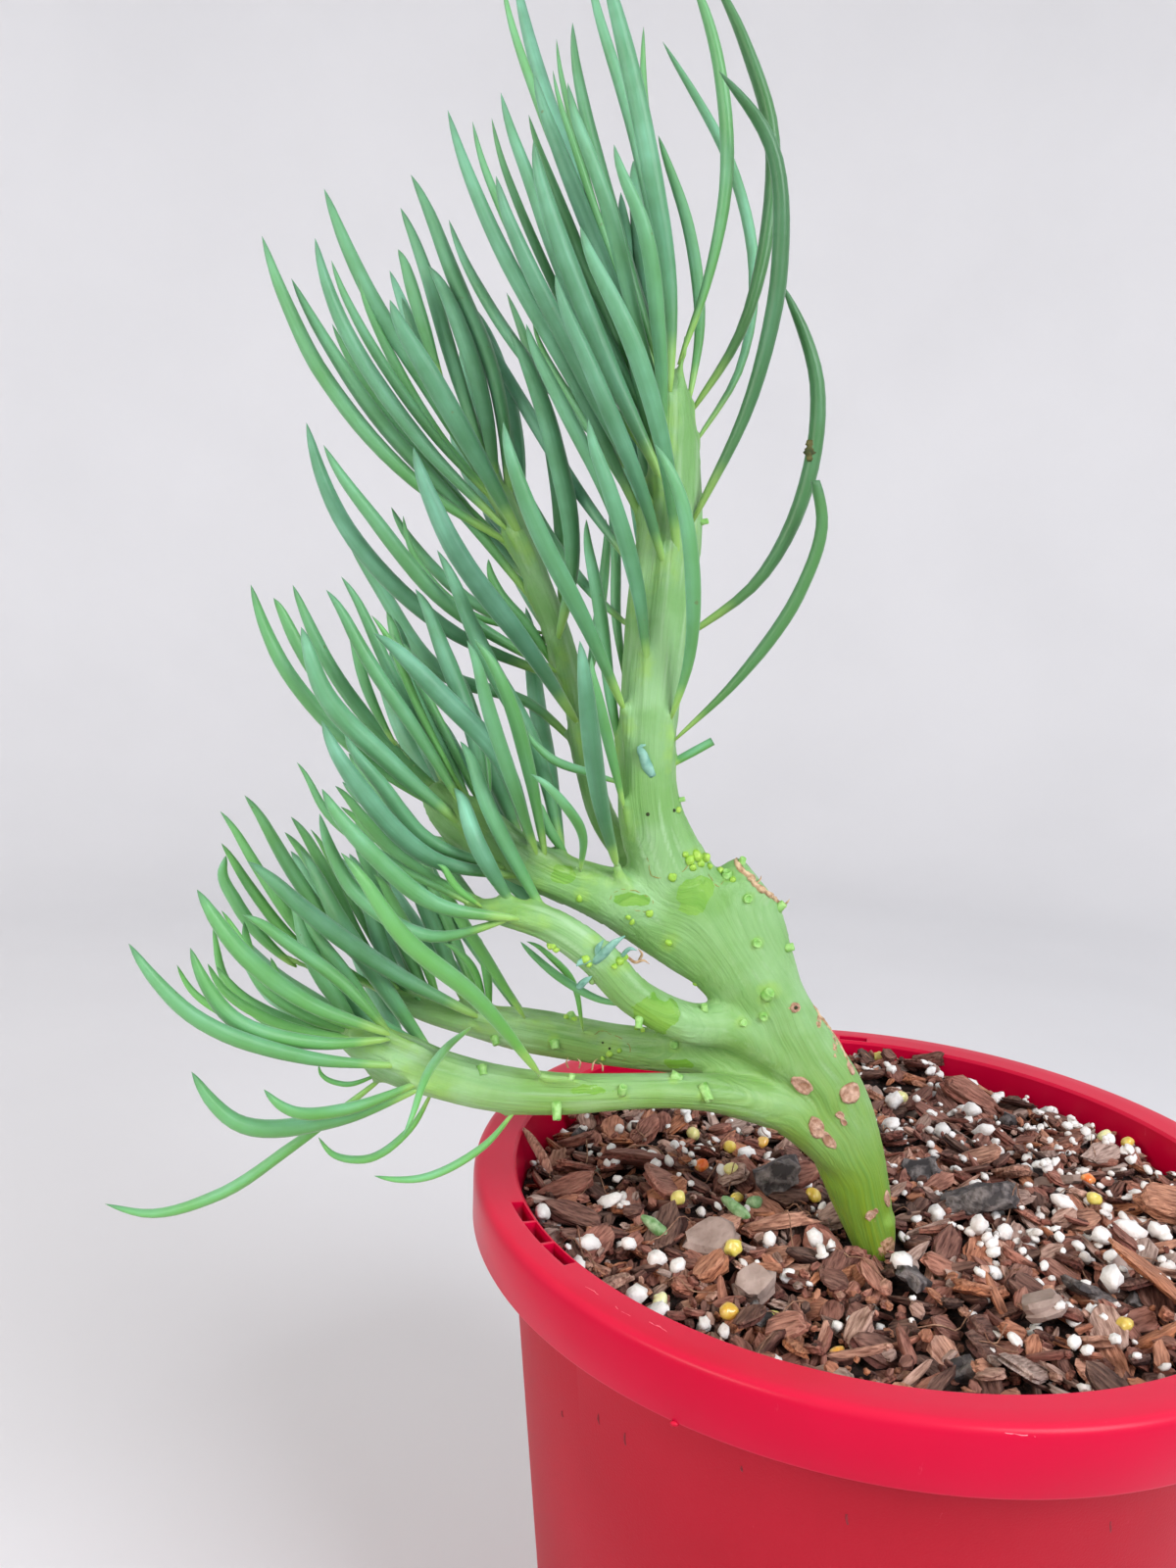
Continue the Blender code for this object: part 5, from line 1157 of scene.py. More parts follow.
def turned(name: str, profile: Sequence, sides: int) -> Piece:
    """A solid spun round Z.

    Args:
        name: The piece's name.
        profile: Radii and heights in millimetres, from pole to pole.
        sides: Steps of the spin.

    Returns:
        The closed piece.
    """
    piece = start(bpy.ops.mesh.primitive_plane_add, size=MM)
    piece.name = name
    edit(piece, "VERT")
    bpy.ops.mesh.merge(type="CENTER")
    here = Vector((0.0, 0.0, 0.0))
    for number, (radius, height) in enumerate(profile):
        step = Vector((radius, 0.0, height)) * MM - here
        if number == 0:
            bpy.ops.transform.translate(value=step)
        else:
            bpy.ops.mesh.extrude_region_move(TRANSFORM_OT_translate={"value": step})
        here += step
    bpy.ops.mesh.select_all(action="SELECT")
    bpy.ops.mesh.spin(steps=sides, angle=math.tau, center=(0, 0, 0), axis=(0, 0, 1))
    bpy.ops.mesh.select_all(action="SELECT")
    bpy.ops.mesh.remove_doubles(threshold=0.00001)
    bpy.ops.mesh.normals_make_consistent(inside=False)
    return close_edit()


def tube_blank(sides: int, rings: int) -> Piece:
    """A closed tube along Z of radius 1 and height 1, in even rings, to be laid along a line."""
    piece = start(bpy.ops.mesh.primitive_cylinder_add, vertices=sides, radius=1.0, depth=1.0,
                  end_fill_type="TRIFAN")
    bpy.ops.object.mode_set(mode="EDIT")
    bpy.ops.mesh.select_mode(type="EDGE")
    bpy.ops.mesh.select_all(action="DESELECT")
    bpy.ops.object.mode_set(mode="OBJECT")
    corners = piece.data.vertices
    for edge in piece.data.edges:
        a, b = (corners[i].co.z for i in edge.vertices)
        edge.select = abs(a - b) > 0.5
    bpy.ops.object.mode_set(mode="EDIT")
    bpy.ops.mesh.subdivide(number_cuts=rings - 2)
    return close_edit()


def blank_reading(blank: Piece) -> tuple:
    """A tube blank's vertices as level from 0 to 1, angle, and share of the radius."""
    x, y, z = spots_of(blank).T
    return z + 0.5, np.arctan2(y, x), np.minimum(np.hypot(x, y), 1.0)


def laid_tube(blank: Piece, line: Rows, widths: Rows, depths: Rows, axes: tuple = ()) -> Piece:
    """A tube laid along rings.

    Args:
        blank: The tube blank, with as many rings as the line has points.
        line: Ring middles in millimetres.
        widths: Half widths of the rings.
        depths: Half depths of the rings.
        axes: Width and depth directions of the rings; without them, the line's own.

    Returns:
        The laid copy.
    """
    wides, deeps = axes or line_axes(line)
    level, angle, rim = blank_reading(blank)
    ring = np.rint(level * (len(line) - 1)).astype(int)
    across = (rim * np.cos(angle) * widths[ring])[:, None] * wides[ring]
    deep = (rim * np.sin(angle) * depths[ring])[:, None] * deeps[ring]
    return copy_of(blank, line[ring] + across + deep)


def lone_tube(sides: int, line: Rows, widths: Rows, depths: Rows, axes: tuple = ()) -> Piece:
    """A tube laid along rings from a blank of its own."""
    blank = tube_blank(sides, len(line))
    made = laid_tube(blank, line, widths, depths, axes)
    drop([blank])
    return made


def line_axes(line: Rows) -> tuple:
    """Two directions across a line of points, which turn smoothly."""
    tangents = units(np.gradient(line, axis=0))
    wides = units(np.cross(tangents, (0.08, 1.0, 0.0)))
    return wides, np.cross(wides, tangents)


def soft_noise(points: Rows, size: float) -> Rows:
    """Noise from about -1 to 1 at points in millimetres, in patches of a size."""
    return np.array([noise.noise(Vector(p)) for p in points / size])


def drop(pieces: Sequence) -> None:
    """Delete blanks and cutters that are done with."""
    for piece in pieces:
        bpy.data.objects.remove(piece, do_unlink=True)


@dataclass
class NurseryPot:
    """The red nursery pot: tapered body, hollow collar, slots in its top ring, drain holes."""

    height: float = 188.3
    rim: float = 97.0
    mouth: float = 86.9
    mouth_drop: float = 0.7
    lip: float = 0.35
    collar: float = 13.1
    taper: float = 0.2
    wall: float = 2.0
    body_top: float = 88.4
    body_foot: float = 70.5
    floor: float = 2.5
    foot_round: float = 2.5
    edge: float = 0.7
    sides: int = 192
    slot_middle: float = math.radians(212.0)
    slot_half: float = math.radians(8.8)
    slot_radii: tuple = (87.9, 90.6)
    slot_depth: float = 7.0
    slot_ribs: int = 2
    slot_rib: float = 0.9
    slots: int = 3
    drains: int = 8
    drain_radius: float = 4.5
    drain_ring: float = 56.0
    # Radius and drop below the rim of the crown's points, from the mouth outwards.
    crown: tuple = ((87.25, 0.7), (87.6, 0.4), (91.5, 0.15), (94.7, 0.0), (95.5, 0.14), (96.05, 0.42),
                    (96.45, 0.85), (96.7, 1.35), (96.88, 2.1), (97.0, 3.2))
    # Flash left by the mould under the collar, by front-view pixel.
    flash: tuple = ((940, 1527), (965, 1531), (690, 1432))

    def inner_radius(self, height: float | Rows) -> float | Rows:
        """The inner wall's radius at a height."""
        share = (height - self.floor) / (self.height - self.mouth_drop - self.floor)
        foot = self.body_foot - self.wall
        return foot + share * (self.mouth - foot)

    def profile(self) -> list:
        """The wall's closed outline from the inner floor over the rim to the underside."""
        mouth = self.height - self.mouth_drop
        skirt = self.height - self.collar
        under = mouth - self.wall
        low = self.rim - self.taper
        inner = self.body_foot - self.wall
        points = [(0.0, self.floor), (inner - self.foot_round - 1.0, self.floor),
                  (inner - 0.9, self.floor + 0.7),
                  (self.inner_radius(self.floor + self.foot_round), self.floor + self.foot_round)]
        points += [(self.inner_radius(z), z) for z in (60.0, 120.0, mouth - 1.6, mouth - 0.5)]
        points += [(r, self.height - down) for r, down in self.crown]
        points += [(low + 0.12, skirt + self.edge),
                   (low - 0.2, skirt + 0.12), (low - self.edge, skirt),
                   (low - self.wall + 0.4, skirt), (low - self.wall, skirt + 0.4),
                   (self.rim - self.wall - self.lip - 0.2, under - 1.2),
                   (self.rim - self.wall - 1.4, under)]
        points += [(self.body_top + out, under - down) for out, down in
                   ((1.6, 0.1), (0.9, 0.5), (0.3, 1.2), (0.0, 2.6))]
        points += [(self.body_foot + (self.body_top - self.body_foot) * share,
                    self.foot_round + (under - 2.6 - self.foot_round) * share)
                   for share in (0.8, 0.6, 0.4, 0.2, 0.0)]
        points += [(self.body_foot - self.foot_round * in_, self.foot_round * up)
                   for in_, up in ((0.12, 0.6), (0.4, 0.28), (0.8, 0.08), (1.4, 0.0))]
        return points + [(0.0, 0.0)]

    def slot_cutters(self) -> list:
        """Arc blocks that cut the recesses in the top ring, with ribs left between them."""
        made = []
        cells = self.slot_ribs + 1
        rib = self.slot_rib / self.slot_radii[1]
        width = (2 * self.slot_half - self.slot_ribs * rib) / cells
        low, high = self.height - self.slot_depth, self.height + 2.0
        middle, deep = sum(self.slot_radii) / 2, self.slot_radii[1] - self.slot_radii[0]
        for number in range(self.slots * cells):
            first = (self.slot_middle - self.slot_half + number // cells * math.tau / self.slots
                     + number % cells * (width + rib))
            turn = Matrix.Rotation(first, 4, "Z")
            block = start(bpy.ops.mesh.primitive_plane_add, size=1.0, rotation=(math.pi / 2, 0.0, 0.0))
            bpy.ops.object.transform_apply(rotation=True)
            corners = [turn @ Vector((middle + c.co.x * deep, 0.0, (low + high) / 2 + c.co.z * (high - low)))
                       for c in block.data.vertices]
            move_spots(block, np.array(corners) * MM)
            edit(block)
            bpy.ops.mesh.spin(steps=10, angle=width, center=(0, 0, 0), axis=(0, 0, 1))
            bpy.ops.mesh.select_all(action="SELECT")
            bpy.ops.mesh.normals_make_consistent(inside=False)
            made.append(close_edit())
        return made

    def drain_cutters(self) -> list:
        """Round cutters for the drain holes."""
        made = []
        for number in range(self.drains):
            angle = number * math.tau / self.drains
            place = (self.drain_ring * MM * math.cos(angle), self.drain_ring * MM * math.sin(angle),
                     self.floor / 2 * MM)
            made.append(start(bpy.ops.mesh.primitive_cylinder_add, vertices=32, location=place,
                              radius=self.drain_radius * MM, depth=self.floor * 3 * MM))
            bpy.ops.object.transform_apply(location=True)
        return made

    def build(self) -> Piece:
        """The dressed pot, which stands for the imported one."""
        pot = turned("moulded_pot", self.profile(), self.sides)
        cutter = fuse(self.slot_cutters() + self.drain_cutters(), "pot_cutter")
        shape_with(pot, "BOOLEAN", operation="DIFFERENCE", object=cutter, solver="EXACT")
        drop([cutter])
        shape_with(pot, "BEVEL", width=0.22 * MM, segments=2, limit_method="ANGLE",
                   angle_limit=math.radians(50), use_clamp_overlap=True)
        pot.data.materials.clear()
        pot.data.materials.append(Palette.POT.value.material())
        return settle(smooth(pot, 32.0), "pot_plastic", "pot")

    def build_flash(self, pot: Piece) -> Piece:
        """Small nubs of flash along the collar's lower edge."""
        made = []
        for number, (x, y) in enumerate(self.flash):
            hit, place, _, _ = pot.ray_cast(Vector(EYE * MM), Vector(view_ray(x, y - 4)).normalized())
            if not hit:
                continue
            nub = start(bpy.ops.mesh.primitive_uv_sphere_add, segments=14, ring_count=8, radius=1.0)
            low = np.array([place.x, place.y, (self.height - self.collar) * MM]) / MM
            size = np.array([1.3, 0.9, 0.8]) * (1.0 - 0.15 * number)
            move_spots(nub, (spots_of(nub) * size + low + np.array([0.0, 0.3, -0.1])) * MM)
            made.append(nub)
        piece = fuse(made, "mould_flash", Palette.POT.value)
        return settle(smooth(piece, 60.0), "pot_plastic")


class Spot(NamedTuple):
    """A place on the stem's front: its middle and half sizes in front-view pixels, and strength."""

    x: float
    y: float
    across: float
    up: float
    strength: float = 1.0


class Exit(NamedTuple):
    """Where a leaf leaves its limb: share of its length, place, limb direction and way out."""

    share: float
    place: Rows
    along: Rows
    out: Rows


# Leaves that show finer than they were packed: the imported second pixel, then the share of the
# width and the front-view route.
FINER_ROUTES = {(608, 795): (0.86, ((630, 886), (613, 820), (601, 735), (593, 655)))}
# How far a leaf that comes to the viewer has its root moved out to the limb's skin.
FOOT_RISE = 2.4


def finer_leaf(leaf: LeafShape) -> LeafShape:
    """The leaf as it shows: on its finer route, and rooted at the limb's skin."""
    if leaf.picture is None:
        return leaf
    points = leaf.points.copy()
    share, route = FINER_ROUTES.get(leaf.picture[0], (1.0, ()))
    for number, (x, y) in enumerate(route):
        points[number] = on_plane(x, y, points[number][1])
    if points[1][1] < points[0][1]:
        x, y = in_view(points[:1])[0]
        points[0] = on_plane(x, y, points[0][1] - FOOT_RISE)
    return LeafShape(leaf.node, points, leaf.radius * share, leaf.picture)


def find_exit(leaf: LeafShape, limbs: Sequence) -> Exit:
    """Find where a leaf leaves its limb.

    Args:
        leaf: The leaf's place.
        limbs: The limbs that it may grow from.

    Returns:
        The last point of its middle line that is still inside the limb that holds it longest.
    """
    marks = np.linspace(0.0, 0.6, 61)
    line = np.array(smooth_route(leaf.points, marks))
    best = None
    for limb in limbs:
        ring, across, deep, _ = limb.nearest(line)
        outside = np.hypot(across / limb.half_widths[ring], deep / limb.half_depths[ring])[:-1] > 1.0
        last = int(outside.argmax()) if outside.any() else len(outside) - 1
        if best is None or last > best[0]:
            best = (last, limb, ring[last])
    last, limb, ring = best
    place = line[last]
    along = limb.tangents[ring]
    out = place - limb.middles[ring] + (line[last + 1] - line[last]) * 0.01
    return Exit(marks[last], place, along, square_to(along, out))


@dataclass
class CrestedStem:
    """The bare fanned stem with its foot, limbs and leaf cushions, grown together under one skin."""

    foot_radius: float = 4.7
    foot_tip: float = 0.8
    foot_heights: tuple = (SOIL_LEVEL - 38.0, SOIL_LEVEL - 12.0, SOIL_LEVEL + 5.0)
    sides: int = 28
    steps: int = 6
    voxel: float = 0.72
    soften: int = 15
    ridge_width: float = 2.3
    ridge_length: float = 30.0
    ridge_depth: float = 0.34
    blend_width: float = 4.0
    swell_width: float = 6.0
    swell_depth: float = 0.45
    streak_width: float = 1.05
    # How far apart the noise is read for a limb's back, for the next limb and for the streaks.
    back_shift: float = 40.0
    limb_shift: float = 90.0
    streak_shift: float = 500.0
    # The finish's rise runs from this height, over this height.
    rise_foot: float = 178.0
    rise_height: float = 200.0
    cushion_back: float = 11.0
    # How far the lime tint reaches round a leaf's foot, and how far down the limb it sits.
    lime_reach: float = 3.6
    lime_shift: float = 2.4
    # Lime blotches round old stubs: front-view place and size in pixels.
    lime_spots: tuple = ((712, 876, 14), (743, 894, 8), (763, 917, 8), (772, 962, 8), (783, 1014, 14),
                         (779, 1037, 8), (758, 1044, 8), (688, 1066, 9), (688, 1100, 8), (719, 1118, 8),
                         (635, 1116, 9), (583, 1100, 10), (622, 1066, 12), (632, 985, 12), (604, 960, 10),
                         (682, 962, 12), (594, 912, 10), (583, 1040, 9), (908, 1244, 8), (566, 1062, 8))
    # Where the bloom was rubbed off, and the skin shines deeper green.
    rubbed: tuple = (Spot(710, 914, 24, 28), Spot(575, 892, 18, 14), Spot(668, 1035, 36, 26),
                     Spot(692, 1085, 22, 8, 0.7), Spot(600, 1112, 26, 9, 0.7), Spot(645, 918, 24, 12, 0.8))
    # Dry corky skin: scars, the dry line on the fan's right edge, and the stem's foot.
    corky: tuple = (Spot(812, 1028, 7, 6), Spot(857, 1140, 7, 5, 0.7), Spot(890, 1240, 7, 8, 0.7),
                    Spot(836, 1040, 4, 16, 0.7), Spot(852, 1066, 4, 18, 0.7), Spot(908, 1274, 18, 14, 0.8))

    def limb(self, shape: LimbShape) -> Piece:
        """One limb as a tube along its sections."""
        return lone_tube(self.sides, shape.middles, shape.half_widths, shape.half_depths,
                         (shape.wides, shape.deeps))

    def foot(self) -> Piece:
        """The round foot that stands in the mix."""
        rings = 9
        low, _, high = self.foot_heights
        line = np.array([(*STEM_FOOT, z) for z in np.linspace(low, high, rings)])
        radii = np.interp(line[:, 2], self.foot_heights,
                          (self.foot_radius * self.foot_tip, self.foot_radius, self.foot_radius))
        axes = tuple(np.tile(way, (rings, 1)) for way in ((1.0, 0.0, 0.0), (0.0, 1.0, 0.0)))
        return lone_tube(self.sides, line, radii, radii, axes)

    def cushions(self, leaves: Sequence, exits: Sequence) -> list:
        """A low teardrop ridge below each leaf, where its base runs down the limb.

        Args:
            leaves: The leaves' places.
            exits: Where they leave their limbs.

        Returns:
            One ridge for each leaf.
        """
        rings = 10
        blank = tube_blank(10, rings)
        made = []
        for leaf, exit_ in zip(leaves, exits):
            reach = min(self.cushion_back, leaf.length() * 0.25)
            ahead = unit(leaf.points[-1] - leaf.points[0])
            points = [exit_.place - exit_.along * reach - exit_.out * 1.3,
                      exit_.place - exit_.along * reach * 0.5 - exit_.out * 0.6,
                      exit_.place, exit_.place + ahead * 2.2]
            marks = np.linspace(0.0, 1.0, rings)
            line = np.array(smooth_route(points, marks))
            radii = leaf.radius * read_profile(CUSHION_PROFILE, marks)
            made.append(laid_tube(blank, line, radii, radii))
        drop([blank])
        return made

    def build(self, limbs: dict, leaves: Sequence, exits: Sequence) -> Piece:
        """The whole stem, which stands for the trunk and the shoots' stems."""
        pieces = [self.foot()] + [self.limb(shape) for shape in limbs.values()]
        pieces += self.cushions(leaves, exits)
        stem = fuse(pieces, "crested_stem", Palette.STEM.value)
        shape_with(stem, "REMESH", mode="VOXEL", voxel_size=self.voxel * MM, adaptivity=0.0)
        shape_with(stem, "SMOOTH", factor=0.5, iterations=self.soften)
        self.skin(stem, limbs, exits)
        return settle(round_off(stem), "stem", "trunk")

    def limb_places(self, spots: Rows, limbs: dict) -> list:
        """Read where each vertex lies on each limb.

        Args:
            spots: The vertices in millimetres.
            limbs: The limbs' shapes by name.

        Returns:
            For each limb, how far across, deep and along it they are, and how near.
        """
        found = []
        for shape in limbs.values():
            ring, across, deep, along = shape.nearest(spots)
            along = shape.lengths[ring] + along
            over = np.hypot(across / shape.half_widths[ring], deep / shape.half_depths[ring]) - 1.0
            outside = np.maximum(over, 0.0) * shape.half_depths[ring]
            past = np.maximum(np.abs(along - shape.lengths[-1] / 2) - shape.lengths[-1] / 2, 0.0)
            along = along + np.linalg.norm(shape.middles[0] - STEM_TOE)
            near = np.exp(-((outside + past) / self.blend_width) ** 2) + 1e-6
            found.append((across, deep, along, near))
        return found

    def skin(self, stem: Piece, limbs: dict, exits: Sequence) -> None:
        """Raise ribs along the growth, and note what the finish reads at each vertex.

        Args:
            stem: The stem in one piece.
            limbs: The limbs' shapes by name.
            exits: Where leaves leave the limbs.
        """
        spots = spots_of(stem) / MM
        places = self.limb_places(spots, limbs)
        total = sum(place[3] for place in places)
        ribs, swell, streak = np.zeros((3, len(spots)))
        for number, (across, deep, along, near) in enumerate(places):
            weight = near / total
            used = weight > 0.02
            side = across[used] + np.sign(deep[used]) * self.back_shift + number * self.limb_shift
            rows = np.stack([side, along[used] / self.ridge_length * self.ridge_width,
                             np.zeros(used.sum())], axis=1)
            ribs[used] += weight[used] * soft_noise(rows, self.ridge_width)
            swell[used] += weight[used] * soft_noise(rows * (1, 1.6, 1), self.swell_width)
            streak[used] += weight[used] * soft_noise(rows * (1, 0.7, 1) + self.streak_shift,
                                                      self.streak_width)
        grain = sum(np.stack(place[:3], axis=1) * place[3][:, None] for place in places) / total[:, None]
        normals = np.empty(len(spots) * 3)
        stem.data.vertices.foreach_get("normal", normals)
        normals = normals.reshape(-1, 3)
        lift = ribs * self.ridge_depth + swell * self.swell_depth
        move_spots(stem, (spots + normals * lift[:, None]) * MM)
        mark(stem, "grain", grain)
        # Painted shade: how deep in a groove between the ribs each vertex lies, which the finish darkens.
        mark(stem, "groove_shade", np.clip(-ribs * 1.6 - swell * 0.8, 0.0, 1.0))
        mark(stem, "streak", np.clip(streak * 0.9 + 0.5, 0.0, 1.0))
        mark(stem, "rise", np.clip((spots[:, 2] - self.rise_foot) / self.rise_height, 0.0, 1.0))
        near_leaf = np.full(len(spots), 9.0)
        for exit_ in exits:
            reach = spots - exit_.place + exit_.along * self.lime_shift
            along = (reach @ exit_.along) * 0.45
            across = reach - (reach @ exit_.along)[:, None] * exit_.along
            near_leaf = np.minimum(near_leaf, np.hypot(along, np.linalg.norm(across, axis=1)))
        view = in_view(spots)
        lime = np.clip(0.95 - near_leaf / self.lime_reach, 0.0, 1.0)
        for x, y, size in self.lime_spots:
            spot = np.clip(1.4 - np.hypot(view[:, 0] - x, view[:, 1] - y) / size, 0.0, 1.0)
            lime = np.maximum(lime, spot * (normals[:, 1] < 0.2))
        mark(stem, "lime", lime)
        front = np.clip(0.35 - normals[:, 1], 0.0, 1.0)
        for name, chosen in (("rubbed", self.rubbed), ("corky", self.corky)):
            amount = np.zeros(len(spots))
            for spot in chosen:
                reach = np.hypot((view[:, 0] - spot.x) / spot.across, (view[:, 1] - spot.y) / spot.up)
                reach = reach + soft_noise(spots, 3.0) * 0.35
                amount = np.maximum(amount, np.clip(1.6 - 1.6 * reach, 0.0, 1.0) * spot.strength)
            mark(stem, name, amount * np.minimum(front * 3.0, 1.0))


BLUNT_PROFILE = ((0.0, 0.14), (0.06, 0.34), (0.12, 0.44), (0.2, 0.58), (0.3, 0.76), (0.42, 0.92),
                 (0.54, 1.0), (0.8, 0.92), (0.97, 0.8), (1.0, 0.66))


@dataclass
class LeafyShoot:
    """The leaves of one shoot: round tapering fingers with a sharp tip and a narrow foot."""

    node: str
    sides: int = 14
    rings: int = 26
    flat: float = 0.84
    hook: float = 0.9
    wobble: float = 0.05
    narrow: float = 1.9
    wide: float = 4.6
    # The foot starts thin inside the limb, so no flat end shows where a leaf lies along it.
    foot: float = 0.1
    profile: tuple = ((0.0, 0.16), (0.05, 0.42), (0.1, 0.52), (0.18, 0.64), (0.28, 0.79),
                      (0.4, 0.93), (0.52, 1.0), (0.68, 0.97), (0.79, 0.86), (0.88, 0.7),
                      (0.94, 0.49), (0.975, 0.29), (1.0, 0.015))
    # Wax on the leaves at the right, whose bloom is thin, and on the others.
    bare_side: float = 770.0
    wax: tuple = (0.35, 0.8, 1.15)
    # The lower shoots' leaves are younger and yellower.
    young: ClassVar[dict] = {"main_shoot": -0.12, "middle_left_shoot": 0.12, "lower_left_shoot": 0.34,
                             "lowest_shoot": 0.38}
    # Where in the front view a leaf has lost its point, and how near to it a tip must be.
    blunt_tip: tuple = (836, 490)
    blunt_reach: float = 12.0

    def marks(self) -> Rows:
        """Places of the rings along a leaf, closer together towards the tip."""
        even = np.linspace(0.0, 1.0, self.rings)
        return 1.0 - (1.0 - even) ** 1.35

    def leaf(self, blank: Piece, shape: LeafShape, exit_: Exit, draw: random.Random) -> Piece:
        """One leaf laid along its line, with what its finish reads.

        Args:
            blank: The leaf's tube blank.
            shape: The leaf's line and radius.
            exit_: Where it leaves its limb.
            draw: Source of its small differences.

        Returns:
            The leaf.
        """
        marks = self.marks()
        start = max(exit_.share - self.foot, 0.0)
        line = np.array(smooth_route(shape.points, start + (1.0 - start) * marks))
        tangents = units(np.gradient(line, axis=0))
        uppers = np.empty_like(tangents)
        upper = exit_.along + np.array([0.0, -0.15, 0.1])
        for number, tangent in enumerate(tangents):
            uppers[number] = upper = square_to(tangent, upper)
        wides = np.cross(tangents, uppers)
        cut = len(shape.points) == 2
        if not cut:
            line = line + uppers * (self.hook * np.clip((marks - 0.86) / 0.14, 0.0, 1.0) ** 2)[:, None]
        level, angle, rim = blank_reading(blank)
        ring = np.rint(level * (self.rings - 1)).astype(int)
        blunt = np.hypot(*(in_view(line[-1:])[0] - self.blunt_tip)) < self.blunt_reach
        profile = CUT_PROFILE if cut else BLUNT_PROFILE if blunt else self.profile
        radii = shape.radius * read_profile(profile, marks)
        turn = draw.uniform(0.0, 50.0)
        rough = soft_noise(np.stack([np.cos(angle) * 2.0 + turn, np.sin(angle) * 2.0,
                                     marks[ring] * shape.length() / 9.0], axis=1), 1.0)
        radius = radii[ring] * rim * (1.0 + rough * self.wobble)
        across = np.cos(angle) * radius
        deep = np.sin(angle) * radius * np.where(np.sin(angle) > 0, self.flat, 1.0)
        made = copy_of(blank, line[ring] + across[:, None] * wides[ring] + deep[:, None] * uppers[ring])
        thin = np.clip((self.wide - 2 * shape.radius) / (self.wide - self.narrow), 0.0, 1.0)
        mark(made, "along", marks[ring])
        young = thin * 0.7 + draw.uniform(-0.12, 0.2) + self.young.get(self.node, 0.0)
        mark(made, "youth", float(np.clip(young, 0.0, 1.0)))
        mark(made, "tone", draw.random())
        thin_wax = in_view(line[len(line) // 2:len(line) // 2 + 1])[0, 0] > self.bare_side
        mark(made, "waxed", self.wax[0] if thin_wax else draw.uniform(*self.wax[1:]))
        mark(made, "grain", np.stack([across + turn * 7.0, deep, marks[ring] * shape.length()], axis=1))
        return made

    def build(self, leaves: Sequence, exits: Sequence) -> Piece:
        """Every leaf of the shoot in one piece, which stands for its node."""
        draw = random.Random(len(self.node) * 31)
        blank = tube_blank(self.sides, self.rings)
        made = [self.leaf(blank, leaf, exit_, draw) for leaf, exit_ in zip(leaves, exits)
                if leaf.node == self.node]
        drop([blank])
        piece = fuse(made, self.node + "_leaves", Palette.LEAF.value)
        return settle(round_off(piece), "leaf", self.node)


class Loose(NamedTuple):
    """A kind of loose piece: its blank, finish, number and sizes in millimetres."""

    name: str
    blank: str
    finish: Palette
    count: int
    length: tuple
    slim: tuple
    thick: tuple
    tone: tuple = (0.0, 1.0)


class Placed(NamedTuple):
    """A piece whose place shows in the front view: its pixel, sizes in millimetres, turn and tone."""

    x: float
    y: float
    length: float
    width: float
    thick: float
    turn: float = 0.0
    tone: float = 0.5


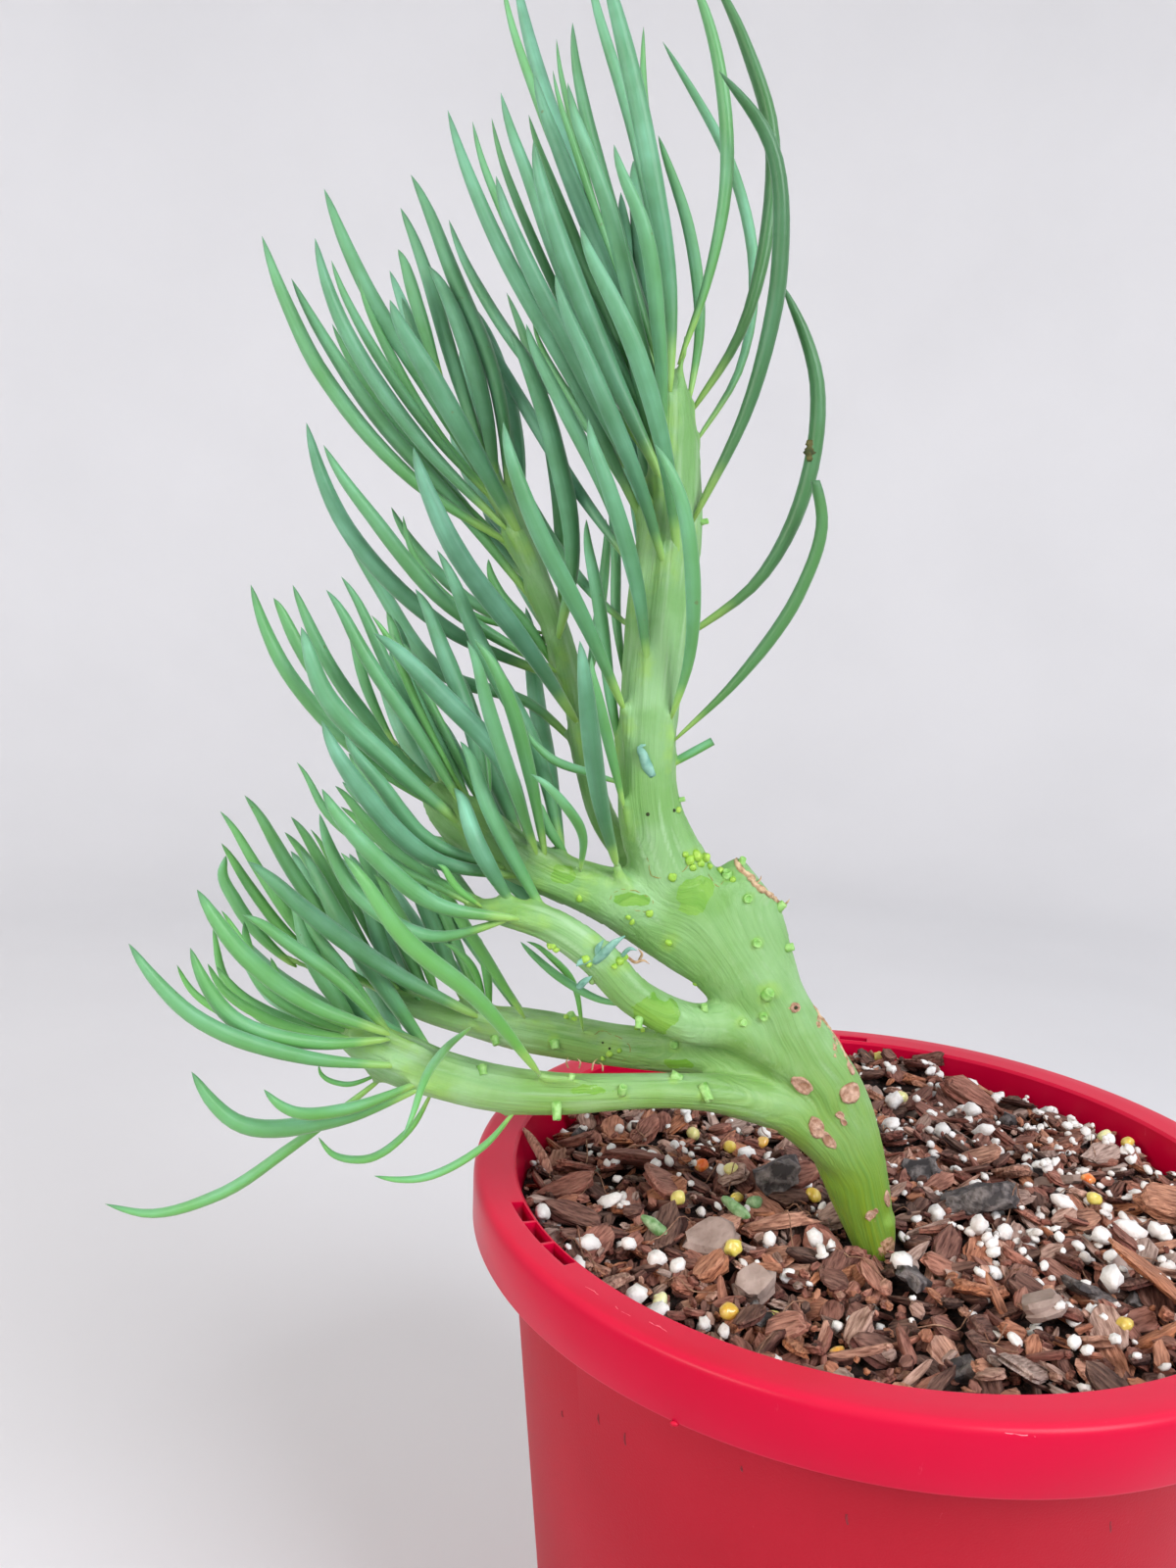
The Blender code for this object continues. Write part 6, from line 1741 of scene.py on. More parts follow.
@dataclass
class PottingMix:
    """Bark chips, splinters and crumbs, perlite and prills, dropped one by one on a bed of peat."""

    pot: NurseryPot
    bed_drop: float = 3.4
    bed_rough: float = 1.0
    # The heap behind the stem, up against the rim: its middle, half sizes and rise.
    heap: tuple = (26.0, 84.0, 30.0, 17.0, 5.6)
    half_grid: int = 92
    wall_room: float = 0.7
    stem_room: tuple = (7.2, 5.4)
    # The inner wall is read no higher than this, below its rounded mouth.
    wall_top: float = 187.0
    # The steepest slope a piece lies at, and how far it strays along and across from its bed's.
    tilt: float = 0.42
    lean: tuple = (0.1, 0.16)
    # The least and the most curl of a piece, and the share of its thickness that others rest on.
    curl: tuple = (-0.012, 0.02)
    overlap: float = 0.92
    tries: int = 5
    sink: float = 0.25
    variants: int = 6
    ragged: float = 0.18
    view_height: float = 182.5
    kinds: tuple = (
        Loose("bark_chips", "flake", Palette.BARK, 190, (7.5, 13.0), (0.45, 0.8), (1.2, 2.8)),
        Loose("bark_chips", "flake", Palette.BARK, 620, (3.6, 8.0), (0.45, 0.9), (0.8, 2.0)),
        Loose("bark_chips", "splint", Palette.BARK, 330, (4.5, 13.0), (0.12, 0.32), (0.7, 2.2)),
        Loose("bark_crumbs", "crumb", Palette.BARK, 1500, (1.2, 4.0), (0.4, 0.95), (0.4, 1.4)),
        Loose("grey_bark_chips", "flake", Palette.GREY_BARK, 40, (4.0, 9.0), (0.5, 0.9), (1.0, 2.4)),
        Loose("charcoal_chunks", "chunk", Palette.CHARCOAL, 12, (3.5, 8.0), (0.6, 0.9), (2.0, 4.0)),
        Loose("perlite_grains", "grain", Palette.PERLITE, 600, (1.2, 3.6), (0.6, 0.95), (1.0, 2.8)),
        Loose("fertiliser_prills", "bead", Palette.PRILL, 10, (3.1, 3.6), (0.95, 1.0), (3.0, 3.4)),
        Loose("leaf_litter", "bead", Palette.LITTER, 0, (), (), ()),
    )
    # Pieces that show, each laid by its Placed row after the name of its kind.
    named: tuple = (
        ("grey_bark_chips", (731, 1257, 13.0, 10.5, 4.5, -0.1)),
        ("charcoal_chunks", (799, 1206, 9.5, 8.0, 6.0, 0.05), (1002, 1232, 15.0, 9.0, 5.0, -0.35),
         (866, 1062, 9.5, 8.0, 8.0, 0.6)),
        ("bark_chips", (655, 1175, 20.0, 15.0, 3.2, 0.1, 0.42), (672, 1205, 10.0, 11.0, 2.2, 0.6, 0.5),
         (793, 1243, 17.0, 5.0, 2.8, -0.25, 0.83), (1172, 1312, 19.0, 12.0, 1.8, -0.8, 0.75),
         (1188, 1238, 16.0, 10.0, 5.0, -0.1, 0.78), (985, 1122, 17.0, 7.0, 5.0, -0.3, 0.5),
         (952, 1088, 12.0, 8.0, 4.0, 0.15, 0.3), (588, 1158, 13.0, 6.0, 3.0, -0.1, 0.45),
         (585, 1200, 15.0, 6.0, 3.5, -0.1, 0.5), (583, 1225, 16.0, 6.0, 3.5, -0.15, 0.2),
         (730, 1288, 9.0, 7.0, 3.0, 0.8, 0.76)),
        ("grey_bark_chips", (772, 1302, 8.5, 7.5, 5.0, 0.4), (1068, 1345, 9.0, 8.0, 3.5, 0.2)),
        ("fertiliser_prills", (695, 1223, 3.6, 3.4, 3.4, 0, 0.3), (751, 1271, 3.9, 3.7, 3.7, 0, 0.34),
         (748, 1165, 3.4, 3.2, 3.2, 0, 0.5), (829, 1214, 3.8, 3.6, 3.5, 0, 0.52),
         (741, 1331, 3.8, 3.6, 3.6, 0, 0.64), (718, 1187, 3.3, 3.1, 3.1, 0, 1.0),
         (706, 1146, 3.8, 3.6, 3.4, 0, 0.16), (748, 1193, 3.4, 3.2, 3.2, 0, 0.2),
         (753, 1212, 5.0, 2.6, 2.6, 0.9, 0.42), (1107, 1205, 3.4, 2.8, 2.8, 0, 0.97),
         (1131, 1160, 4.0, 3.8, 3.8, 0, 0.02), (1153, 1173, 3.4, 3.0, 2.8, 0, 0.5),
         (922, 1122, 4.0, 3.6, 3.4, 0, 0.12), (897, 1086, 3.4, 3.2, 3.2, 0, 0.3)),
        ("leaf_litter", (668, 1244, 7.5, 3.0, 2.8, -0.5, 0.4), (748, 1233, 7.5, 3.2, 3.0, -0.6, 0.5),
         (773, 1222, 4.0, 3.2, 3.0, 0.0, 0.6)),
        ("perlite_grains", (597, 1259, 6.5, 4.6, 4.2, 0.4), (640, 1262, 4.4, 3.4, 3.2),
         (594, 1275, 3.4, 5.6, 3.4), (625, 1215, 7.4, 4.0, 3.2, -0.1), (552, 1228, 4.6, 5.4, 3.6),
         (673, 1280, 4.8, 4.0, 3.8), (694, 1284, 4.2, 3.8, 3.2), (652, 1314, 5.6, 4.4, 4.0),
         (672, 1331, 6.6, 4.0, 3.6), (771, 1288, 5.4, 4.6, 4.4), (783, 1256, 4.0, 3.8, 3.6),
         (836, 1260, 3.8, 5.0, 4.6), (759, 1171, 6.6, 4.4, 4.0, 0.5), (735, 1188, 4.0, 3.8, 3.6),
         (719, 1222, 2.6, 4.2, 3.0), (670, 1194, 3.8, 3.0, 2.8), (684, 1186, 2.8, 3.4, 3.0),
         (650, 1135, 5.4, 4.0, 3.6), (634, 1140, 3.4, 4.0, 3.0), (778, 1152, 4.2, 5.0, 4.0),
         (960, 1238, 4.4, 5.8, 4.8), (915, 1124, 6.2, 5.0, 4.6), (912, 1150, 5.4, 5.0, 4.4),
         (965, 1155, 5.4, 4.6, 4.2), (994, 1140, 5.6, 4.6, 4.2, -0.6), (1005, 1158, 7.0, 4.0, 3.8, -0.5),
         (1075, 1134, 5.4, 4.2, 4.0, -0.6), (1080, 1234, 7.4, 4.2, 3.8, -0.2), (1002, 1262, 4.4, 4.6, 4.2),
         (1026, 1256, 5.6, 4.0, 3.8), (1150, 1258, 8.6, 4.4, 4.4, -0.4), (1180, 1262, 5.4, 5.0, 4.8),
         (1140, 1318, 5.0, 6.2, 5.2), (921, 1290, 6.0, 5.0, 4.4), (1120, 1262, 5.6, 4.4, 4.0)))
    # Perlite grains show a little smaller than they were measured.
    grain_share: float = 0.86
    patch_size: float = 11.0
    # Ends of a bark sliver that leans on the inner wall, as front-view pixel and height.
    sliver: tuple = ((534, 1151, 187.9), (562, 1196, 180.5))
    fibres: int = 60
    fibre_reach: float = 84.0

    def __post_init__(self) -> None:
        """Start the bed's height map and the draws."""
        self.draw = random.Random(11)
        self.blanks = {}
        self.pieces = {}
        axis = np.arange(-self.half_grid, self.half_grid + 1.0)
        self.grid_x, self.grid_y = np.meshgrid(axis, axis, indexing="ij")
        self.heights = self.bed_height(self.grid_x.ravel(), self.grid_y.ravel()).reshape(self.grid_x.shape)
        reach = np.hypot((self.grid_x - STEM_FOOT[0]) / self.stem_room[0],
                         (self.grid_y - STEM_FOOT[1]) / self.stem_room[1])
        self.closed = reach < 1.0

    def bed_height(self, x: Rows, y: Rows) -> Rows:
        """Height of the peat bed at places."""
        level = SOIL_LEVEL + SOIL_SLOPE * np.minimum(x, SOIL_LEVEL_REACH) - self.bed_drop
        middle_x, middle_y, half_x, half_y, rise = self.heap
        level = level + rise * np.exp(-((x - middle_x) / half_x) ** 2 - ((y - middle_y) / half_y) ** 2)
        points = np.stack([x, y, np.zeros(len(x))], axis=1)
        return level + soft_noise(points, 14.0) * self.bed_rough + soft_noise(points, 5.0) * 0.5

    def bed(self) -> None:
        """The closed body of damp peat with its uneven top."""
        rim = self.pot.inner_radius(SOIL_LEVEL) - self.wall_room
        low = self.pot.floor + 0.4
        profile = [(0.0, low), (self.pot.inner_radius(4.0) - 4.0, low)]
        profile += [(self.pot.inner_radius(z) - self.wall_room, z) for z in np.linspace(6.0, 170.0, 5)]
        profile += [(r, SOIL_LEVEL) for r in np.linspace(rim, 0.0, 46)]
        piece = turned("peat_bed", profile, 128)
        spots = spots_of(piece) / MM
        top = spots[:, 2] > SOIL_LEVEL - 0.1
        spots[top, 2] = self.bed_height(spots[top, 0], spots[top, 1])
        move_spots(piece, spots * MM)
        piece.data.materials.append(Palette.PEAT.value.material())
        settle(smooth(piece, 60.0), "bark_mix", "potting_mix")

    def flake(self, sides: int, layers: tuple, seed: int) -> Piece:
        """A flat broken flake in layers: outline radius 1, from z -0.5 to 0.5."""
        piece = start(bpy.ops.mesh.primitive_circle_add, vertices=sides, radius=layers[0],
                      fill_type="NGON", location=(0.0, 0.0, -0.5))
        bpy.ops.object.transform_apply(location=True)
        edit(piece)
        for below, above in zip(layers, layers[1:]):
            bpy.ops.mesh.extrude_region_move(
                TRANSFORM_OT_translate={"value": (0.0, 0.0, 1.0 / (len(layers) - 1))})
            bpy.ops.transform.resize(value=(above / below, above / below, 1.0))
        bpy.ops.mesh.select_all(action="SELECT")
        bpy.ops.mesh.normals_make_consistent(inside=False)
        bpy.ops.transform.vertex_random(offset=self.ragged, uniform=0.0, normal=0.0, seed=seed)
        return close_edit()

    def chunk(self, cuts: int, seed: int) -> Piece:
        """A broken block, from -1 to 1 across and -0.5 to 0.5 in height."""
        edit(start(bpy.ops.mesh.primitive_cube_add, size=1.0))
        bpy.ops.mesh.subdivide(number_cuts=cuts, smoothness=0.35)
        bpy.ops.transform.resize(value=(1.9, 1.9, 0.95))
        bpy.ops.transform.vertex_random(offset=0.2, uniform=0.0, normal=0.0, seed=seed)
        return close_edit()

    def ball(self, detail: int, seed: int, rough: float) -> Piece:
        """A lump of radius 1, half as high."""
        edit(start(bpy.ops.mesh.primitive_ico_sphere_add, subdivisions=detail, radius=1.0))
        bpy.ops.transform.resize(value=(1.0, 1.0, 0.5))
        if rough:
            bpy.ops.transform.vertex_random(offset=rough, uniform=0.0, normal=0.0, seed=seed)
        return close_edit()

    def blank(self, kind: str) -> Piece:
        """One of the variants of a kind's blank, made when it is first asked for."""
        number = self.draw.randrange(self.variants)
        if (kind, number) not in self.blanks:
            makers = {"flake": partial(self.flake, 11, (0.75, 1.0, 0.86, 0.98, 0.84)),
                      "crumb": partial(self.flake, 6, (0.75, 1.0, 0.8)),
                      "splint": partial(self.flake, 8, (0.7, 1.0, 0.85)),
                      "chunk": partial(self.chunk, 3), "bead": lambda seed: self.ball(3, seed, 0.0),
                      "grain": lambda seed: self.ball(2, seed, 0.22)}
            self.blanks[kind, number] = makers[kind](number + 1)
        return self.blanks[kind, number]

    def footing(self, x: float, y: float, size: tuple, turn: float) -> tuple | None:
        """What lies below a piece.

        Args:
            x, y: Its middle in millimetres.
            size: Its length, width and thickness.
            turn: Its turn about Z.

        Returns:
            Grid cells, their places along and across the piece and their heights, or None
            where the piece would meet the stem.
        """
        half = [max(part / 2, 1.0) for part in size[:2]]
        reach = int(half[0] + 1)
        ix, iy = int(round(x)) + self.half_grid, int(round(y)) + self.half_grid
        cells = (slice(max(ix - reach, 0), ix + reach + 1), slice(max(iy - reach, 0), iy + reach + 1))
        dx = self.grid_x[cells] - x
        dy = self.grid_y[cells] - y
        along = dx * math.cos(turn) + dy * math.sin(turn)
        across = dy * math.cos(turn) - dx * math.sin(turn)
        under = (along / half[0]) ** 2 + (across / half[1]) ** 2 < 1.0
        if not under.any() or (self.closed[cells] & under).any():
            return None
        return cells, under, along, across, self.heights[cells]

    def lay(self, kind: Loose, place: tuple, size: tuple, turn: float, tone: float) -> None:
        """Lay one piece on what is below it and raise the height map by it.

        Args:
            kind: What it is.
            place: X and Y of its middle.
            size: Length, width and thickness.
            turn: Its turn about Z.
            tone: What its finish reads for its colour.
        """
        found = self.footing(*place, size, turn)
        if found is None:
            return
        cells, under, along, across, heights = found
        u, v, h = along[under], across[under], heights[under]
        slope_u, slope_v = (
            np.clip((way * h).sum() / max((way * way).sum(), 1.0) + self.draw.gauss(0.0, spread),
                    -self.tilt, self.tilt) for way, spread in zip((u, v), self.lean))
        plane = slope_u * u + slope_v * v
        rest = float(np.percentile(h - plane, 80)) - self.sink * size[2]
        ahead = np.array([math.cos(turn), math.sin(turn), slope_u])
        aside = np.array([-math.sin(turn), math.cos(turn), slope_v])
        ahead = unit(ahead)
        normal = unit(np.cross(ahead, unit(aside)))
        aside = np.cross(normal, ahead)
        blank = self.blank(kind.blank)
        local = spots_of(blank)
        key = self.draw.uniform(0.0, 100.0)
        outline = np.stack([local[:, 0] * 1.1 + key, local[:, 1] * 1.1, local[:, 2] * 0.8], axis=1)
        local = local * (1.0 + soft_noise(outline, 0.8)[:, None] * np.array([0.34, 0.34, 0.2]))
        rim = np.clip(np.hypot(local[:, 0], local[:, 1]) * 1.6 - 0.7, 0.0, 1.0) * (local[:, 2] > 0.2)
        sized = local * (size[0] / 2, size[1] / 2, size[2])
        sized[:, 2] += size[2] * 0.5 + (sized[:, 0] ** 2) * self.draw.uniform(*self.curl)
        middle = np.array([*place, rest])
        spots = middle + sized @ np.stack([ahead, aside, normal])
        limit = self.pot.inner_radius(np.minimum(spots[:, 2], self.wall_top)) - self.wall_room
        radius = np.hypot(spots[:, 0], spots[:, 1])
        spots[:, :2] *= np.minimum(1.0, limit / np.maximum(radius, 0.1))[:, None]
        piece = copy_of(blank, spots)
        mark(piece, "tone", tone)
        mark(piece, "rim", rim)
        mark(piece, "grain", sized[:, [1, 2, 0]] + key * 9.0)
        self.pieces.setdefault(kind.name, []).append(piece)
        level = rest + slope_u * along + slope_v * across + size[2] * self.overlap
        self.heights[cells] = np.where(under, np.maximum(heights, level), heights)

    def random_place(self, kind: Loose, half: float) -> tuple:
        """A place inside the wall for a piece of a half length."""
        limit = self.pot.inner_radius(SOIL_LEVEL) - self.wall_room - half * 0.85
        while True:
            x = self.draw.uniform(-limit, limit)
            y = self.draw.uniform(-limit, limit)
            if math.hypot(x, y) > limit:
                continue
            if kind.blank != "grain" or self.draw.random() <= self.grain_chance(x, y):
                return x, y

    def grain_chance(self, x: float, y: float) -> float:
        """The chance that perlite stays at a place: it lies in patches, and most of it behind
        and to the right."""
        patch = noise.noise(Vector((x / self.patch_size, y / self.patch_size, 3.0)))
        right = min(max((x + 5.0) / 40.0, 0.0), 1.0)
        behind = min(max((y + 78.0) / 45.0, 0.0), 1.0)
        return (0.26 + 0.5 * right + patch * 0.9) * (0.25 + 0.75 * behind)

    def throw(self, kind: Loose) -> None:
        """Drop a piece at the lowest of a few random places."""
        length = self.draw.uniform(*kind.length)
        width = length * self.draw.uniform(*kind.slim)
        size = (length, width, min(self.draw.uniform(*kind.thick), width * 0.9))
        best = None
        for _ in range(1 if kind.blank == "grain" else self.tries):
            place = self.random_place(kind, length / 2)
            turn = self.draw.uniform(0.0, math.pi)
            found = self.footing(*place, size, turn)
            if found is None:
                continue
            bed = self.bed_height(*np.array(place)[:, None])[0]
            level = float(found[4][found[1]].mean() - bed)
            if best is None or level < best[0]:
                best = (level, place, turn)
        if best is not None:
            self.lay(kind, best[1], size, best[2], self.draw.uniform(*kind.tone))

    def lean_sliver(self) -> None:
        """The long sliver that leans on the inner wall."""
        low, high = (on_level(*end) for end in reversed(self.sliver))
        line = low + (high - low) * np.linspace(0.0, 1.0, 7)[:, None]
        line[:, 2] += np.sin(np.linspace(0.0, math.pi, 7)) * 0.5
        widths = np.array([0.7, 1.3, 1.5, 1.4, 1.3, 1.0, 0.3])
        piece = lone_tube(6, line, widths, widths * 0.4)
        mark(piece, "tone", 0.86)
        mark(piece, "rim", 0.3)
        mark(piece, "grain", spots_of(piece) / MM)
        self.pieces["bark_chips"].append(piece)

    def lay_fibres(self) -> None:
        """Thin root fibres and hairs that lie on the chips."""
        blank = tube_blank(5, 9)
        marks = np.linspace(0.0, 1.0, 9)
        for _ in range(self.fibres):
            x, y = self.random_place(self.kinds[0], 8.0)
            heading = self.draw.uniform(0.0, math.tau)
            bend = self.draw.uniform(-1.4, 1.4)
            length = self.draw.uniform(6.0, 16.0)
            angles = heading + bend * marks
            steps = np.stack([np.cos(angles), np.sin(angles)], axis=1) * length / 8
            flat = np.array([x, y]) + np.cumsum(steps, axis=0)
            if (np.hypot(flat[:, 0], flat[:, 1]) > self.fibre_reach).any():
                continue
            ix = np.rint(flat[:, 0]).astype(int) + self.half_grid
            iy = np.rint(flat[:, 1]).astype(int) + self.half_grid
            if self.closed[ix, iy].any():
                continue
            rise = np.convolve(np.pad(self.heights[ix, iy], 1, mode="edge"), (0.25, 0.5, 0.25), "valid")
            arch = np.sin(marks * math.pi) * self.draw.uniform(0.0, 1.6)
            line = np.column_stack([flat, rise + 0.5 + arch])
            radii = np.full(9, self.draw.uniform(0.1, 0.2))
            self.pieces.setdefault("root_fibres", []).append(laid_tube(blank, line, radii, radii))
        drop([blank])

    def build(self) -> None:
        """The whole mix."""
        self.bed()
        queue = [kind for kind in self.kinds for _ in range(kind.count)]
        late = {"crumb": 0.5, "grain": 0.45, "bead": 0.6}
        queue.sort(key=lambda kind: self.draw.random() + late.get(kind.blank, 0.0))
        for kind in queue:
            self.throw(kind)
        kinds = {kind.name: kind for kind in reversed(self.kinds)}
        for name, *rows in self.named:
            share = self.grain_share if name == "perlite_grains" else 1.0
            for spot in (Placed(*row) for row in rows):
                place = on_level(spot.x, spot.y, self.view_height)
                size = (spot.length * share, spot.width * share, spot.thick * share)
                self.lay(kinds[name], (place[0], place[1]), size, spot.turn, spot.tone)
        self.lean_sliver()
        self.lay_fibres()
        for name, pieces in self.pieces.items():
            finish = kinds[name].finish if name in kinds else Palette.FIBRE
            piece = fuse(pieces, name, finish.value)
            round_ = name in ("perlite_grains", "fertiliser_prills", "leaf_litter", "root_fibres")
            settle(smooth(piece, 180.0 if round_ else 32.0), "bark_mix", "potting_mix")
        drop(self.blanks.values())


class Mark(NamedTuple):
    """A small thing on the stem: front-view pixel, radius and height in millimetres, its heading
    in the view in degrees from right by up (without one it stands straight out), and stretch."""

    x: float
    y: float
    radius: float
    height: float
    heading: float | None = None
    stretch: float = 1.0


@dataclass
class SkinMarks:
    """Small things seated on the front of a piece, where the front view shows them."""

    skin: Piece
    search: float = 18.0

    def seat(self, x: float, y: float) -> tuple:
        """The point of the skin nearest to a front-view pixel, and the way out there."""
        for reach in np.arange(0.0, self.search, 1.5):
            for turn in np.linspace(0.0, math.tau, 12, endpoint=False) if reach else (0.0,):
                ray = view_ray(x + reach * math.cos(turn), y + reach * math.sin(turn))
                hit, place, normal, _ = self.skin.ray_cast(Vector(EYE * MM), Vector(ray).normalized())
                if hit:
                    return np.array(place) / MM, np.array(normal)
        raise ValueError(f"nothing of {self.skin.name} is near pixel {x}, {y}")

    def strip(self, route: Sequence, radius: float, rough: float, flat: float = 0.8) -> Piece:
        """A thin uneven line that lies on the skin.

        Args:
            route: Front-view x and y by turns.
            radius: Half the line's width in millimetres.
            rough: How far it strays, in millimetres.
            flat: Its half height as a share of the radius.

        Returns:
            The line.
        """
        rings = max(12, 5 * len(route) // 2)
        pixels = smooth_route(pairs(*route), np.linspace(0.0, 1.0, rings))
        line = np.array([self.seat(x, y)[0] for x, y in pixels])
        shakes = [soft_noise(line + shift, 1.2) for shift in (0.0, 50.0, 90.0)]
        line = line + np.stack(shakes, axis=1) * rough
        ends = np.sin(np.linspace(0.12, 1.0, rings) * math.pi * 0.94) ** 0.4
        radii = radius * ends * (1.0 + soft_noise(line * 1.7, 1.0) * 0.6)
        return lone_tube(8, line, radii, radii * flat)

    def finished(self, pieces: Sequence, name: str, finish: Palette, slot: str) -> None:
        """Join one kind of detail into its piece."""
        settle(smooth(fuse(pieces, name, finish.value), 180.0), slot)


@dataclass
class PotMarks(SkinMarks):
    """Dark nicks on the pot's body, pale rubs on its ring, and a painted highlight along the crown's outer
    edge.
    """

    nicks: tuple = (
        (611, 1442, 611, 1448, 612, 1454), (638, 1462, 638, 1468, 639, 1475),
        (864, 1545, 864, 1550, 865, 1556), (1133, 1552, 1133, 1558, 1133, 1564),
        (757, 1496, 757, 1499, 758, 1502), (574, 1440, 574, 1443, 575, 1446))
    # The last route runs along the crown's outer edge and is a painted highlight; the others are pale rubs.
    rubs_and_painted_highlight: tuple = (
        (597, 1313, 604, 1317, 612, 1322), (662, 1349, 672, 1354, 682, 1360),
        (628, 1334, 636, 1339, 643, 1343), (1020, 1462, 1040, 1464, 1056, 1466))

    def build(self) -> None:
        """The nicks, and the rubs with the painted highlight."""
        nicks = [self.strip(route, 0.3, 0.1, 0.3) for route in self.nicks]
        self.finished(nicks, "pot_nicks", Palette.NICK, "pot_plastic")
        rubs_and_painted_highlight = [self.strip(route, 0.11, 0.25, 0.4) for route in self.rubs_and_painted_highlight]
        self.finished(rubs_and_painted_highlight, "pot_rubs_and_painted_highlight", Palette.RUB, "pot_plastic")


@dataclass
class LeafMarks(SkinMarks):
    """The dead spot on the long leaf at the right."""

    spots: tuple = ((828, 449, 827, 460, 826, 471),)

    def build(self) -> None:
        """The spots as thin crusts."""
        made = [self.strip(route, 1.15, 0.05, 0.3) for route in self.spots]
        self.finished(made, "leaf_spots", Palette.LEAF_SPOT, "leaf")


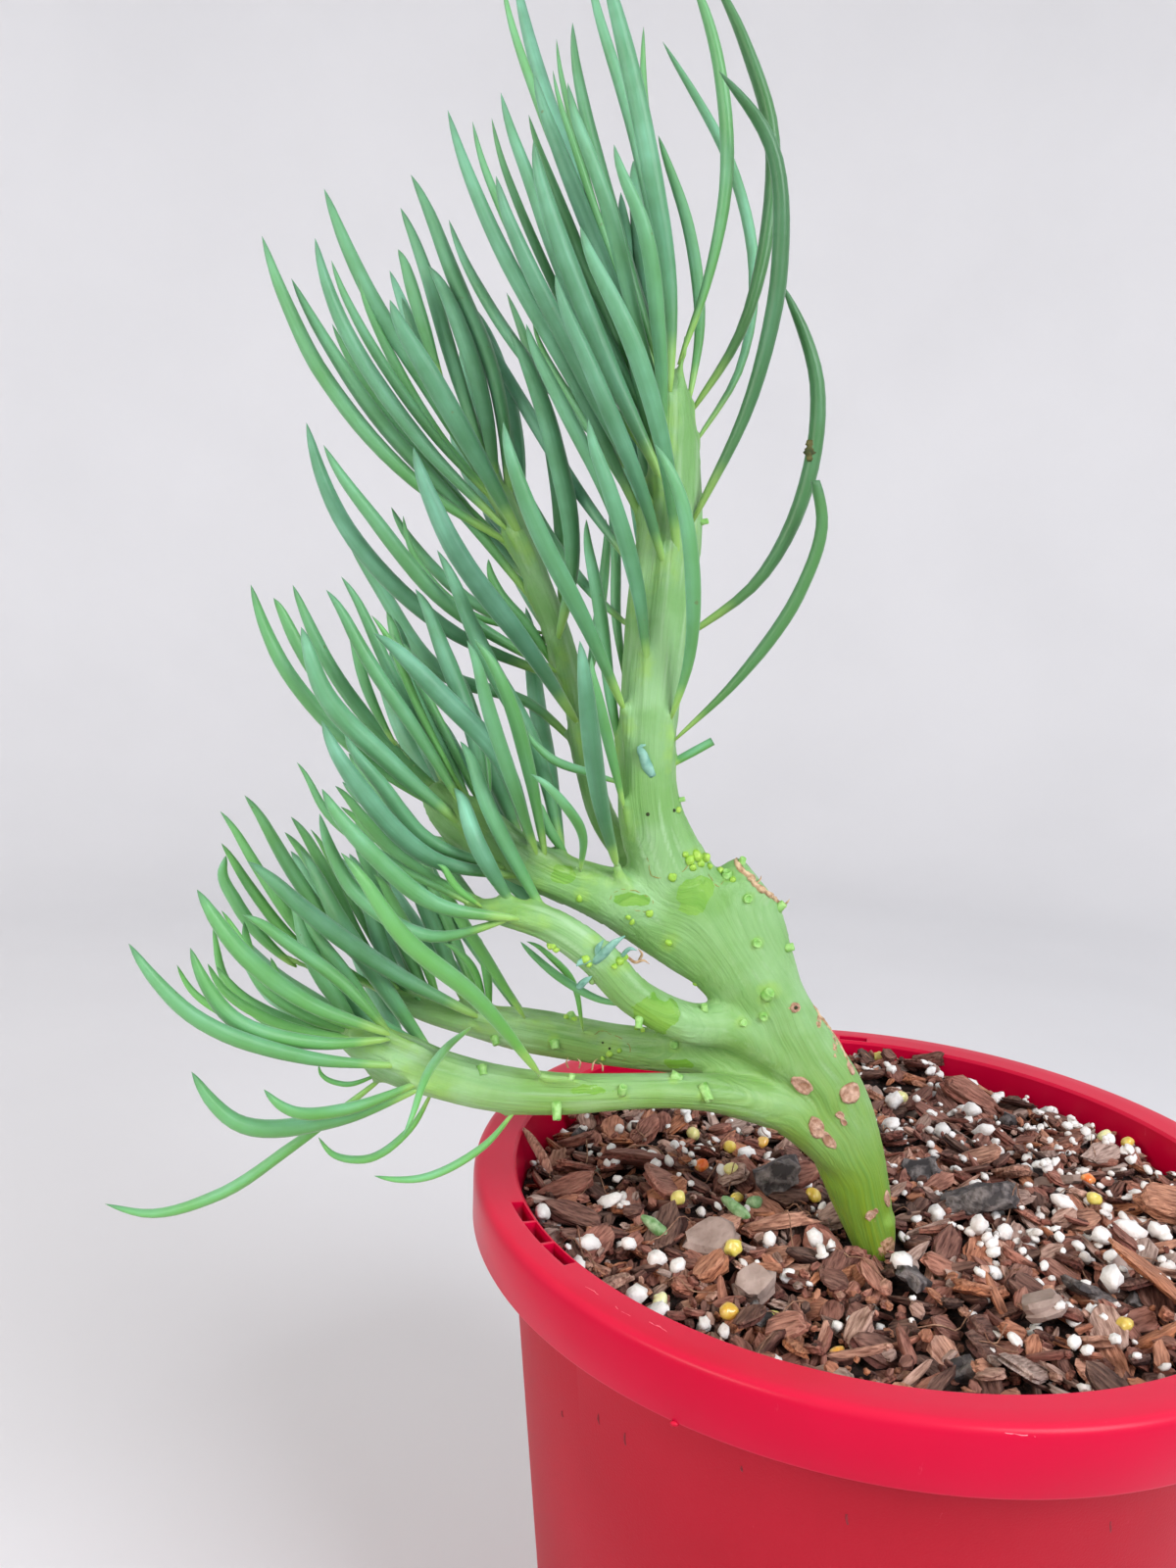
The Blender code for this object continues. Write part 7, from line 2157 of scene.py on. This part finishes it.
@dataclass
class StemDetails(SkinMarks):
    """What fallen, torn and cut leaves left on the bare stem, each thing seated on its skin."""

    # Short stubs with a hollow paler rim, as a Mark's values.
    stubs: tuple = (
        (763, 917, 0.95, 0.9), (772, 962, 0.95, 0.9), (779, 1037, 0.85, 0.9), (758, 1044, 0.8, 0.8),
        (783, 1015, 1.2, 1.3, 60), (742, 893, 0.95, 1.1, 90), (719, 1112, 1.0, 2.7, -80),
        (688, 1098, 0.9, 1.8, -60), (635, 1113, 0.9, 1.3, 80), (568, 1130, 0.95, 2.6, -85),
        (566, 1064, 0.95, 1.5, -70), (583, 1100, 0.7, 0.9), (492, 1090, 0.9, 1.6, -90),
        (505, 1060, 0.9, 1.5, -60), (804, 967, 0.9, 1.3, 20), (795, 926, 0.9, 1.5, 60),
        (652, 1040, 0.8, 1.9, -80), (583, 1037, 0.9, 1.0, 120), (688, 1066, 0.9, 0.9),
        (694, 815, 0.5, 1.2, 15), (600, 1000, 0.6, 1.5, 60), (719, 1030, 0.7, 1.2, 110),
        (757, 880, 0.7, 1.2, 70), (718, 532, 0.6, 1.2, 20))
    # Soft yellow-green swellings, in clusters and alone.
    buds: tuple = (
        (704, 878, 1.1, 1.0), (711, 873, 1.2, 1.2), (719, 875, 1.1, 1.3), (715, 881, 0.9, 0.8),
        (724, 884, 0.8, 0.8), (707, 885, 0.8, 0.6), (699, 872, 0.7, 0.7), (686, 895, 0.9, 0.6),
        (597, 978, 0.9, 1.0), (601, 984, 0.7, 0.8), (632, 981, 0.9, 1.0), (637, 977, 0.7, 0.9),
        (627, 986, 0.7, 0.7), (622, 1076, 0.8, 0.7), (615, 1080, 0.6, 0.6), (591, 917, 0.8, 0.5),
        (663, 932, 0.8, 0.5), (645, 941, 0.7, 0.5), (682, 962, 0.8, 0.6), (641, 936, 0.6, 0.5),
        (562, 972, 0.9, 0.9), (568, 968, 0.8, 0.9), (557, 978, 0.7, 0.8), (656, 1052, 0.5, 1.0),
        (650, 1050, 0.5, 1.0), (748, 898, 0.7, 0.7), (692, 826, 0.8, 0.6), (735, 888, 0.8, 0.7),
        (586, 1040, 0.7, 0.6), (578, 1038, 0.7, 0.7), (632, 1072, 0.6, 0.5), (705, 1012, 0.6, 0.5))
    # Corky scars: round ones, and the long torn ones low on the stem.
    scars: tuple = (
        (868, 1116, 2.0, 0.75, 0, 1.15), (818, 1107, 1.5, 0.65, 145, 1.7), (833, 1151, 1.7, 0.6, 125, 1.5),
        (845, 1163, 1.0, 0.5, 130, 2.4), (811, 1028, 1.0, 0.8), (905, 1223, 1.0, 0.5, 100, 1.6),
        (868, 1091, 0.7, 0.5, 110, 2.0), (857, 1138, 0.7, 0.5, 150, 1.3), (861, 1145, 0.6, 0.5, 120, 1.4),
        (788, 1153, 0.7, 0.4, 160, 1.8), (888, 1240, 0.9, 0.6, 40, 1.2), (893, 1236, 0.6, 0.5))
    pits: tuple = (
        (661, 831, 0.42, 0.16), (688, 827, 0.38, 0.16), (742, 889, 0.45, 0.3), (622, 1070, 0.3, 0.2),
        (615, 1064, 0.28, 0.2), (811, 1028, 0.45, 0.95))
    # Dry lines: the callus on the cut edge, the margin's dry edge and a thin crack.
    cut_edge: tuple = (750, 876, 754, 884, 763, 893, 772, 903, 783, 912, 792, 919, 801, 922)
    dry_edge: tuple = (828, 1022, 836, 1036, 846, 1049, 857, 1066, 866, 1084, 872, 1096)
    cracks: tuple = (
        (661, 874, 662, 884, 665, 894, 676, 895, 688, 892, 699, 887, 706, 880),
        (722, 891, 727, 899, 733, 904, 739, 899),
        (607, 1056, 613, 1052, 623, 1055, 635, 1060, 643, 1068, 642, 1078, 634, 1083),
        (622, 918, 630, 909, 643, 908, 656, 912, 667, 922, 659, 930, 645, 928))
    # Torn and withered bits, blue-green first and then the pale dry ones: rise to the viewer,
    # radius in millimetres and front-view route.
    torn: tuple = (
        (1.6, 1.15, 666, 792, 660, 781, 656, 770, 653, 762, 659, 760),
        (3.0, 1.0, 606, 982, 616, 973, 627, 962, 638, 955), (2.0, 0.7, 612, 978, 610, 968, 616, 959),
        (2.0, 0.8, 590, 1008, 597, 1001, 604, 996), (1.4, 0.8, 602, 980, 592, 982, 588, 986),
        (1.2, 0.5, 634, 976, 644, 968, 650, 970))
    dry: tuple = (
        (0.8, 0.35, 640, 976, 648, 982, 657, 980, 663, 984), (0.8, 0.3, 652, 980, 655, 973, 651, 968),
        (1.0, 0.5, 624, 868, 630, 861, 637, 858, 636, 864), (0.8, 0.4, 630, 872, 638, 868, 641, 861),
        (0.6, 0.2, 580, 1090, 578, 1083, 580, 1079), (0.6, 0.2, 591, 1090, 592, 1083, 589, 1080),
        (0.6, 0.2, 604, 1092, 606, 1084, 610, 1080), (0.6, 0.2, 615, 1093, 614, 1086, 611, 1084),
        (0.6, 0.25, 796, 924, 803, 921, 806, 917), (0.6, 0.2, 770, 902, 776, 897, 777, 893))

    def stand(self, blank: Piece, rows: Sequence, lie_flat: bool, wobble: float) -> list:
        """Copies of a blank at marks.

        Args:
            blank: A small solid round Z with its foot at 0, of radius and height 1.
            rows: Where the copies go, as a Mark's values.
            lie_flat: Whether they lie on the skin and turn on it, or lean to their heading.
            wobble: How uneven they are, as a share of their size.

        Returns:
            The copies.
        """
        made = []
        for number, mark_ in enumerate(Mark(*row) for row in rows):
            place, axis = self.seat(mark_.x, mark_.y)
            turn = math.radians(mark_.heading or 0.0)
            along = np.array([math.cos(turn), 0.0, math.sin(turn)])
            if mark_.heading is not None and not lie_flat:
                axis = unit(axis * 0.7 + along)
                along = np.array([0.2, -1.0, 0.1])
            side = square_to(axis, along)
            local = spots_of(blank) / MM
            uneven = soft_noise(local * (1.0, 1.0, 0.5) + number * 7.0, 0.9)
            local = local * (1.0 + uneven[:, None] * np.array([1.0, 1.0, 0.5]) * wobble)
            local = local * (mark_.radius * mark_.stretch, mark_.radius, mark_.height)
            made.append(copy_of(blank, place + local @ np.stack([side, np.cross(axis, side), axis])))
        return made

    def bit(self, rise: float, radius: float, *route: float) -> Piece:
        """A torn or curled bit that grows out of the skin.

        Args:
            rise: How far its tip rises to the viewer, in millimetres.
            radius: Its radius.
            route: Front-view x and y by turns, from its root.

        Returns:
            The bit.
        """
        pixels = pairs(*route)
        root = self.seat(*pixels[0])[0]
        last = len(pixels) - 1
        points = [on_plane(x, y, root[1] + 0.4 - rise * math.sin(number / last * math.pi / 2))
                  for number, (x, y) in enumerate(pixels)]
        marks = np.linspace(0.0, 1.0, 12)
        line = np.array(smooth_route(points, marks))
        radii = radius * read_profile(WITHERED_PROFILE, marks)
        return lone_tube(8, line, radii, radii * 0.6)

    def build(self) -> None:
        """Every detail, one piece for each kind."""
        cup = turned("stub_blank", pairs(0.0, -0.4, 1.25, -0.4, 1.12, 0.1, 1.0, 0.5, 1.0, 0.88, 0.88, 1.0,
                                         0.7, 0.95, 0.55, 0.72, 0.0, 0.66), 14)
        x, y, z = (spots_of(cup) / MM).T
        mark(cup, "rim", np.clip((z - 0.8) * 8.0, 0.0, 1.0))
        dish = turned("scar_blank", pairs(0.0, -1.0, 1.0, -1.0, 1.12, 0.0, 1.05, 0.55, 0.92, 0.8,
                                          0.78, 0.55, 0.4, 0.4, 0.0, 0.5), 18)
        x, y, z = (spots_of(dish) / MM).T
        mark(dish, "rim", np.clip((np.hypot(x, y) - 0.7) * 6.0, 0.0, 1.0))
        dome = turned("bud_blank", pairs(0.0, -0.5, 0.9, -0.4, 1.0, 0.1, 0.86, 0.55, 0.5, 0.88,
                                         0.0, 1.0), 12)
        self.finished(self.stand(cup, self.stubs, False, 0.14), "leaf_stubs", Palette.STUB, "leaf")
        self.finished(self.stand(dish, self.scars, True, 0.3), "corky_scars", Palette.CORK, "stem")
        self.finished(self.stand(dome, self.buds, False, 0.45), "lime_buds", Palette.BUD, "stem")
        self.finished(self.stand(dome, self.pits, False, 0.2), "pin_holes", Palette.PIN_HOLE, "stem")
        edges = [self.strip(self.cut_edge, 0.75, 0.4), self.strip(self.dry_edge, 0.4, 0.3)]
        self.finished(edges, "dry_callus", Palette.CALLUS, "stem")
        cracks = [self.strip(route, 0.1, 0.35) for route in self.cracks]
        self.finished(cracks, "skin_cracks", Palette.CRACK, "stem")
        self.finished([self.bit(*row) for row in self.torn], "torn_leaf_bits", Palette.WITHERED, "leaf")
        self.finished([self.bit(*row) for row in self.dry], "dry_skin_shreds", Palette.CALLUS, "stem")
        drop([cup, dish, dome])


@dataclass
class Studio:
    """A pale paper floor that curves up all round, soft light and the front camera."""

    floor_radius: float = 1100.0
    wall_radius: float = 1600.0
    wall_height: float = 2200.0
    bend_steps: int = 10
    sky: str = "#F1EFF2"
    sky_strength: float = 0.44
    # Each soft light's name, place and size in metres, energy and tint, and what both face.
    lamps: tuple = (("key", (0.75, -0.95, 1.1), 0.7, 19.5, "#F6F8FF"),
                    ("fill", (-1.25, -1.0, 0.8), 0.9, 31.0, "#FFF2E6"))
    lit_place: tuple = (-0.03, 0.0, 0.27)

    def cove(self) -> None:
        """A round paper dish: flat floor, quarter bend and wall."""
        bend = self.wall_radius - self.floor_radius
        profile = [(0.0, 0.0), (self.floor_radius, 0.0)]
        profile += [(self.floor_radius + bend * math.sin(a), bend * (1 - math.cos(a)))
                    for a in np.linspace(0, math.pi / 2, self.bend_steps + 1)[1:]]
        profile.append((self.wall_radius, self.wall_height))
        paper = turned("studio_cove", profile, 96)
        paper.data.materials.append(Palette.PAPER.value.material())
        smooth(paper, 60.0)

    def lamp(self, name: str, place: tuple, size: float, energy: float, tint: str) -> None:
        """A square soft light that faces the plant.

        Args:
            name: The light's name.
            place: Where it hangs, in metres.
            size: Its side in metres.
            energy: Its power.
            tint: Its colour as an sRGB hex code.
        """
        light = bpy.data.lights.new(name, "AREA")
        light.shape = "SQUARE"
        light.size = size
        light.energy = energy
        light.color = srgb(tint)[:3]
        lamp = bpy.data.objects.new(name, light)
        lamp.location = place
        way = Vector(self.lit_place) - Vector(place)
        lamp.rotation_euler = way.to_track_quat("-Z", "Y").to_euler()
        bpy.context.scene.collection.objects.link(lamp)

    def light(self) -> None:
        """Even pale surroundings, a cool key from the upper right and a warm fill from the left."""
        world = bpy.data.worlds.new("soft_room")
        world.use_nodes = True
        sky = world.node_tree.nodes["Background"].inputs
        sky["Color"].default_value = srgb(self.sky)
        sky["Strength"].default_value = self.sky_strength
        bpy.context.scene.world = world
        for row in self.lamps:
            self.lamp(*row)

    def camera(self) -> None:
        """The camera at the front view's eye point."""
        lens = bpy.data.cameras.new("front")
        lens.lens = FOCAL / VIEW_HEIGHT * SENSOR
        lens.sensor_width = SENSOR
        lens.clip_start = 0.01
        eye = bpy.data.objects.new("front", lens)
        ahead = Vector((0.0, math.cos(EYE_DOWN), -math.sin(EYE_DOWN)))
        rise = Vector((0.0, math.sin(EYE_DOWN), math.cos(EYE_DOWN)))
        side = Vector((1.0, 0.0, 0.0))
        right = side * math.cos(EYE_ROLL) + rise * math.sin(EYE_ROLL)
        up = rise * math.cos(EYE_ROLL) - side * math.sin(EYE_ROLL)
        turn = Matrix((right, up, -ahead)).transposed().to_4x4()
        eye.matrix_world = Matrix.Translation(Vector(EYE * MM)) @ turn
        bpy.context.scene.collection.objects.link(eye)
        bpy.context.scene.camera = eye

    def build(self) -> None:
        """Set the whole studio."""
        self.cove()
        self.light()
        self.camera()
        bpy.context.scene.view_settings.view_transform = "Standard"


def main() -> None:
    """Build every sub-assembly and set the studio."""
    logging.basicConfig(level=logging.INFO, format="%(message)s")
    pot = NurseryPot()
    body = pot.build()
    pot.build_flash(body)
    PotMarks(body).build()
    limbs = {name: LimbShape(name) for name in LIMBS}
    leaves = [finer_leaf(leaf) for leaf in place_leaves(limbs)]
    stem = CrestedStem()
    fine = {name: LimbShape(name, stem.steps, FINER_LIMBS) for name in FINER_LIMBS}
    exits = [find_exit(leaf, list(fine.values()) if leaf.node == "trunk" else [fine[leaf.node]])
             for leaf in leaves]
    StemDetails(stem.build(fine, leaves, exits)).build()
    shoots = {node: LeafyShoot(node).build(leaves, exits) for node in LEAVES}
    LeafMarks(shoots["main_shoot"]).build()
    PottingMix(pot).build()
    Studio().build()


if __name__ == "__main__":
    main()
